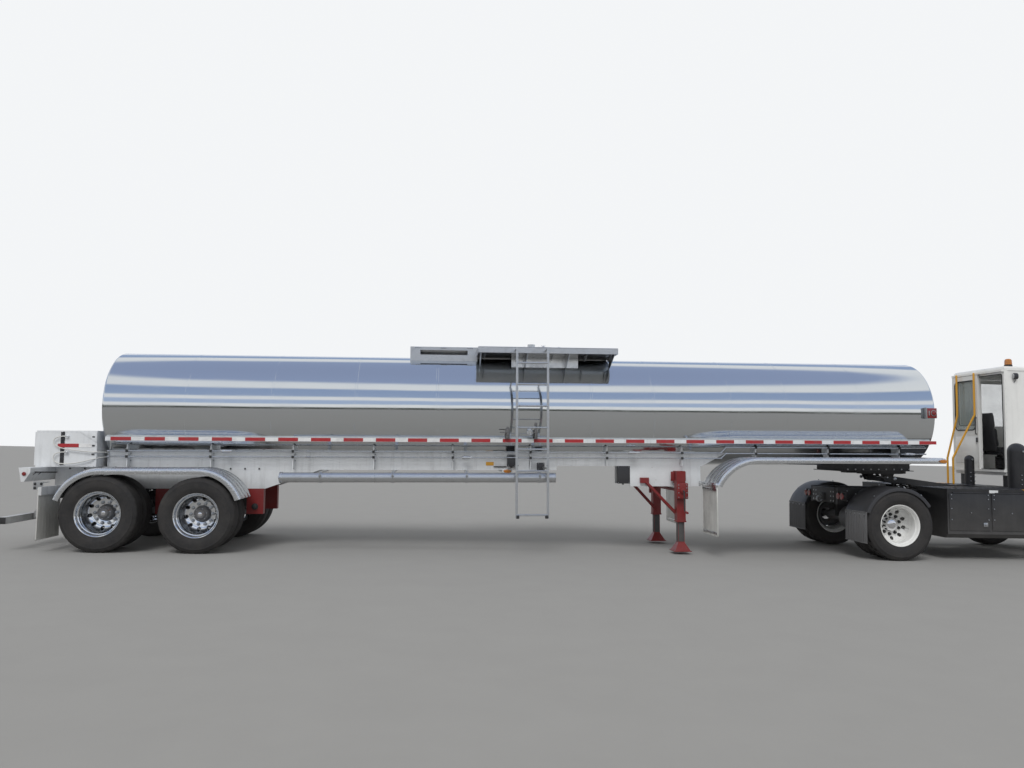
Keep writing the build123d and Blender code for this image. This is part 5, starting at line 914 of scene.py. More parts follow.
wheels = {"tyreHeight": 0.505, "outerY": 1.119, "innerY": 0.783, "faceY": 0.951, "steerY": 1.010}
axles = {"rear_axle": {"x": -6.9254, "side": "rear_wheels", "paint": wheelAluminium, "trailer": True},
         "front_axle": {"x": -5.6654, "side": "front_wheels", "paint": wheelAluminium, "trailer": True},
         "drive": {"x": 4.2176, "side": "drive_wheels", "paint": cabPaint, "trailer": False}}
axleXs = [axles[key]["x"] for key in ("rear_axle", "front_axle")]
flip = Matrix.Scale(-1, 4, (0, 1, 0))


def atWheel(piece, name, x, y, side, turned=False, roll=0.0):
    # copies a right-hand piece to a wheel: turned faces it the other way, side -1 mirrors it to the left
    place = Matrix.Rotation(math.radians(roll), 4, "Y")
    if turned:
        place = flip @ place
    place = Matrix.Translation((x, -y, wheels["tyreHeight"])) @ place
    if side == "left":
        place = flip @ place
    return copied(piece, name, place)


def makeDual(label, spec, sideName):
    x = spec["x"]
    body = spec["side"] + "_" + sideName
    title = label.replace("_axle", "Axle") + sideName.title()
    rolls = {"outer": 7.0 if spec["trailer"] else 31.0, "inner": 25.0}
    rubber = ribbedTyre if spec["trailer"] else luggedTyre
    tyres = [atWheel(rubber, "rubber", x, wheels["outerY"], sideName, False, rolls["outer"]),
             atWheel(rubber, "rubber", x, wheels["innerY"], sideName, True, rolls["inner"])]
    rubberPiece = joined(title + "Tyres", tyres)
    wear(rubberPiece, body, tyreRubber, 32, ["tyres_" + label + "_" + sideName])
    metals = [atWheel(wheelPart, "metal", x, wheels["outerY"], sideName, False, rolls["outer"]),
              atWheel(wheelPart, "metal", x, wheels["innerY"], sideName, True, rolls["outer"])]
    metal = joined(title + "Wheels", metals)
    wear(metal, body, spec["paint"], 34, ["wheels_" + label + "_" + sideName])
    nuts = atWheel(trailerNuts, title + "Nuts", x, wheels["outerY"], sideName, False, rolls["outer"])
    wear(nuts, body, zincSteel if spec["trailer"] else framePaint, 30)
    stem = atWheel(valveStem, title + "Valve", x, wheels["outerY"], sideName, False, rolls["outer"])
    wear(stem, body, brightSteel, 40)
    drum = atWheel(brakeDrum, title + "Drum", x, wheels["faceY"], sideName)
    wear(drum, body, castIron, 34)
    if spec["trailer"]:
        hub = atWheel(trailerHub, title + "Hub", x, wheels["faceY"], sideName)
        bolts = atWheel(hubBolts, title + "HubBolts", x, wheels["faceY"], sideName)
        window = atWheel(hubWindow, title + "HubWindow", x, wheels["faceY"], sideName)
        wear(hub, body, castIron, 34)
        wear(bolts, body, zincSteel, 30)
        wear(window, body, brightSteel, 34)
    else:
        hub = atWheel(driveHub, title + "Hub", x, wheels["faceY"], sideName)
        wear(hub, body, brightSteel, 40)


for label, spec in axles.items():
    for sideName in ("left", "right"):
        makeDual(label, spec, sideName)

# steer wheels: the same disc turned the other way, its face outward
steerX = 7.2146
for sideName in ("left", "right"):
    body = "steer_wheel_" + sideName
    title = "steer" + sideName.title()
    rubber = atWheel(ribbedTyre, title + "Tyre", steerX, wheels["steerY"], sideName, True, 12)
    wear(rubber, body, tyreRubber, 32, ["tyre_steer_" + sideName])
    metal = atWheel(wheelPart, title + "Wheel", steerX, wheels["steerY"], sideName, True, 12)
    wear(metal, body, cabPaint, 34, ["wheel_steer_" + sideName])
    hub = atWheel(trailerHub, title + "Hub", steerX, wheels["steerY"] + 0.168, sideName)
    wear(hub, body, castIron, 34)
    nuts = atWheel(trailerNuts, title + "Nuts", steerX, wheels["steerY"] + 0.328, sideName)
    wear(nuts, body, framePaint, 30)
    drum = atWheel(brakeDrum, title + "Drum", steerX, wheels["steerY"] + 0.156, sideName)
    wear(drum, body, castIron, 34)
for spare in (ribbedTyre, luggedTyre, wheelPart, trailerNuts, valveStem, trailerHub, hubBolts, hubWindow,
              driveHub, brakeDrum):
    bpy.data.objects.remove(spare)
print("scene: wheels made")


# trailer fenders: rolled sheet with four ribs, a deep side lip and a beaded edge
fenderSheet = {"inner": 0.640, "outer": 1.250, "lip": 0.074, "ribs": 4, "ribHeight": 0.009, "ribHalf": 0.024,
               "skin": 0.004,
               "arcSteps": 20}


def fenderSection():
    # (y, height over the skin) from the outer lip across to the inner lip
    s = fenderSheet
    low = -s["lip"]
    section = [(s["outer"] - 0.012, low + 0.002), (s["outer"] - 0.009, low - 0.004),
               (s["outer"] - 0.003, low - 0.004),
               (s["outer"], low + 0.004), (s["outer"], -0.020), (s["outer"] - 0.003, -0.010),
               (s["outer"] - 0.009, -0.003),
               (s["outer"] - 0.018, 0.0)]
    pitch = (s["outer"] - s["inner"]) / s["ribs"]
    for number in range(s["ribs"]):
        middle = s["outer"] - (number + 0.5) * pitch
        for share, height in ((1.0, 0.0), (0.72, 0.35), (0.45, 0.85), (0.2, 1.0), (-0.2, 1.0), (-0.45, 0.85),
                              (-0.72, 0.35),
                              (-1.0, 0.0)):
            section.append((middle + share * s["ribHalf"], height * s["ribHeight"]))
    section += [(s["inner"] + 0.012, 0.0), (s["inner"] + 0.004, -0.004), (s["inner"], -0.012),
                (s["inner"], low)]
    return section


def makeFender(name, rearX, frontX, z, radius, rearAngle, frontAngle=None):
    start = math.radians(rearAngle)
    points = [(rearX - (radius + h) * math.cos(start), -y, z + (radius + h) * math.sin(start)) for y,
              h in fenderSection()]
    sheet = linePiece(name, points)
    steps = fenderSheet["arcSteps"]
    onlyThis(sheet)
    bpy.ops.object.mode_set(mode="EDIT")
    bpy.ops.mesh.select_all(action="SELECT")
    bpy.ops.mesh.spin(steps=steps, angle=math.radians(90 - rearAngle), center=(rearX, 0, z), axis=(0, -1, 0))
    bpy.ops.mesh.extrude_region_move(TRANSFORM_OT_translate={"value": (frontX - rearX, 0, 0)})
    if frontAngle is not None:
        bpy.ops.mesh.spin(steps=steps, angle=math.radians(90 - frontAngle), center=(frontX, 0, z),
                          axis=(0, -1, 0))
    bpy.ops.mesh.select_all(action="SELECT")
    bpy.ops.mesh.remove_doubles(threshold=0.00005)
    bpy.ops.mesh.normals_make_consistent(inside=False)
    bpy.ops.object.mode_set(mode="OBJECT")
    applyModifier(sheet, "SOLIDIFY", {"thickness": fenderSheet["skin"], "offset": -1.0})
    return sheet


def makeStay(name, x, z, root=0.515):
    # a bolted tube from the frame or the tank with its clamp plate and three saddles on top
    tube = yDrum(name, x, -root, -1.235, z, 0.019, 16)
    lug = boxPiece(name, (x - 0.045, -root - 0.017, z - 0.045), (x + 0.045, -root - 0.006, z + 0.045), 0.003)
    saddles = [boxPiece(name, (x - 0.030, -y - 0.022, z + 0.008), (x + 0.030, -y + 0.022, z + 0.028), 0.004)
               for y in (0.70, 0.93, 1.17)]
    return joined(name, [tube, lug] + saddles)


rearFender = makeFender("rearFender", *axleXs, wheels["tyreHeight"], 0.612, 20, 20)
frontFender = makeFender("frontFender", 2.1196, 4.9396, 0.585, 0.700, 27)
rearStays = joined("rearFenderStays", [makeStay("stay", x, 1.080) for x in axleXs])
# x of each front stay, and the y at which it leaves the tank or the coupler
frontRoots = {2.402: 0.365, 3.530: 0.365, 4.658: 0.436}
frontStays = joined("frontFenderStays", [makeStay("stay", x, 1.248, root) for x, root in frontRoots.items()])
boltPlaces = [(x, -y, 1.117) for x in axleXs for y in (0.716, 1.175)]
boltPlaces += [(x, -y, 1.285) for x in frontRoots for y in (0.716, 1.175)]
fenderBolts = joined("fenderBolts", [zDrum("bolt", x, y, z - 0.004, z + 0.012, 0.011, 6, 0.0015)
                                     for x, y, z in boltPlaces])
rightAndLeft(rearFender, "trailer", fenderAluminium, 35, replaces=["trailer_fenders"])
for piece, material, slotName in ((rearStays, whitePaint, "white_paint"),
                                  (frontFender, fenderAluminium, "bright_aluminium"),
                                  (frontStays, whitePaint, "white_paint"),
                                  (fenderBolts, framePaint, "black_paint")):
    rightAndLeft(piece, "trailer", material, 35)
print("scene: fenders made", len(rearFender.data.polygons))


# service hoses out of the rear cabinet: the same points as the CAD route
hoseRadius = 0.0075
hoseRoutes = {
    "rear_hose_upper": [(-7.5754, -0.790, 1.548), (-7.7334, -0.790, 1.548), (-7.7334, -0.790, 1.400),
                        (-7.4004, -0.790, 1.345),
                        (-7.1054, -0.790, 1.325), (-7.1054, -0.550, 1.325)],
    "rear_hose_lower": [(-7.5754, -0.790, 1.330), (-7.7304, -0.790, 1.330), (-7.7304, -0.790, 1.178),
                        (-7.4804, -0.790, 1.160),
                        (-7.1054, -0.790, 1.262), (-7.1054, -0.550, 1.262)],
}


def makeCord(name, points, radius):
    # a smooth line with the route's points as its control points
    curve = bpy.data.curves.new(name, "CURVE")
    curve.dimensions = "3D"
    curve.bevel_depth = radius
    curve.bevel_resolution = 5
    curve.resolution_u = 20
    curve.use_fill_caps = True
    spline = curve.splines.new("NURBS")
    spline.points.add(len(points) - 1)
    for control, point in zip(spline.points, points):
        control.co = (*point, 1.0)
    spline.order_u = 3
    spline.use_endpoint_u = True
    piece = bpy.data.objects.new(name, curve)
    bpy.context.scene.collection.objects.link(piece)
    return piece


hoseNuts = []
for nodeName, points in hoseRoutes.items():
    title = "rearHose" + nodeName.split("_")[-1].title()
    route = [raisedPoint(*point) for point in points]
    hose = makeCord(title, route, hoseRadius)
    hose.data.materials.append(hoseSkin)
    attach(hose, "trailer")
    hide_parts(nodeName)
    exitX, y, z = points[0]
    hoseNuts.append(xDrum("nut", exitX + 0.012, exitX + 0.001, y, z, 0.0155, 6, 0.0015))
    endX, endY, endZ = points[-1]
    hoseNuts.append(yDrum("nut", endX, endY + 0.010, endY, endZ, 0.0155, 6, 0.0015))
onTrailer("hoseNuts", hoseNuts, brightSteel, 30)
print("scene: service hoses made")


# everything that repeats along the frame stands at its ribs
ribPlaces = [-6.8224 + 1.143 * number for number in range(11)]
lines = {"y": 0.6366, "heights": ((1.351, 1.435), (1.270, 1.343)), "radius": 0.010, "rear": -7.05,
         "front": 5.03,
         "jogRear": 1.7796, "jogFront": 1.8596}
frameSteps = {"slim": -0.70, "clips": 1.52}


# two thin pipes under the tape, in clamps, with couplings and dark clips
def lineHeight(pair, x):
    return pair[0] if x < lines["jogRear"] else pair[1]


pipeRuns, clamps = [], []
for pair in lines["heights"]:
    runs = ((lines["rear"], pair[0], lines["jogRear"], pair[0]),
            (lines["jogRear"], pair[0], lines["jogFront"], pair[1]),
            (lines["jogFront"], pair[1], lines["front"], pair[1]))
    for rearX, rearZ, frontX, frontZ in runs:
        pipeRuns.append(drumPiece("pipe", (rearX, -lines["y"], rearZ), (frontX, -lines["y"], frontZ),
                                  lines["radius"], 20, 0.002))
    for x in ribPlaces[2::3]:
        z = lineHeight(pair, x)
        pipeRuns.append(xDrum("coupling", x + 0.20, x + 0.25, -lines["y"], z, 0.0145, 20, 0.002))
        pipeRuns.append(xDrum("couplingNut", x + 0.185, x + 0.20, -lines["y"], z, 0.0160, 6, 0.0015))
    for x, z in ((lines["jogRear"], pair[0]), (lines["jogFront"], pair[1])):
        pipeRuns.append(xDrum("elbow", x - 0.016, x + 0.016, -lines["y"], z, 0.0145, 20, 0.005, segments=3))
    for x in ribPlaces:
        z = lineHeight(pair, x)
        clamps.append(boxPiece("clamp", (x - 0.014, -lines["y"] - 0.014, z - 0.018),
                               (x + 0.022, -lines["y"] + 0.012, z + 0.018), 0.005))
        clamps.append(yDrum("clampBolt", x + 0.004, -lines["y"] - 0.012, -lines["y"] - 0.024, z, 0.008, 6))
bothSides("pipeRuns", pipeRuns, stainless)
bothSides("pipeClamps", clamps, sealRubber)


def makeValve(name, x, z, handle=0.10):
    # a ball valve on a pipe with its stem and a lever
    y = -lines["y"]
    body = xDrum(name, x - 0.045, x + 0.045, y, z, 0.026, 24, 0.005)
    nuts = [xDrum(name, x + side * 0.045, x + side * 0.062, y, z, 0.024, 6, 0.002) for side in (-1, 1)]
    stem = yDrum(name, x, y, y - 0.045, z, 0.010, 14, 0.002)
    lever = boxPiece(name, (x - 0.010, y - 0.050, z - 0.012), (x + handle, y - 0.044, z + 0.012), 0.003)
    return joined(name, [body, stem, lever] + nuts)


valveSet = joined("frameValves", [makeValve("valve", -5.47, 1.351), makeValve("valve", -2.05, 1.270, 0.08),
                                  makeValve("valve", 0.42, 1.351), makeValve("valve", 4.76, 1.343, 0.07)])
wear(valveSet, "trailer", brightSteel, 36, sprung=True)

# junction and control boxes hung on the frame, with lids, screws and cable glands
# x, z, width, height, depth, back face
hungBoxes = ((-1.445, 1.144, 0.12, 0.165, 0.10, 0.522), (-1.000, 1.090, 0.10, 0.105, 0.10, 0.522),
             (0.222, 0.891, 0.185, 0.257, 0.07, 0.440))
boxShells, boxScrews = [], []
for x, z, width, height, depth, back in hungBoxes:
    face = -back - depth
    boxShells.append(boxPiece("shell", (x, face, z), (x + width, -back, z + height), 0.010, 3))
    boxShells.append(boxPiece("lid", (x - 0.004, face - 0.010, z - 0.004),
                              (x + width + 0.004, face, z + height + 0.004), 0.006, 2))
    boxShells.append(zDrum("gland", x + width / 2, face + depth / 2, z - 0.022, z, 0.014, 12, 0.002))
    for dx in (0.012, width - 0.012):
        for dz in (0.012, height - 0.012):
            boxScrews.append(yDrum("screw", x + dx, face - 0.010, face - 0.015, z + dz, 0.0055, 8, 0.001))
onTrailer("hungBoxes", boxShells, plasticBlack)
onTrailer("hungBoxScrews", boxScrews, zincSteel)
yellowTag = boxPiece("yellowTag", (-1.755, -0.5235, 1.152), (-1.640, frameFace, 1.205), 0.001, 1)
wear(yellowTag, "trailer", yellowPaint, 36, sprung=True)

# a gusset with bolt heads at each rib of the rail
gussets, gussetBolts = [], []
for x in ribPlaces:
    if x > frameSteps["clips"]:
        continue
    low = 1.112 if x < frameSteps["slim"] else 1.176
    outline = [(x - 0.004, frameFace, low), (x - 0.004, -0.626, 1.300), (x - 0.004, -0.626, 1.425),
               (x - 0.004, -0.560, 1.425),
               (x - 0.004, frameFace, 1.345)]
    gussets.append(platePiece("gusset", outline, (-0.004, 0, 0), 0.001, 1))
    for z in (1.215, 1.310):
        gussetBolts.append(yDrum("gussetBolt", x + 0.020, -0.5205, -0.532, z, 0.0095, 6, 0.001))
bothSides("ribGussets", gussets, whitePaint)
bothSides("ribBolts", gussetBolts, zincSteel, 30)

# oval side markers, the tag's strap and the lamp box at the front of the tank
def ovalPiece(name, x, y, z, wide, tall, depth):
    ring = [(x + wide * math.cos(math.radians(angle)), y, z + tall * math.sin(math.radians(angle)))
            for angle in range(0, 360, 12)]
    return platePiece(name, ring, (0, -depth, 0), 0.003, 2)


markerPlaces = ((-1.4354, -0.5206, 1.070), (4.8946, -1.2506, 1.245))
markers = [ovalPiece("marker", x, y - 0.004, z, 0.060, 0.026, 0.012) for x, y, z in markerPlaces]
plates = [ovalPiece("bezel", x, y, z, 0.078, 0.040, 0.006) for x, y, z in markerPlaces[:1]]
plates.append(boxPiece("bracket", (-1.505, -0.5265, 1.075), (-1.365, -0.5206, 1.112), 0.002))
bothSides("sideMarkers", markers, amberLens)
bothSides("markerPlates", plates, whitePaint)
wear(boxPiece("tagStrap", (-1.640, -0.540, 1.128), (-1.450, -0.522, 1.142)), "trailer", sealRubber,
     36, sprung=True)
lampBox = {"rear": 4.925, "front": 5.088, "face": -0.872, "back": -0.8165, "low": 1.890, "top": 2.045}
frontLampBox = boxPiece("frontLampBox", (lampBox["rear"], lampBox["face"], lampBox["low"]),
                        (lampBox["front"], lampBox["back"], lampBox["top"]), 0.010, 3)
wear(frontLampBox, "trailer", redLens, 36, sprung=True)
lensX, lensZ = lampBox["front"] - 0.055, (lampBox["low"] + lampBox["top"]) / 2
frontLenses = [yDrum("lens", lensX, lampBox["face"] + 0.002, lampBox["face"] - 0.016, lensZ, 0.036, 32, 0.008,
                     segments=3)]
onTrailer("frontLampLens", frontLenses, redLens)
frontFrames = [ringPiece("frame", (lensX, lampBox["face"] - 0.001, lensZ), (0, 1, 0), 0.041, 0.005, 40, 8),
               boxPiece("bar", (lampBox["rear"] + 0.026, lampBox["face"] - 0.008, lensZ - 0.036),
                        (lampBox["rear"] + 0.040, lampBox["face"] + 0.002, lensZ + 0.036), 0.003),
               boxPiece("edge", (lampBox["rear"] - 0.010, lampBox["face"] - 0.003, lampBox["low"] - 0.008),
                        (lampBox["rear"] + 0.004, lampBox["back"], lampBox["top"] + 0.008), 0.003)]
onTrailer("frontLampFrames", frontFrames, greyPaint)

# valves and a pressure gauge on the strip beside the ladder
sideValves = [zDrum("body", -1.457, -0.768, 1.552, 1.688, 0.030, 28, 0.006, segments=3),
              zDrum("bonnet", -1.457, -0.768, 1.688, 1.715, 0.019, 6, 0.003),
              yDrum("port", -1.457, -0.738, -0.808, 1.610, 0.018, 20, 0.003),
              boxPiece("lever", (-1.575, -0.812, 1.630), (-1.462, -0.804, 1.646), 0.003),
              zDrum("column", -1.045, -0.775, 1.552, 1.745, 0.017, 20, 0.003),
              zDrum("head", -1.045, -0.775, 1.735, 1.785, 0.026, 6, 0.004),
              xDrum("tee", -1.045, -1.125, -0.775, 1.640, 0.012, 16, 0.002)]
for x, y in ((-1.457, 0.768), (-1.045, 0.775)):
    sideValves.append(boxPiece("foot", (x - 0.034, -y - 0.020, 1.546), (x + 0.034, -0.700, 1.554), 0.002))
onTrailer("sideValves", sideValves, castIron)
gauge = [yDrum("case", -1.134, -0.762, -0.796, 1.640, 0.040, 40, 0.004),
         ringPiece("rim", (-1.134, -0.796, 1.640), (0, 1, 0), 0.038, 0.004, 40, 8)]
onTrailer("gaugeCase", gauge, brightSteel)
wear(yDrum("gaugeFace", -1.134, -0.7965, -0.7975, 1.640, 0.033, 32), "trailer", clearLens, 36,
     sprung=True)
dress("frame_rails", whitePaint)
dress("pipework", stainless)
print("scene: frame details made")


# rear lamps: ribbed red lenses in rubber grommets on the light bar, and a red side lamp at each end
lampFaceX, lampHeight, lampRadius = -7.9515, 1.032, 0.052


def makeLamp(name, x, y, z, radius, facing=-1, depth=0.014):
    # a domed lens facing along X, with rings moulded in it
    start, end = Vector((x, y, z)), Vector((x + facing * depth, y, z))
    lens = drumPiece(name, start, end, radius, 40, depth * 0.6, segments=4)
    rings = [ringPiece(name, end, (1, 0, 0), radius * share, 0.0016, 40, 6) for share in (0.3, 0.55)]
    return joined(name, [lens] + rings)


redLenses, grommets = [], []
for y in (-1.080, -0.940, -0.130, 0.0, 0.130, 0.940, 1.080):
    radius = lampRadius if abs(y) > 0.5 else 0.030
    redLenses.append(makeLamp("lens", lampFaceX + 0.004, y, lampHeight, radius))
    grommets.append(ringPiece("grommet", (lampFaceX, y, lampHeight), (1, 0, 0), radius + 0.004, 0.0075, 44,
                              10))
for side in (-1, 1):
    redLenses.append(yDrum("sideLamp", -7.891, side * 1.1905, side * 1.204, 1.045, 0.026, 28, 0.005,
                           segments=3))
onTrailer("rearLenses", redLenses, redLens, 40, ["trailer_lamps"])
onTrailer("rearGrommets", grommets, sealRubber, 40)

# lamp pigtails and the harness behind the bar
harness = [tubePiece("pigtail", [(-7.89, y, 1.032), (-7.845, y, 1.02), (-7.800, y * 0.985, 1.06)], 0.004,
                     0.02, 4, 3)
           for y in (-1.080, -0.940, 0.940, 1.080)]
harness.append(tubePiece("harness",
                         [(-7.800, -1.10, 1.065), (-7.800, -0.60, 1.045), (-7.800, 0.60, 1.045),
                          (-7.800, 1.10, 1.065)],
                         0.008, 0.10, 6, 3))
onTrailer("rearHarness", harness, sealRubber, 50)

# four-bolt plates that carry the flap bar, on both sides of the light bar
plates, plateBolts = [], []
for side in (-1, 1):
    y = side * 1.160
    plates.append(boxPiece("plate", (-7.785, min(y, y + side * 0.006), 0.835),
                           (-7.655, max(y, y + side * 0.006), 0.945), 0.002))
    plates.append(boxPiece("angle", (-7.785, min(y, y - side * 0.16), 0.925),
                           (-7.655, max(y, y - side * 0.16), 0.933), 0.002))
    for x in (-7.760, -7.680):
        for z in (0.858, 0.912):
            plateBolts.append(yDrum("bolt", x, y + side * 0.006, y + side * 0.009, z, 0.018, 20, 0.001))
            plateBolts.append(yDrum("bolt", x, y + side * 0.009, y + side * 0.021, z, 0.0125, 6, 0.0015))
onTrailer("flapPlates", plates, greyPaint)
onTrailer("flapPlateBolts", plateBolts, framePaint, 30)

# mudflaps: rubber sheets with a stiff hem, a clamp bar with bolts and a weight strip
flapSheets, flapBars, flapBolts = [], [], []
for x, top, bottom, lowY in ((-7.6745, 0.870, 0.180, 0.655), (1.4915, 0.866, 0.172, 0.655)):
    middle = (bottom + top) / 2
    sheet = boxPiece("sheet", (x - 0.004, -1.245, bottom), (x + 0.004, -lowY, top), 0.003)
    editMesh(sheet, lambda: bpy.ops.mesh.subdivide(number_cuts=6))
    hems = [boxPiece("hem", (x - 0.007, -1.249, bottom), (x + 0.007, -1.235, top), 0.003),
            boxPiece("hem", (x - 0.007, -lowY - 0.010, bottom), (x + 0.007, -lowY + 0.003, top), 0.003),
            boxPiece("hem", (x - 0.007, -1.249, bottom), (x + 0.007, -lowY, bottom + 0.014), 0.003)]
    ribs = [boxPiece("rib", (x - 0.006, y - 0.004, bottom + 0.03), (x + 0.006, y + 0.004, middle), 0.002)
            for y in (-0.80, -0.875, -0.95, -1.025, -1.10)]
    flapSheets += [sheet] + hems + ribs
    flapBars.append(boxPiece("bar", (x - 0.014, -1.246, top - 0.055), (x - 0.007, -lowY, top - 0.010), 0.002))
    flapBars.append(boxPiece("bar", (x - 0.012, -1.240, bottom + 0.030),
                             (x - 0.007, -lowY - 0.01, bottom + 0.062), 0.002))
    for number in range(6):
        y = -1.215 + number * 0.104
        flapBolts.append(xDrum("bolt", x - 0.014, x - 0.023, y, top - 0.032, 0.009, 6, 0.001))
flap = joined("flapSheets", flapSheets)
bar = joined("flapBars", flapBars)
bolts = joined("flapBolts", flapBolts)
rightAndLeft(flap, "trailer", flapRubber, replaces=["mudflaps"])
rightAndLeft(bar, "trailer", fenderAluminium)
rightAndLeft(bolts, "trailer", framePaint)

# bumper: end caps and a strip of tape pieces on its rear face
bumper = {"rear": -8.1652, "front": -8.0752, "low": 0.390, "high": 0.480, "half": 1.210}
caps = [boxPiece("cap", (bumper["rear"] + 0.002, side * bumper["half"] - 0.004, bumper["low"] + 0.002),
                 (bumper["front"] - 0.002, side * bumper["half"] + 0.004, bumper["high"] - 0.002), 0.004)
                 for side in (-1, 1)]
onTrailer("bumperCaps", caps, sealRubber)
for title, start, material in (("bumperRed", 0, tapeRed), ("bumperWhite", 1, tapeWhite)):
    pieces = []
    for number in range(start, 10, 2):
        y = -1.16 + number * 0.232
        pieces.append(boxPiece("tape", (bumper["rear"] - 0.0014, y, bumper["low"] + 0.020),
                               (bumper["rear"], y + 0.230, bumper["high"] - 0.020), 0.0005, 1))
    onTrailer(title, pieces, material, 30)

# bogie plates: bolt rows along the top edge, pivot bolts and a blank oval plate
bogieBolts = []
for number in range(14):
    x = -7.62 + number * 0.20
    bogieBolts.append(yDrum("bolt", x, -0.5205, -0.534, 1.098, 0.0125, 6, 0.0015))
for x in (-6.325, -5.065):
    bogieBolts.append(yDrum("pivot", x, -0.5205, -0.533, 0.560, 0.045, 32, 0.003))
    bogieBolts.append(yDrum("pivotNut", x, -0.533, -0.565, 0.560, 0.030, 6, 0.003))
bogieBolts.append(yDrum("plug", -7.44, -0.5205, -0.545, 1.000, 0.026, 6, 0.003))
bothSides("bogieBolts", bogieBolts, framePaint, 30)
oval = yDrum("bogieOval", -7.27, -0.5208, -0.5235, 0.985, 0.055, 48, 0.001)
squash(oval, (-7.27, 0, 0.985), (1.45, 1, 0.80))
wear(oval, "trailer", greyPaint, 36, sprung=True)

# air springs and brake chambers that show behind the wheels
springs, chambers = [], []
for axleX in axleXs:
    for side in (-1, 1):
        y = side * 0.465
        x = axleX - 0.330
        for number in range(3):
            z = 0.600 + number * 0.062
            springs.append(ringPiece("bellow", (x, y, z), (0, 0, 1), 0.098, 0.032, 40, 12))
        chambers.append(drumPiece("chamber", (axleX + 0.16, side * 0.36, 0.56),
                                  (axleX + 0.34, side * 0.36, 0.62), 0.082, 32, 0.012))
        chambers.append(ringPiece("band", (axleX + 0.25, side * 0.36, 0.59), (0.18, 0, 0.06), 0.084, 0.009,
                                  40, 8))
onTrailer("airSprings", springs, sealRubber, 45)
onTrailer("brakeChambers", chambers, framePaint)
for nodeName, material in (("bogie_frame", whitePaint), ("rear_guard", whitePaint),
                           ("trailer_axles", castIron), ("suspension_hangers", redPaint),
                           ("cabinet", whitePaint),
                           ("cabinet_door", whitePaint)):
    dress(nodeName, material)
print("scene: tail and bogie details made")


# cabinet: a thin dark strip as painted shade of the slot in its side, with latches on it; tape piece, corner
# bracket, clips, rivets and door hardware
# painted shade: this dark sheet stands for the shadow in the slot on the cabinet's side
cabinetTrim = [boxPiece("slotShadeStrip", (-7.655, -0.7625, 1.150), (-7.600, -0.7602, 1.610), 0.001, 1)]
for z in (1.24, 1.50):
    cabinetTrim.append(boxPiece("latch", (-7.650, -0.775, z - 0.030), (-7.605, -0.7625, z + 0.030), 0.005))
    cabinetTrim.append(yDrum("latchPin", -7.628, -0.775, -0.782, z, 0.010, 20, 0.002))
for z in (1.30, 1.42, 1.54):
    cabinetTrim.append(boxPiece("clip", (-7.235, -0.772, z - 0.010), (-7.200, -0.7602, z + 0.010), 0.003))
onTrailer("cabinetTrim", cabinetTrim, plasticBlack)
bracketOutline = [(-7.395, -0.7605, 1.605), (-7.175, -0.7605, 1.605), (-7.175, -0.7605, 1.460)]
bracket = platePiece("cornerBracket", bracketOutline, (0, -0.008, 0), 0.002)
rivets = [yDrum("rivet", x, -0.7605, -0.7655, z, 0.0075, 12, 0.002)
          for x,
          z in [(-7.95 + 0.062 * n, 1.140) for n in range(13)] + [(-7.95 + 0.062 * n, 1.610)
                                                                  for n in range(13)]]
wear(bracket, "trailer", whitePaint, 36, sprung=True)
bothSides("cabinetRivets", rivets, whitePaint, 40)
cabinetRed = boxPiece("cabinetRed", (-7.690, -0.7640, 1.395), (-7.412, -0.7604, 1.445), 0.0006, 1)
cabinetWhite = boxPiece("cabinetWhite", (-7.410, -0.7640, 1.395), (-7.235, -0.7604, 1.445), 0.0006, 1)
wear(cabinetRed, "trailer", tapeRed, 30, sprung=True)
wear(cabinetWhite, "trailer", tapeWhite, 30, sprung=True)
doorTrim = [boxPiece("stiffener", (-8.0065, y - 0.025, 1.19), (-8.0010, y + 0.025, 1.56), 0.003)
            for y in (-0.40, 0.05, 0.50)]
doorTrim.append(boxPiece("keeper", (-8.0150, -0.665, 1.335), (-8.0010, -0.585, 1.415), 0.004))
wear(joined("doorTrim", doorTrim), "cabinet_door", whitePaint, 36, sprung=True)
doorHandle = joined("doorHandle",
                    [tubePiece("grip",
                               [(-8.004, -0.655, 1.30), (-8.030, -0.655, 1.30), (-8.030, -0.655, 1.45),
                                                      (-8.004, -0.655, 1.45)], 0.006, 0.012, 4, 3),
                                   xDrum("lock", -8.001, -8.020, -0.55, 1.375, 0.018, 24, 0.003)])
wear(doorHandle, "cabinet_door", brightSteel, 40, sprung=True)
doorSeal = joined("doorSeal",
                  [boxPiece("seal", (-7.9765, -0.738, z - 0.006), (-7.9725, 0.738, z + 0.006), 0.002)
                               for z in (1.155, 1.595)])
wear(doorSeal, "cabinet_door", sealRubber, 36, sprung=True)
outletClamp = joined("outletClamp",
                     [ringPiece("clampBand", (-7.50, 0, 1.335), (1, 0, 0), 0.063, 0.008, 48, 10),
                                     zDrum("wingStud", -7.50, -0.070, 1.30, 1.385, 0.006, 12),
                                     boxPiece("wing", (-7.505, -0.085, 1.380), (-7.495, -0.055, 1.400),
                                              0.003)])
wear(outletClamp, "trailer", brightSteel, 40, sprung=True)
print("scene: cabinet details made")
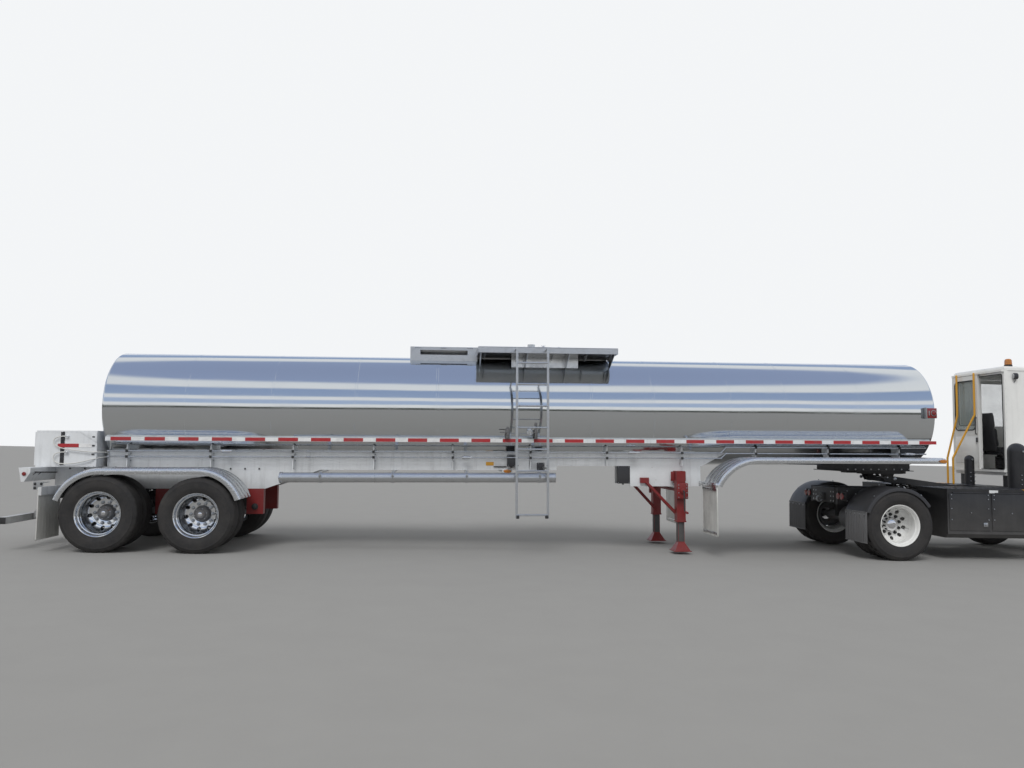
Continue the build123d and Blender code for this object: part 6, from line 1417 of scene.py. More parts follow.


# ladder on the right: fluted rungs with end welds, stay bolts and rubber feet
ladder = {"rear": -1.360, "front": -0.920, "y": -1.175, "bottom": 0.435,
          "firstRung": 0.045, "pitch": 0.305, "count": 8}
rungBands = []
for number in range(ladder["count"]):
    z = ladder["bottom"] + ladder["firstRung"] + number * ladder["pitch"]
    if number == 1:
        continue
    for dx in (0.10, 0.16, 0.22, 0.28, 0.34):
        rungBands.append(ringPiece("flute", (ladder["rear"] + dx, ladder["y"], z), (1, 0, 0), 0.0135, 0.0014,
                                   20, 6))
    for x, way in ((ladder["rear"] + 0.033, 1), (ladder["front"] - 0.033, -1)):
        rungBands.append(ringPiece("weld", (x + way * 0.003, ladder["y"], z), (1, 0, 0), 0.0150, 0.0035, 24,
                                   8))
onTrailer("rungFlutes", rungBands, tubeAluminium, 40)
feet = [boxPiece("foot", (x - 0.021, ladder["y"] - 0.021, ladder["bottom"] - 0.002),
                 (x + 0.021, ladder["y"] + 0.021, 0.480), 0.005)
        for x in (ladder["rear"] + 0.017, ladder["front"] - 0.017)]
onTrailer("ladderFeet", feet, sealRubber)
stayBolts = []
for x in (ladder["rear"] + 0.017, ladder["front"] - 0.017):
    for z in (1.050, 1.170, 2.700):
        stayBolts.append(yDrum("bolt", x, ladder["y"] - 0.017, ladder["y"] - 0.028, z, 0.010, 6, 0.0012))
onTrailer("ladderBolts", stayBolts, zincSteel, 30)
dress("ladder", tubeAluminium)

# walkway tray: punched floor plates, rolled kerb and brackets under it
platform = {"rear": -1.900, "front": 0.150, "half": 0.930, "high": 2.870, "floor": 2.810}
kerb = [xDrum("kerb", platform["rear"] + 0.01, platform["front"] - 0.01, side * (platform["half"] - 0.004),
              platform["high"] - 0.003, 0.0065, 14)
        for side in (-1, 1)]
kerb += [yDrum("kerb", x, -platform["half"] + 0.01, platform["half"] - 0.01, platform["high"] - 0.003, 0.0065,
               14) for x in (platform["rear"] + 0.004, platform["front"] - 0.004)]
onTrailer("platformKerb", kerb, tubeAluminium, 40)
grip = []
for column in range(16):
    for row in (-0.84, -0.76, -0.68, -0.60, 0.60, 0.68, 0.76, 0.84):
        x = platform["rear"] + 0.09 + column * 0.123
        grip.append(zDrum("grip", x, row, platform["floor"] + 0.0005, platform["floor"] + 0.006, 0.016, 10,
                          topRadius=0.011))
onTrailer("platformGrip", grip, tubeAluminium, 30)
brackets = []
for x in (-1.80, -1.30, -0.80, -0.30, 0.06):
    for side in (-1, 1):
        outline = [(x, side * 0.905, 2.784), (x, side * 0.50, 2.784), (x, side * 0.62, 2.700)]
        brackets.append(platePiece("bracket", outline, (0.006, 0, 0), 0.001, 1))
onTrailer("platformBrackets", brackets, tubeAluminium)

# manhole: swing bolts with wing nuts round the lid, rings on the lid and its gasket
manhole = {"x": -0.875, "top": 2.932}
swing = []
for number in range(6):
    angle = math.radians(30 + number * 60)
    angle += math.radians({2: 8, 3: -8}.get(number, 0))
    x = manhole["x"] + 0.312 * math.cos(angle)
    y = 0.312 * math.sin(angle)
    swing.append(zDrum("swingBolt", x, y, 2.858, 2.978, 0.0075, 12, 0.001))
    swing.append(zDrum("wingNut", x, y, 2.955, 2.970, 0.014, 6, 0.002))
    for side in (-1, 1):
        out = Vector((-math.sin(angle), math.cos(angle), 0.0)) * side
        swing.append(drumPiece("wing", (x, y, 2.963), (x + out.x * 0.030, y + out.y * 0.030, 2.978), 0.0045,
                               8, 0.001))
    swing.append(boxPiece("lug", (x - 0.014, y - 0.014, 2.850), (x + 0.014, y + 0.014, 2.868), 0.004))
onTrailer("swingBolts", swing, brightSteel)
lidRibs = [ringPiece("lidRing", (manhole["x"], 0, 2.9535), (0, 0, 1), radius, 0.004, 64, 8)
           for radius in (0.235, 0.120)]
wear(joined("lidRings", lidRibs), "manhole_lid", brightSteel, 40, sprung=True)
gasket = ringPiece("manholeGasket", (manhole["x"], 0, manhole["top"] + 0.001), (0, 0, 1), 0.272, 0.0065, 72,
                   8)
wear(gasket, "trailer", sealRubber, 40, sprung=True)

# drain trough behind the walkway: hinges, latch and louvres
trough = {"half": 0.340, "top": 2.930}
troughTrim = []
for x in (-2.78, -2.39, -2.00):
    troughTrim.append(xDrum("hinge", x - 0.045, x + 0.045, -trough["half"] - 0.003, trough["top"] - 0.012,
                            0.009, 14, 0.001))
for number in range(9):
    x = -2.80 + number * 0.102
    troughTrim.append(boxPiece("rib", (x - 0.012, -trough["half"] + 0.03, trough["top"]),
                               (x + 0.012, trough["half"] - 0.03, trough["top"] + 0.005), 0.003))
troughTrim.append(boxPiece("latch", (-2.43, trough["half"], 2.885), (-2.35, trough["half"] + 0.014, 2.925),
                           0.004))
onTrailer("troughTrim", troughTrim, fenderAluminium)

# spill box round the manhole: its rolled rim
spill = {"x": -0.875, "halfX": 0.505, "halfY": 0.500, "top": 2.872}
rim = []
for side in (-1, 1):
    rim.append(xDrum("rim", spill["x"] - spill["halfX"], spill["x"] + spill["halfX"], side * spill["halfY"],
                     spill["top"], 0.0075, 14))
    rim.append(yDrum("rim", spill["x"] + side * spill["halfX"], -spill["halfY"], spill["halfY"], spill["top"],
                     0.0075, 14))
onTrailer("spillRim", rim, brightSteel, 40)
for nodeName, material in (("platform", tubeAluminium), ("manhole", stainless), ("manhole_lid", stainless)):
    dress(nodeName, material)
print("scene: ladder, walkway and manhole made")


# hose tube: knurled end cap with its knob, beads, and strap clasps with bolts and nuts
hoseTube = {"rear": -4.605, "front": -0.795, "y": -1.040, "z": 0.995}
tubeTrim = [xDrum("endCap", hoseTube["rear"] - 0.022, hoseTube["rear"] + 0.030, hoseTube["y"], hoseTube["z"],
                  0.0735, 48, 0.005, segments=3),
            xDrum("capKnob", hoseTube["rear"] - 0.040, hoseTube["rear"] - 0.022, hoseTube["y"], hoseTube["z"],
                  0.020, 24, 0.005)]
for number in range(8):
    angle = math.radians(45 * number)
    dy, dz = 0.0735 * math.cos(angle), 0.0735 * math.sin(angle)
    tubeTrim.append(xDrum("knurl", hoseTube["rear"] - 0.018, hoseTube["rear"] + 0.026, hoseTube["y"] + dy,
                          hoseTube["z"] + dz, 0.0035, 8))
tubeTrim += [ringPiece("tubeBead", (x, hoseTube["y"], hoseTube["z"]), (1, 0, 0), 0.0690, 0.0028, 56, 8)
             for x in (-3.33, -2.06, hoseTube["front"] - 0.004)]
strapBolts = []
for share in (0.14, 0.4, 0.67, 0.94):
    x = hoseTube["rear"] + share * 3.810
    strapBolts.append(boxPiece("clasp", (x - 0.016, hoseTube["y"] - 0.086, hoseTube["z"] + 0.010),
                               (x + 0.016, hoseTube["y"] - 0.070, hoseTube["z"] + 0.050), 0.003))
    strapBolts.append(zDrum("bolt", x, hoseTube["y"] - 0.079, hoseTube["z"] - 0.012, hoseTube["z"] + 0.072,
                            0.0055, 10, 0.001))
    strapBolts.append(zDrum("nut", x, hoseTube["y"] - 0.079, hoseTube["z"] + 0.058, hoseTube["z"] + 0.068,
                            0.0100, 6, 0.001))
onTrailer("hoseTubeTrim", tubeTrim, stainless, 40)
onTrailer("hoseTubeClasps", strapBolts, zincSteel, 34)
dress("hose_tube", tubeAluminium)


# landing gear: gearboxes with bolts, crank with its grip and the inner legs; hangers for the front flaps
gear = {"x": 1.1346, "y": 0.650, "shaft": 0.795}
gearCases, gearBright = [], []
for side in (-1, 1):
    y = side * gear["y"]
    out = side * 0.066
    gearCases.append(boxPiece("case",
                              (gear["x"] - 0.085, min(y + out, y + out + side * 0.075), gear["shaft"] - 0.12),
                              (gear["x"] + 0.085, max(y + out, y + out + side * 0.075), gear["shaft"] + 0.11),
                              0.012, 3))
    gearCases.append(yDrum("boss", gear["x"], y + out + side * 0.075, y + out + side * 0.098, gear["shaft"],
                           0.038, 28, 0.004))
    gearCases.append(boxPiece("collar", (gear["x"] - 0.072, y - 0.072, 0.330),
                              (gear["x"] + 0.072, y + 0.072, 0.352), 0.003))
    gearCases.append(boxPiece("wingPlate", (gear["x"] - 0.115, y - side * 0.068 - 0.004, 0.93),
                              (gear["x"] + 0.115, y - side * 0.068 + 0.004, 1.07), 0.003))
    for dx in (-0.062, 0.062):
        for dz in (-0.095, -0.03, 0.04, 0.085):
            gearBright.append(yDrum("bolt", gear["x"] + dx, y + out + side * 0.075, y + out + side * 0.083,
                                    gear["shaft"] + dz, 0.0085, 6, 0.001))
    for dz in (0.10, 0.16):
        gearBright.append(xDrum("rivet", gear["x"] + 0.066, gear["x"] + 0.074, y, 0.45 + dz * 2, 0.009, 10,
                                0.002))
onTrailer("gearCases", gearCases, redPaint)
onTrailer("gearBolts", gearBright, zincSteel, 30)
crank = tubePiece("crank",
                  [(gear["x"], y, z) for y,
                   z in ((-0.822, 0.795), (-0.860, 0.795), (-0.868, 0.500), (-0.930, 0.492))],
                  0.0095, 0.022, 5, 4)
crankGrip = drumPiece("crankGrip", (gear["x"], -0.900, 0.494), (gear["x"], -1.010, 0.488), 0.0165, 20, 0.004)
wear(crank, "trailer", framePaint, 50, sprung=True)
wear(crankGrip, "trailer", redPaint, 40, sprung=True)
innerLegs = [boxPiece("innerLeg", (gear["x"] - 0.0488, -gear["y"] - 0.0488, 0.040),
                      (gear["x"] + 0.0488, -gear["y"] + 0.0488, 0.334), 0.008)]
bothSides("innerLegs", innerLegs, blackPaint)
flapHangers = [boxPiece("hanger", (1.4700, -1.246, 0.855), (1.5010, -0.652, 0.926), 0.004)]
for y in (-1.20, -1.05, -0.90, -0.75):
    flapHangers.append(xDrum("bolt", 1.470, 1.458, y, 0.905, 0.012, 6, 0.001))
flapHangers.append(boxPiece("arm", (1.4700, -0.652, 0.880), (1.5010, -0.521, 0.926), 0.004))
bothSides("flapHangers", flapHangers, fenderAluminium)
dress("landing_gear", redPaint)

# coupler plate: countersunk bolts along the bolster
couplerBolts = []
for number in range(9):
    x = 3.85 + number * 0.125
    for side in (-1, 1):
        couplerBolts.append(yDrum("bolt", x, side * 0.482, side * 0.494, 1.105, 0.0125, 6, 0.0015))
onTrailer("couplerBolts", couplerBolts, zincSteel, 30)
dress("coupler", framePaint)
print("scene: hose tube, landing gear and coupler made")


# tractor: drive fenders as rounded black sheets with a rolled edge and bolts
driveFender = {"x": 4.2176, "radius": 0.548, "rearAngle": 20, "frontAngle": 32}
section = [(1.250, -0.052), (1.250, -0.012), (1.246, -0.004), (1.238, 0.0), (1.10, 0.004), (0.95, 0.006),
           (0.80, 0.004),
           (0.662, 0.0), (0.654, -0.004), (0.650, -0.012), (0.650, -0.040)]
start = math.radians(driveFender["rearAngle"])
sheetPoints = [(driveFender["x"] - (driveFender["radius"] + h) * math.cos(start), -y,
                0.505 + (driveFender["radius"] + h) * math.sin(start)) for y, h in section]
driveSheet = linePiece("driveFender", sheetPoints)
onlyThis(driveSheet)
bpy.ops.object.mode_set(mode="EDIT")
bpy.ops.mesh.select_all(action="SELECT")
bpy.ops.mesh.spin(steps=36, angle=math.radians(180 - driveFender["rearAngle"] - driveFender["frontAngle"]),
                  center=(driveFender["x"], 0, 0.505), axis=(0, -1, 0))
bpy.ops.mesh.select_all(action="SELECT")
bpy.ops.mesh.normals_make_consistent(inside=False)
bpy.ops.object.mode_set(mode="OBJECT")
applyModifier(driveSheet, "SOLIDIFY", {"thickness": 0.006, "offset": -1.0})
fenderBrackets = []
for angle in (48, 90, 128):
    turnAngle = math.radians(180 - angle)
    out = Vector((math.cos(turnAngle), 0, math.sin(turnAngle)))
    place = Vector((driveFender["x"], 0, 0.505)) + out * 0.556
    for y in (-0.70, -1.20):
        fenderBrackets.append(drumPiece("bolt", place + Vector((0, y, 0)),
                                        place + Vector((0, y, 0)) + out * 0.012, 0.012, 6, 0.0015))
rightAndLeft(driveSheet, "tractor", plasticBlack, 40, sprung=False)
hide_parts("tractor_fenders")
bothTractorSides("driveFenderBolts", fenderBrackets, zincSteel, 30)

# ribbed grey flaps behind the drive wheels
flapPieces = [boxPiece("flap", (3.6985, -1.248, 0.245), (3.7045, -0.652, 0.690), 0.003)]
for number in range(13):
    y = -1.222 + number * 0.0455
    flapPieces.append(zDrum("rib", 3.6975, y, 0.262, 0.672, 0.0065, 10, 0.002))
flapPieces += [boxPiece("hem", (3.694, -1.249, z), (3.706, -0.651, z + 0.014), 0.004) for z in (0.242, 0.680)]
bothTractorSides("driveFlap", flapPieces, greyFlap, 40)
flapBolts = [xDrum("bolt", 3.690, 3.682, -1.20 + 0.125 * n, 0.655, 0.011, 6, 0.001) for n in range(5)]
bothTractorSides("driveFlapBolts", flapBolts, zincSteel, 30)

# tail of the tractor frame: cross plate bolts, tow ring on its bracket, and two lamps
tail = {"x": 3.6976}
tailBolts = [xDrum("bolt", tail["x"] - 0.001, tail["x"] - 0.013, y, z, 0.013, 6, 0.0015)
             for y in (-0.32, -0.24, 0.24, 0.32) for z in (0.790, 0.860, 0.930)]
onTractor("tailBolts", tailBolts, zincSteel, 30)
tailPlate = [boxPiece("tailPlate", (tail["x"] - 0.010, -0.350, 0.760), (tail["x"] + 0.002, 0.350, 0.990),
                      0.004)]
tailPlate.append(boxPiece("towBracket", (tail["x"] - 0.050, -0.060, 0.790), (tail["x"] - 0.006, 0.060, 0.900),
                          0.008))
onTractor("tailPlate", tailPlate, framePaint)
towRing = ringPiece("towRing", (tail["x"] - 0.075, 0, 0.805), (0, 1, 0), 0.044, 0.0125, 48, 16)
wear(towRing, "tractor", zincSteel, 45)
tailLenses = [makeLamp("lens", tail["x"] - 0.008, y, 0.875, 0.050) for y in (-0.470, 0.470)]
tailLenses += [makeLamp("lens", tail["x"] - 0.008, y, 0.875, 0.050) for y in (-0.585, 0.585)]
tailCups = [xDrum("cup", tail["x"] + 0.030, tail["x"] - 0.008, y, 0.875, 0.056, 36, 0.004)
            for y in (-0.585, -0.470, 0.470, 0.585)]
tailCups += [boxPiece("lampPlate", (tail["x"] + 0.018, side * 0.350 if side > 0 else -0.650, 0.805),
                      (tail["x"] + 0.026, 0.650 if side > 0 else -0.350, 0.945), 0.003) for side in (-1, 1)]
onTractor("tailLenses", tailLenses, redLens, 40)
onTractor("tailCups", tailCups, framePaint)

# frame rails: bolt patterns, air tanks with bands and lines between the rails
railBolts = []
for x in [3.85 + 0.22 * number for number in range(20)]:
    for z in (0.800, 0.950):
        railBolts.append(yDrum("bolt", x, -0.431, -0.444, z, 0.0115, 6, 0.0012))
bothTractorSides("railBolts", railBolts, zincSteel, 30)
tanks, bands = [], []
for x, y, z in ((5.60, 0.0, 0.800), (6.30, 0.0, 0.780)):
    tanks.append(yDrum("airTank", x, -0.300, 0.300, z, 0.105, 48, 0.030, segments=5))
    bands += [ringPiece("band", (x, side * 0.180, z), (0, 1, 0), 0.106, 0.006, 48, 6) for side in (-1, 1)]
onTractor("airTanks", tanks, blackPaint, 40)
onTractor("airTankBands", bands, zincSteel, 40)
airLines = [tubePiece("line",
                      [(5.60, side * 0.30, 0.80), (5.60, side * 0.335, 0.82), (6.20, side * 0.335, 0.90),
                       (6.95, side * 0.335, 0.88)],
                      0.007, 0.03, 5, 3) for side in (-1, 1)]
onTractor("airLines", airLines, sealRubber, 50)

# side boxes: doors with hinges, recessed latches and rows of pale bolt heads, and a blank plate
boxDoors, boxBolts, boxLatches = [], [], []
for rearX, frontX in ((5.025, 5.660), (5.690, 6.310)):
    boxDoors.append(boxPiece("door", (rearX, -1.160, 0.440), (frontX, -1.151, 0.985), 0.006))
    boxDoors.append(xDrum("hinge", rearX + 0.05, frontX - 0.05, -1.160, 0.990, 0.009, 12, 0.001))
    boxLatches.append(boxPiece("latch", (frontX - 0.115, -1.168, 0.500), (frontX - 0.045, -1.160, 0.560),
                               0.005))
    boxLatches.append(yDrum("latchRing", frontX - 0.080, -1.168, -1.176, 0.530, 0.014, 20, 0.003))
for x in (5.055, 5.630, 5.720, 6.280):
    for z in (0.600, 0.760, 0.900, 0.960):
        boxBolts.append(yDrum("bolt", x, -1.160, -1.168, z, 0.0095, 6, 0.0012))
for x in (5.36, 6.00):
    boxBolts.append(yDrum("bolt", x, -1.160, -1.168, 0.70, 0.0095, 6, 0.0012))
bothTractorSides("sideBoxDoors", boxDoors, blackPaint)
bothTractorSides("sideBoxBolts", boxBolts, zincSteel, 30)
bothTractorSides("sideBoxLatches", boxLatches, zincSteel)
blankPlate = boxPiece("blankPlate", (5.655, -1.1545, 0.992), (5.795, -1.1505, 1.034), 0.001, 1)
wear(blankPlate, "tractor", whitePaint, 30)
stepBars = [boxPiece("step", (6.36, -1.15, z), (6.62, -0.98, z + 0.030), 0.006) for z in (0.45, 0.75)]
stepBars += [boxPiece("hanger", (x, -1.145, 0.45), (x + 0.012, -1.00, 1.035), 0.002) for x in (6.365, 6.603)]
bothTractorSides("steps", stepBars, framePaint)

# deck: raised tread bars and the yellow edge strip
tread = []
for row in range(9):
    for column in range(13):
        x = 5.06 + column * 0.122
        y = -1.10 + row * 0.066
        lean = 0.020 if (row + column) % 2 else -0.020
        tread.append(drumPiece("bar", (x - 0.022, y - lean, 1.0500), (x + 0.022, y + lean, 1.0500), 0.0042,
                               6))
treadPiece = joined("deckTread", tread)
rightAndLeft(treadPiece, "tractor", blackPaint, 30, sprung=False)
strip = boxPiece("yellowStrip", (6.20, -1.156, 1.036), (6.62, -1.110, 1.0545), 0.002)
rightAndLeft(strip, "tractor", yellowPaint, 30, sprung=False)
print("scene: tractor frame and deck made")


# deck posts: rounded tops with a pale bolt, and welded base rings
postBits, postBolts = [], []
for x, y, radius, top in ((6.5446, 0.500, 0.075, 1.555), (6.4176, -0.760, 0.130, 1.750)):
    postBits.append(ringPiece("weld", (x, y, 1.052), (0, 0, 1), radius + 0.004, 0.009, 56, 10))
    postBolts.append(yDrum("bolt", x, y - radius - 0.001, y - radius - 0.014, top - radius, 0.016, 6, 0.002))
    postBolts += [yDrum("bolt", x + dx, y - radius * 0.98, y - radius * 0.98 - 0.014, z, 0.010, 6, 0.0015)
                  for dx in (-0.035, 0.035) for z in (1.12, 1.19, 1.26)]
onTractor("postWelds", postBits, blackPaint, 45)
onTractor("postBolts", postBolts, zincSteel, 34)

# fifth wheel: lock handle and pivot bolts
plateTilt = Matrix.Translation((4.5976, 0, 1.2709)) @ Matrix.Rotation(-noseUp, 4,
                                                                      "Y") @ Matrix.Translation((-4.5976, 0,
                                                                                                 -1.2709))
handle = tubePiece("handle",
                   [(4.42, -0.30, 1.185), (4.42, -0.56, 1.185), (4.38, -0.60, 1.185), (4.38, -0.66, 1.185)],
                   0.010, 0.02, 5, 4)
pivots = [yDrum("pivotBolt", 4.5997, side * 0.47, side * 0.50, 1.156, 0.026, 6, 0.003) for side in (-1, 1)]
handle.data.transform(plateTilt)
wear(handle, "fifth_wheel", zincSteel, 45)
wear(joined("fifthPivots", pivots), "fifth_wheel", zincSteel, 30)

# boom: hydraulic hoses along its arms
boomLines = [tubePiece("boomLine",
                       [(6.10, side * 0.17, 1.035), (5.70, side * 0.17, 1.055), (5.30, side * 0.15, 1.080)],
                       0.009, 0.06, 5, 3)
             for side in (-1, 1)]
wear(joined("boomLines", boomLines), "boom", sealRubber, 50)
for nodeName, material in (("chassis", framePaint), ("deck", blackPaint), ("engine", castIron),
                           ("tractor_axles", castIron),
                           ("knuckle_left", castIron), ("knuckle_right", castIron), ("boom", framePaint),
                           ("fifth_wheel", framePaint),
                           ("lift_barrels", framePaint), ("lift_rods", brightSteel),
                           ("front_bumper", framePaint),
                           ("handrails", yellowPaint)):
    dress(nodeName, material)
print("scene: posts, fifth wheel and boom made")


# cab: window rubbers, panes, handles, a grab rail, wipers, roof lamps and mirrors
cab = {"rear": 6.7976, "front": 8.0976, "right": -0.050, "left": 1.200, "sill": 2.080}


def sealLoop(name, corners, radius=0.011, bend=0.05):
    # a closed round rubber along four corners
    middle = (Vector(corners[0]) + Vector(corners[1])) / 2
    return tubePiece(name, [tuple(middle), *corners[1:], corners[0], tuple(middle)], radius, bend, 5, 3)


def windowCorners(kind, fixed, lowA, highA, lowZ, highZ, lean=0.0):
    # corners of an opening in a plane of fixed X or fixed Y; lean shifts X with height
    corners = []
    for a, z in ((lowA, lowZ), (highA, lowZ), (highA, highZ), (lowA, highZ)):
        corners.append((fixed - lean * (z - lowZ), a, z) if kind == "x" else (a, fixed, z))
    return corners


rake = 0.140 / (3.040 - 2.020)
screenX = cab["front"] - rake * (cab["sill"] - 2.020) + 0.002
cabSeals = [sealLoop("seal", windowCorners("x", screenX, 0.062, 1.088, 2.078, 2.862, rake), 0.012),
            sealLoop("seal", windowCorners("y", cab["right"] - 0.002, 7.3156, 7.8796, 2.078, 2.862), 0.010),
            sealLoop("seal", windowCorners("x", cab["rear"] - 0.002, 0.628, 1.087, 2.078, 2.862), 0.009)]
onCab("cabSeals", cabSeals, sealRubber, 50)
sideSeal = sealLoop("sideDoorSeal", windowCorners("y", cab["left"] + 0.002, 7.2656, 7.8096, 2.078, 2.862),
                    0.010)
wear(sideSeal, "side_door", sealRubber, 50)
slideSeal = sealLoop("slidingDoorSeal", windowCorners("x", 6.7536, 0.607, 1.123, 1.992, 2.853), 0.010, 0.075)
wear(slideSeal, "sliding_door", sealRubber, 50)
sidePane = boxPiece("sideDoorPane", (7.266, 1.173, 2.080), (7.809, 1.179, 2.860), 0.001, 1)
wear(sidePane, "side_door", windowGlass, 30)
slidePane = boxPiece("slidingDoorPane", (6.771, 0.604, 1.990), (6.776, 1.126, 2.855), 0.001, 1)
wear(slidePane, "sliding_door", windowGlass, 30)

slideTrim = [boxPiece("edge", (6.7506, 0.536, 1.330), (6.7546, 0.560, 2.930), 0.002),
             boxPiece("panel", (6.7516, 0.600, 1.420), (6.7546, 1.130, 1.880), 0.010, 3)]
wear(joined("slidingDoorTrim", slideTrim), "sliding_door", cabPaint, 36)
slideHandle = joined("slidingDoorHandle", [
    tubePiece("grip",
              [(6.754, 0.575, 1.92), (6.728, 0.575, 1.92), (6.728, 0.575, 2.20), (6.754, 0.575, 2.20)], 0.008,
              0.016, 4, 3),
    boxPiece("latch", (6.738, 0.552, 1.780), (6.754, 0.592, 1.860), 0.006)])
wear(slideHandle, "sliding_door", plasticBlack, 45)
sideHandle = joined("sideDoorHandle",
                    [boxPiece("cup", (7.235, 1.200, 1.960), (7.345, 1.206, 2.020), 0.008, 3),
                                       boxPiece("lever", (7.245, 1.207, 1.984), (7.335, 1.222, 2.000), 0.006),
                                       yDrum("lock", 7.29, 1.2005, 1.206, 1.945, 0.011, 20, 0.002)])
wear(sideHandle, "side_door", plasticBlack, 40)
grab = [tubePiece("grab",
                  [(7.930, 1.200, 1.50), (7.930, 1.245, 1.50), (7.930, 1.245, 2.40), (7.930, 1.200, 2.40)],
                  0.012, 0.03, 5, 4)]
onCab("grabRail", grab, yellowPaint, 45)

# drip rails, sills and rivets of the cab
cabTrim = [boxPiece("drip", (6.86, y, 2.962), (8.00, y + 0.010, 2.976), 0.004)
           for y in (cab["right"] - 0.010, cab["left"])]
cabTrim += [boxPiece("sill", (6.80, y, 1.236), (8.09, y + 0.008, 1.300), 0.003)
            for y in (cab["right"] - 0.008, cab["left"])]
onCab("cabTrim", cabTrim, cabPaint, 36)
rivets = []
for z in [1.36 + 0.13 * n for n in range(12)]:
    for x in (6.822, 8.070 if z < 2.0 else 6.822):
        rivets.append(yDrum("rivet", x, cab["right"], cab["right"] - 0.004, z, 0.0065, 10, 0.002))
for y in (-0.028, 0.578):
    for z in [1.40 + 0.17 * n for n in range(9)]:
        rivets.append(xDrum("rivet", cab["rear"], cab["rear"] - 0.004, y, z, 0.006, 10, 0.002))
onCab("cabRivets", rivets, cabPaint)

# doorway: rubber lip round the opening and a scuff plate on its sill
lip = sealLoop("doorwayLip", windowCorners("x", cab["rear"] - 0.001, -0.002, 0.562, 1.323, 2.907), 0.008,
               0.04)
wear(lip, "cab", sealRubber, 50)
scuff = boxPiece("scuffPlate", (6.792, 0.004, 1.322), (6.850, 0.556, 1.327), 0.001, 1)
wear(scuff, "cab", tubeAluminium, 30)

# wipers on the screen and marker lamps on the roof's front edge
wipers = []
for y in (0.36, 0.82):
    foot = Vector((screenX + 0.004, y, 2.045))
    tip = Vector((cab["front"] - rake * 0.50 + 0.022, y + 0.18, 2.500))
    wipers.append(drumPiece("arm", foot + Vector((0.010, 0, 0)), tip, 0.006, 8))
    wipers.append(drumPiece("hubCap", foot - Vector((0.012, 0, 0)), foot + Vector((0.020, 0, 0)), 0.017, 20,
                            0.003))
    low = Vector((cab["front"] - rake * 0.22 + 0.012, y + 0.13, 2.240))
    high = Vector((cab["front"] - rake * 0.76 + 0.012, y + 0.24, 2.760))
    wipers.append(drumPiece("blade", low, high, 0.0075, 8))
onCab("wipers", wipers, plasticBlack)
roofMarkers = [boxPiece("marker", (7.870, y - 0.040, 3.036), (7.925, y + 0.040, 3.058), 0.009, 3)
               for y in (0.10, 0.38, 0.575, 0.77, 1.05)]
onCab("roofMarkers", roofMarkers, amberLens, 45)

# beacon, work lamp and mirrors over the plain CAD ones
beaconX, beaconY = 6.9476, 0.040
beaconBase = [zDrum("base", beaconX, beaconY, 3.0403, 3.066, 0.0615, 48, 0.006, segments=3),
              zDrum("neck", beaconX, beaconY, 3.060, 3.072, 0.050, 40, 0.002)]
onCab("beaconBase", beaconBase, plasticBlack)
dome = spunPiece("beaconDome", [(beaconX + r, beaconY, z) for r, z in (
    (0.0002, 3.1700), (0.020, 3.1690), (0.038, 3.1640), (0.048, 3.1550), (0.0525, 3.1420), (0.0545, 3.1200),
    (0.0560, 3.0950),
    (0.0580, 3.0720), (0.0560, 3.0700))], (beaconX, beaconY, 0), (0, 0, 1), 56)
domeRibs = [drumPiece("rib", (beaconX + 0.0555 * math.cos(a), beaconY + 0.0555 * math.sin(a), 3.078),
                      (beaconX + 0.0515 * math.cos(a), beaconY + 0.0515 * math.sin(a), 3.140), 0.0022, 6)
            for a in [math.radians(15 * n) for n in range(24)]]
onCab("beaconDome", [dome] + domeRibs, amberLens)
lampX, lampY, lampZ = 6.9676, -0.080, 2.870
workLamp = xDrum("workLamp", lampX - 0.030, lampX + 0.045, lampY, lampZ, 0.052, 40, 0.010, segments=3)
squash(workLamp, (0, lampY, lampZ), (1, 0.58, 1))
workLens = xDrum("workLens", lampX - 0.034, lampX - 0.028, lampY, lampZ, 0.044, 36, 0.003)
squash(workLens, (0, lampY, lampZ), (1, 0.56, 1))
lampStay = tubePiece("lampStay",
                     [(lampX, lampY, lampZ - 0.048), (lampX, lampY, lampZ - 0.090),
                      (lampX, -0.050, lampZ - 0.100)], 0.006, 0.012, 4, 3)
onCab("workLampHousing", [workLamp, lampStay], plasticBlack, 45)
wear(workLens, "cab", clearLens, 45)
mirrorX = 7.9476
mirrorShells, mirrorGlass = [], []
for lowY, highY, wallY in ((1.209, 1.245, 1.200), (-0.468, -0.282, -0.050)):
    wide = highY - lowY
    mirrorShells.append(boxPiece("shell", (mirrorX - 0.018, lowY, 2.150), (mirrorX + 0.040, highY, 2.530),
                                 min(0.020, wide * 0.4), 4))
    if wide > 0.1:
        mirrorGlass.append(boxPiece("glass", (mirrorX - 0.022, lowY + 0.016, 2.250),
                                    (mirrorX - 0.017, highY - 0.016, 2.512), 0.004, 3))
        mirrorGlass.append(boxPiece("spot", (mirrorX - 0.022, lowY + 0.016, 2.166),
                                    (mirrorX - 0.017, highY - 0.016, 2.238), 0.004, 3))
        for z in (2.22, 2.46):
            mirrorShells.append(tubePiece("arm",
                                          [(mirrorX + 0.01, wallY, z), (mirrorX + 0.01, highY - 0.02, z)],
                                          0.0095, 0, 4, 3))
            mirrorShells.append(boxPiece("pad", (mirrorX - 0.020, wallY - 0.006, z - 0.030),
                                         (mirrorX + 0.040, wallY, z + 0.030), 0.003))
onCab("mirrorShells", mirrorShells, plasticBlack, 42, ["cab_fittings"])
onCab("mirrorGlass", mirrorGlass, brightSteel)
for nodeName, material in (("cab_shell", cabPaint), ("side_door", cabPaint), ("sliding_door", cabPaint),
                           ("cab_glass", windowGlass)):
    dress(nodeName, material)
print("scene: cab outside made")


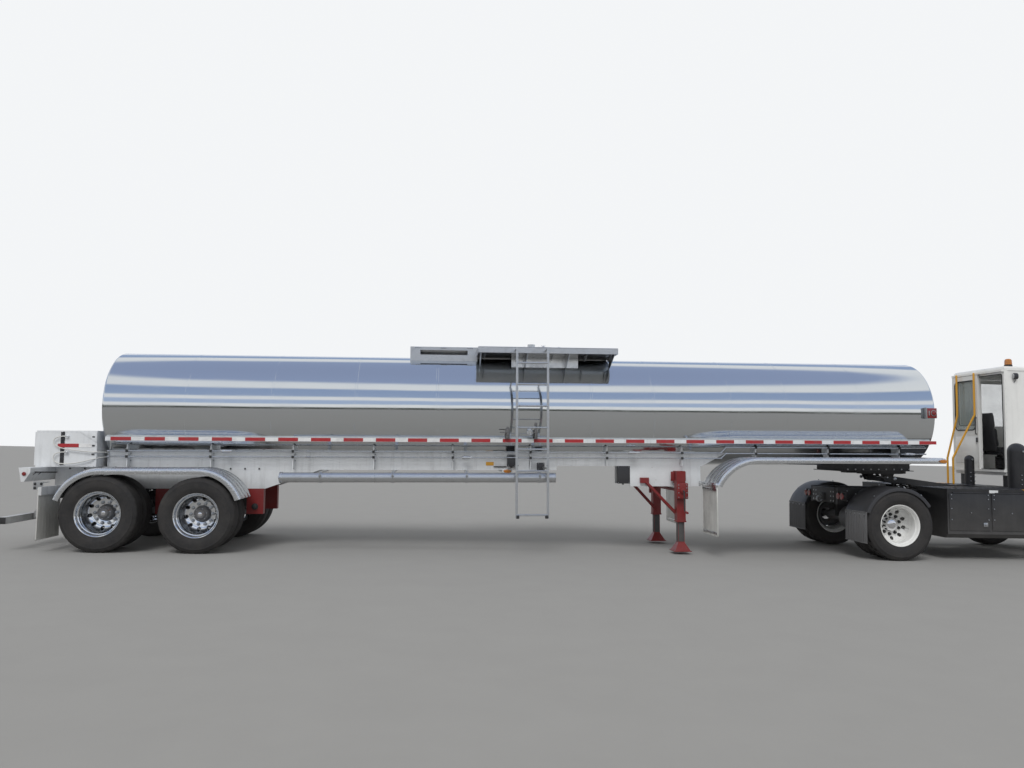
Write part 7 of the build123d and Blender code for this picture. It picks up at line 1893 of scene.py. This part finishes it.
# hood: grille slats, side latches, hinge straps, intake mesh and a badge-free nose
hood = {"front": 8.0576}
hoodTrim = []
for number in range(9):
    z = 1.125 + number * 0.030
    hoodTrim.append(boxPiece("slat", (hood["front"] - 0.004, -1.02, z),
                             (hood["front"] + 0.006, -0.24, z + 0.012), 0.003))
hoodTrim += [boxPiece("frame", (hood["front"] - 0.002, -1.05, z), (hood["front"] + 0.009, -0.21, z + 0.018),
                      0.004) for z in (1.098, 1.398)]
onTractor("grilleSlats", hoodTrim, plasticBlack)
latches = []
for x in (7.05, 7.80):
    latches.append(boxPiece("latch", (x - 0.016, -1.192, 1.250), (x + 0.016, -1.181, 1.345), 0.005))
    latches.append(yDrum("keeper", x, -1.181, -1.194, 1.235, 0.013, 16, 0.003))
for x in (6.98, 7.42):
    latches.append(xDrum("hinge", x, x + 0.12, -0.16, 1.563, 0.010, 14, 0.002))
onTractor("hoodLatches", latches, sealRubber)
vents = [boxPiece("vent", (x, -1.1825, 1.120), (x + 0.012, -1.1802, 1.205), 0.001, 1)
         for x in [7.15 + 0.030 * n for n in range(18)]]
onTractor("hoodVents", vents, plasticBlack, 30)

# front bumper and headlamps: lenses, bezels and turn lamps
bezels, lensBits = [], []
for y in (-0.980, -0.790, 0.790, 0.980):
    bezels.append(ringPiece("bezel", (8.1620, y, 0.630), (1, 0, 0), 0.078, 0.0065, 52, 12))
    lensBits.append(makeLamp("lens", 8.148, y, 0.630, 0.073, 1, 0.014))
for y in (-1.110, 1.110):
    bezels.append(boxPiece("turn", (8.158, y - 0.050, 0.560), (8.166, y + 0.050, 0.700), 0.004, 3))
onTractor("headlampLenses", lensBits, clearLens, 42)
onTractor("headlampBezels", bezels, brightSteel, 42)
dress("hood", cabPaint)
dress("tractor_lamps", clearLens)
print("scene: hood and bumper made")


# seat: stuffed cushions over a pan, with seams, bolsters and a belt
def makeCushion(name, low, high, corner=0.030):
    # a rounded block, puffed up by a short pressure run and held to a small movement
    cushion = boxPiece(name, low, high, corner, 5)
    editMesh(cushion, lambda: bpy.ops.mesh.subdivide(number_cuts=4))
    onlyThis(cushion)
    remesh = cushion.modifiers.new("Remesh", "REMESH")
    remesh.mode = "VOXEL"
    remesh.voxel_size = 0.008
    bpy.ops.object.modifier_apply(modifier=remesh.name)
    applyModifier(cushion, "SMOOTH", {"factor": 0.6, "iterations": 6})
    before = [point.co.copy() for point in cushion.data.vertices]
    onlyThis(cushion)
    cloth = cushion.modifiers.new("Cloth", "CLOTH")
    cloth.settings.use_pressure = True
    cloth.settings.uniform_pressure_force = 4.0
    cloth.settings.effector_weights.gravity = 0.0
    cloth.settings.quality = 4
    cloth.point_cache.frame_start = 1
    cloth.point_cache.frame_end = 20
    for number in range(1, 21):
        bpy.context.scene.frame_set(number)
    bpy.ops.object.modifier_apply(modifier=cloth.name)
    bpy.context.scene.frame_set(1)
    for point, start in zip(cushion.data.vertices, before):
        step = point.co - start
        if step.length > 0.012:
            point.co = start + step.normalized() * 0.012
    return cushion


seat = {"rear": 6.9876, "front": 7.4676, "low": 0.395, "high": 0.875, "base": 1.575, "top": 1.705,
        "lean": 0.070 / 0.682}
cushions = {
    "seatCushion": ((seat["rear"] + 0.075, seat["low"] + 0.055, seat["base"] + 0.018),
                    (seat["front"] - 0.014, seat["high"] - 0.055, seat["top"] - 0.010)),
    "seatBolsterRight": ((seat["rear"] + 0.075, seat["low"] + 0.010, seat["base"] + 0.012),
                         (seat["front"] - 0.020, seat["low"] + 0.070, seat["top"] - 0.004)),
    "seatBolsterLeft": ((seat["rear"] + 0.075, seat["high"] - 0.070, seat["base"] + 0.012),
                        (seat["front"] - 0.020, seat["high"] - 0.010, seat["top"] - 0.004)),
}
for title, (low, high) in cushions.items():
    pad = makeCushion(title, low, high, 0.032 if "Bolster" not in title else 0.026)
    wear(pad, "cab", seatCloth, 60, ["seat"] if title == "seatCushion" else ())


def leaned(piece):
    # tips an upright part of the seat back
    for point in piece.data.vertices:
        point.co.x -= seat["lean"] * (point.co.z - 1.62)
    return piece


backParts = {
    "seatBack": ((seat["rear"] + 0.022, seat["low"] + 0.060, 1.700),
                 (seat["rear"] + 0.100, seat["high"] - 0.060, 2.030)),
    "seatBackUpper": ((seat["rear"] + 0.026, seat["low"] + 0.085, 2.038),
                      (seat["rear"] + 0.092, seat["high"] - 0.085, 2.272)),
}
for title, (low, high) in backParts.items():
    pad = leaned(makeCushion(title, low, high))
    wear(pad, "cab", seatCloth, 60)


shell = leaned(boxPiece("seatShell", (seat["rear"] + 0.004, seat["low"] + 0.035, 1.640),
                        (seat["rear"] + 0.030, seat["high"] - 0.035, 2.285), 0.012, 3))
pan = boxPiece("seatPan", (seat["rear"] + 0.060, seat["low"] + 0.015, seat["base"] - 0.004),
               (seat["front"] - 0.006, seat["high"] - 0.015, seat["base"] + 0.024), 0.010, 3)
pedestal = [boxPiece("pedestal", (seat["rear"] + 0.125, seat["low"] + 0.090, 1.2755),
                     (seat["front"] - 0.125, seat["high"] - 0.090, 1.330), 0.008)]
pedestal.append(zDrum("column", 7.2276, 0.635, 1.325, 1.575, 0.060, 40, 0.004))
for number in range(7):
    pedestal.append(ringPiece("gaiter", (7.2276, 0.635, 1.350 + number * 0.030), (0, 0, 1), 0.075, 0.016, 48,
                              10))
onCab("seatPanShell", [shell, pan], plasticBlack, 42)
onCab("seatPedestal", pedestal, sealRubber, 45)
piping = []
for y in (seat["low"] + 0.068, seat["high"] - 0.068):
    piping.append(xDrum("piping", seat["rear"] + 0.120, seat["front"] - 0.060, y, seat["top"] - 0.010, 0.0045,
                        8))
for number in range(4):
    x = seat["rear"] + 0.160 + number * 0.085
    piping.append(yDrum("seam", x, seat["low"] + 0.095, seat["high"] - 0.095, seat["top"] - 0.0075, 0.0030,
                        8))
onCab("seatPiping", piping, sealRubber, 50)
belt = [tubePiece("belt",
                  [(7.010, seat["low"] - 0.012, 1.600), (7.05, seat["low"] - 0.016, 1.560),
                   (7.12, seat["low"] - 0.016, 1.500)], 0.011, 0.02, 4, 3),
        boxPiece("buckle", (7.055, seat["low"] - 0.030, 1.610), (7.085, seat["low"] - 0.008, 1.700), 0.006)]
onCab("seatBelt", belt, plasticBlack, 42)

# dashboard: gauge pod, dials with needles, switch row, vents and a shift lever
face = 7.7923
pod = boxPiece("gaugePod", (face - 0.030, 0.440, 1.845), (face + 0.010, 0.830, 1.985), 0.016, 4)
vents = [boxPiece("vent", (face - 0.008, y - 0.055, 1.885), (face, y + 0.055, 1.935), 0.006)
         for y in (0.10, 0.31, 0.96, 1.08)]
lid = boxPiece("gloveLid", (face - 0.006, 0.045, 1.848), (face, 0.390, 1.876), 0.003)
onCab("dashPod", [pod, lid] + vents, plasticBlack)
dialRims, dialFaces, needles, keys = [], [], [], []
for y, z, radius in ((0.555, 1.915, 0.046), (0.715, 1.915, 0.046), (0.635, 1.945, 0.022),
                     (0.635, 1.885, 0.022), (0.465, 1.915, 0.018), (0.805, 1.915, 0.018)):
    dialRims.append(ringPiece("rim", (face - 0.031, y, z), (1, 0, 0), radius, 0.0030, 40, 8))
    dialFaces.append(xDrum("face", face - 0.0305, face - 0.0325, y, z, radius - 0.001, 36))
    needles.append(drumPiece("needle", (face - 0.0340, y, z),
                             (face - 0.0340, y + radius * 0.55, z + radius * 0.5), 0.0012, 6,
                             topRadius=0.0005))
    for number in range(9):
        angle = math.radians(-30 + number * 30)
        inner = Vector((face - 0.0332, y + radius * 0.74 * math.cos(angle),
                        z + radius * 0.74 * math.sin(angle)))
        outer = Vector((face - 0.0332, y + radius * 0.90 * math.cos(angle),
                        z + radius * 0.90 * math.sin(angle)))
        needles.append(drumPiece("mark", inner, outer, 0.0009, 4))
for number in range(4):
    y = 0.895 + number * 0.034
    keys.append(boxPiece("key", (face - 0.010, y, 1.844), (face, y + 0.026, 1.868), 0.004))
onCab("dialRims", dialRims, brightSteel, 42)
onCab("dialFaces", dialFaces, framePaint)
onCab("dialMarks", needles, whitePaint)
onCab("dashKeys", keys, greyPaint)
lever = tubePiece("shiftLever", [(7.62, 0.99, 1.276), (7.62, 0.99, 1.62), (7.60, 0.99, 1.72)], 0.009, 0.04, 5,
                  3)
leverKnob = drumPiece("leverKnob", (7.601, 0.99, 1.705), (7.592, 0.99, 1.765), 0.021, 28, 0.008, segments=4)
wear(lever, "cab", brightSteel, 45)
wear(leverKnob, "cab", plasticBlack, 45)
pedals = [boxPiece("pedal", (7.845, y - 0.035, 1.315), (7.860, y + 0.035, 1.420), 0.006, 3)
          for y in (0.53, 0.72)]
onCab("pedals", pedals, sealRubber)

# steering wheel: leather rim with finger swell, three spokes and a horn pad
hubPoint = Vector((7.7907, 0.635, 2.088))
wheelAxis = Vector((-0.5736, 0, 0.8192)).normalized()
rim = ringPiece("steeringRim", hubPoint, wheelAxis, 0.210, 0.0158, 84, 18)
basis = Matrix.Translation(hubPoint) @ turnTo(wheelAxis).to_matrix().to_4x4()
spokes = []
for angle in (90, 210, 330):
    a = math.radians(angle)
    inner = basis @ Vector((0.040 * math.cos(a), 0.040 * math.sin(a), -0.004))
    outer = basis @ Vector((0.203 * math.cos(a), 0.203 * math.sin(a), 0.0))
    spokes.append(drumPiece("spoke", inner, outer, 0.0130, 20, topRadius=0.0095))
swells = [ringPiece("swell", basis @ Vector((0.210 * math.cos(a), 0.210 * math.sin(a), 0)),
                    basis.to_3x3() @ Vector((-math.sin(a), math.cos(a), 0)), 0.0140, 0.0032, 24, 6)
          for a in [math.radians(10 * n) for n in range(36)]]
pad = drumPiece("hornPad", hubPoint - wheelAxis * 0.014, hubPoint + wheelAxis * 0.020, 0.052, 44, 0.010,
                segments=4)
wear(joined("steeringGrip", [rim] + swells), "steering_wheel", sealRubber, 50,
     ["steering_wheel"])
wear(joined("steeringSpokes", [pad] + spokes), "steering_wheel", plasticBlack, 45)
dress("dashboard", plasticBlack)
print("scene: seat, dashboard and steering wheel made")
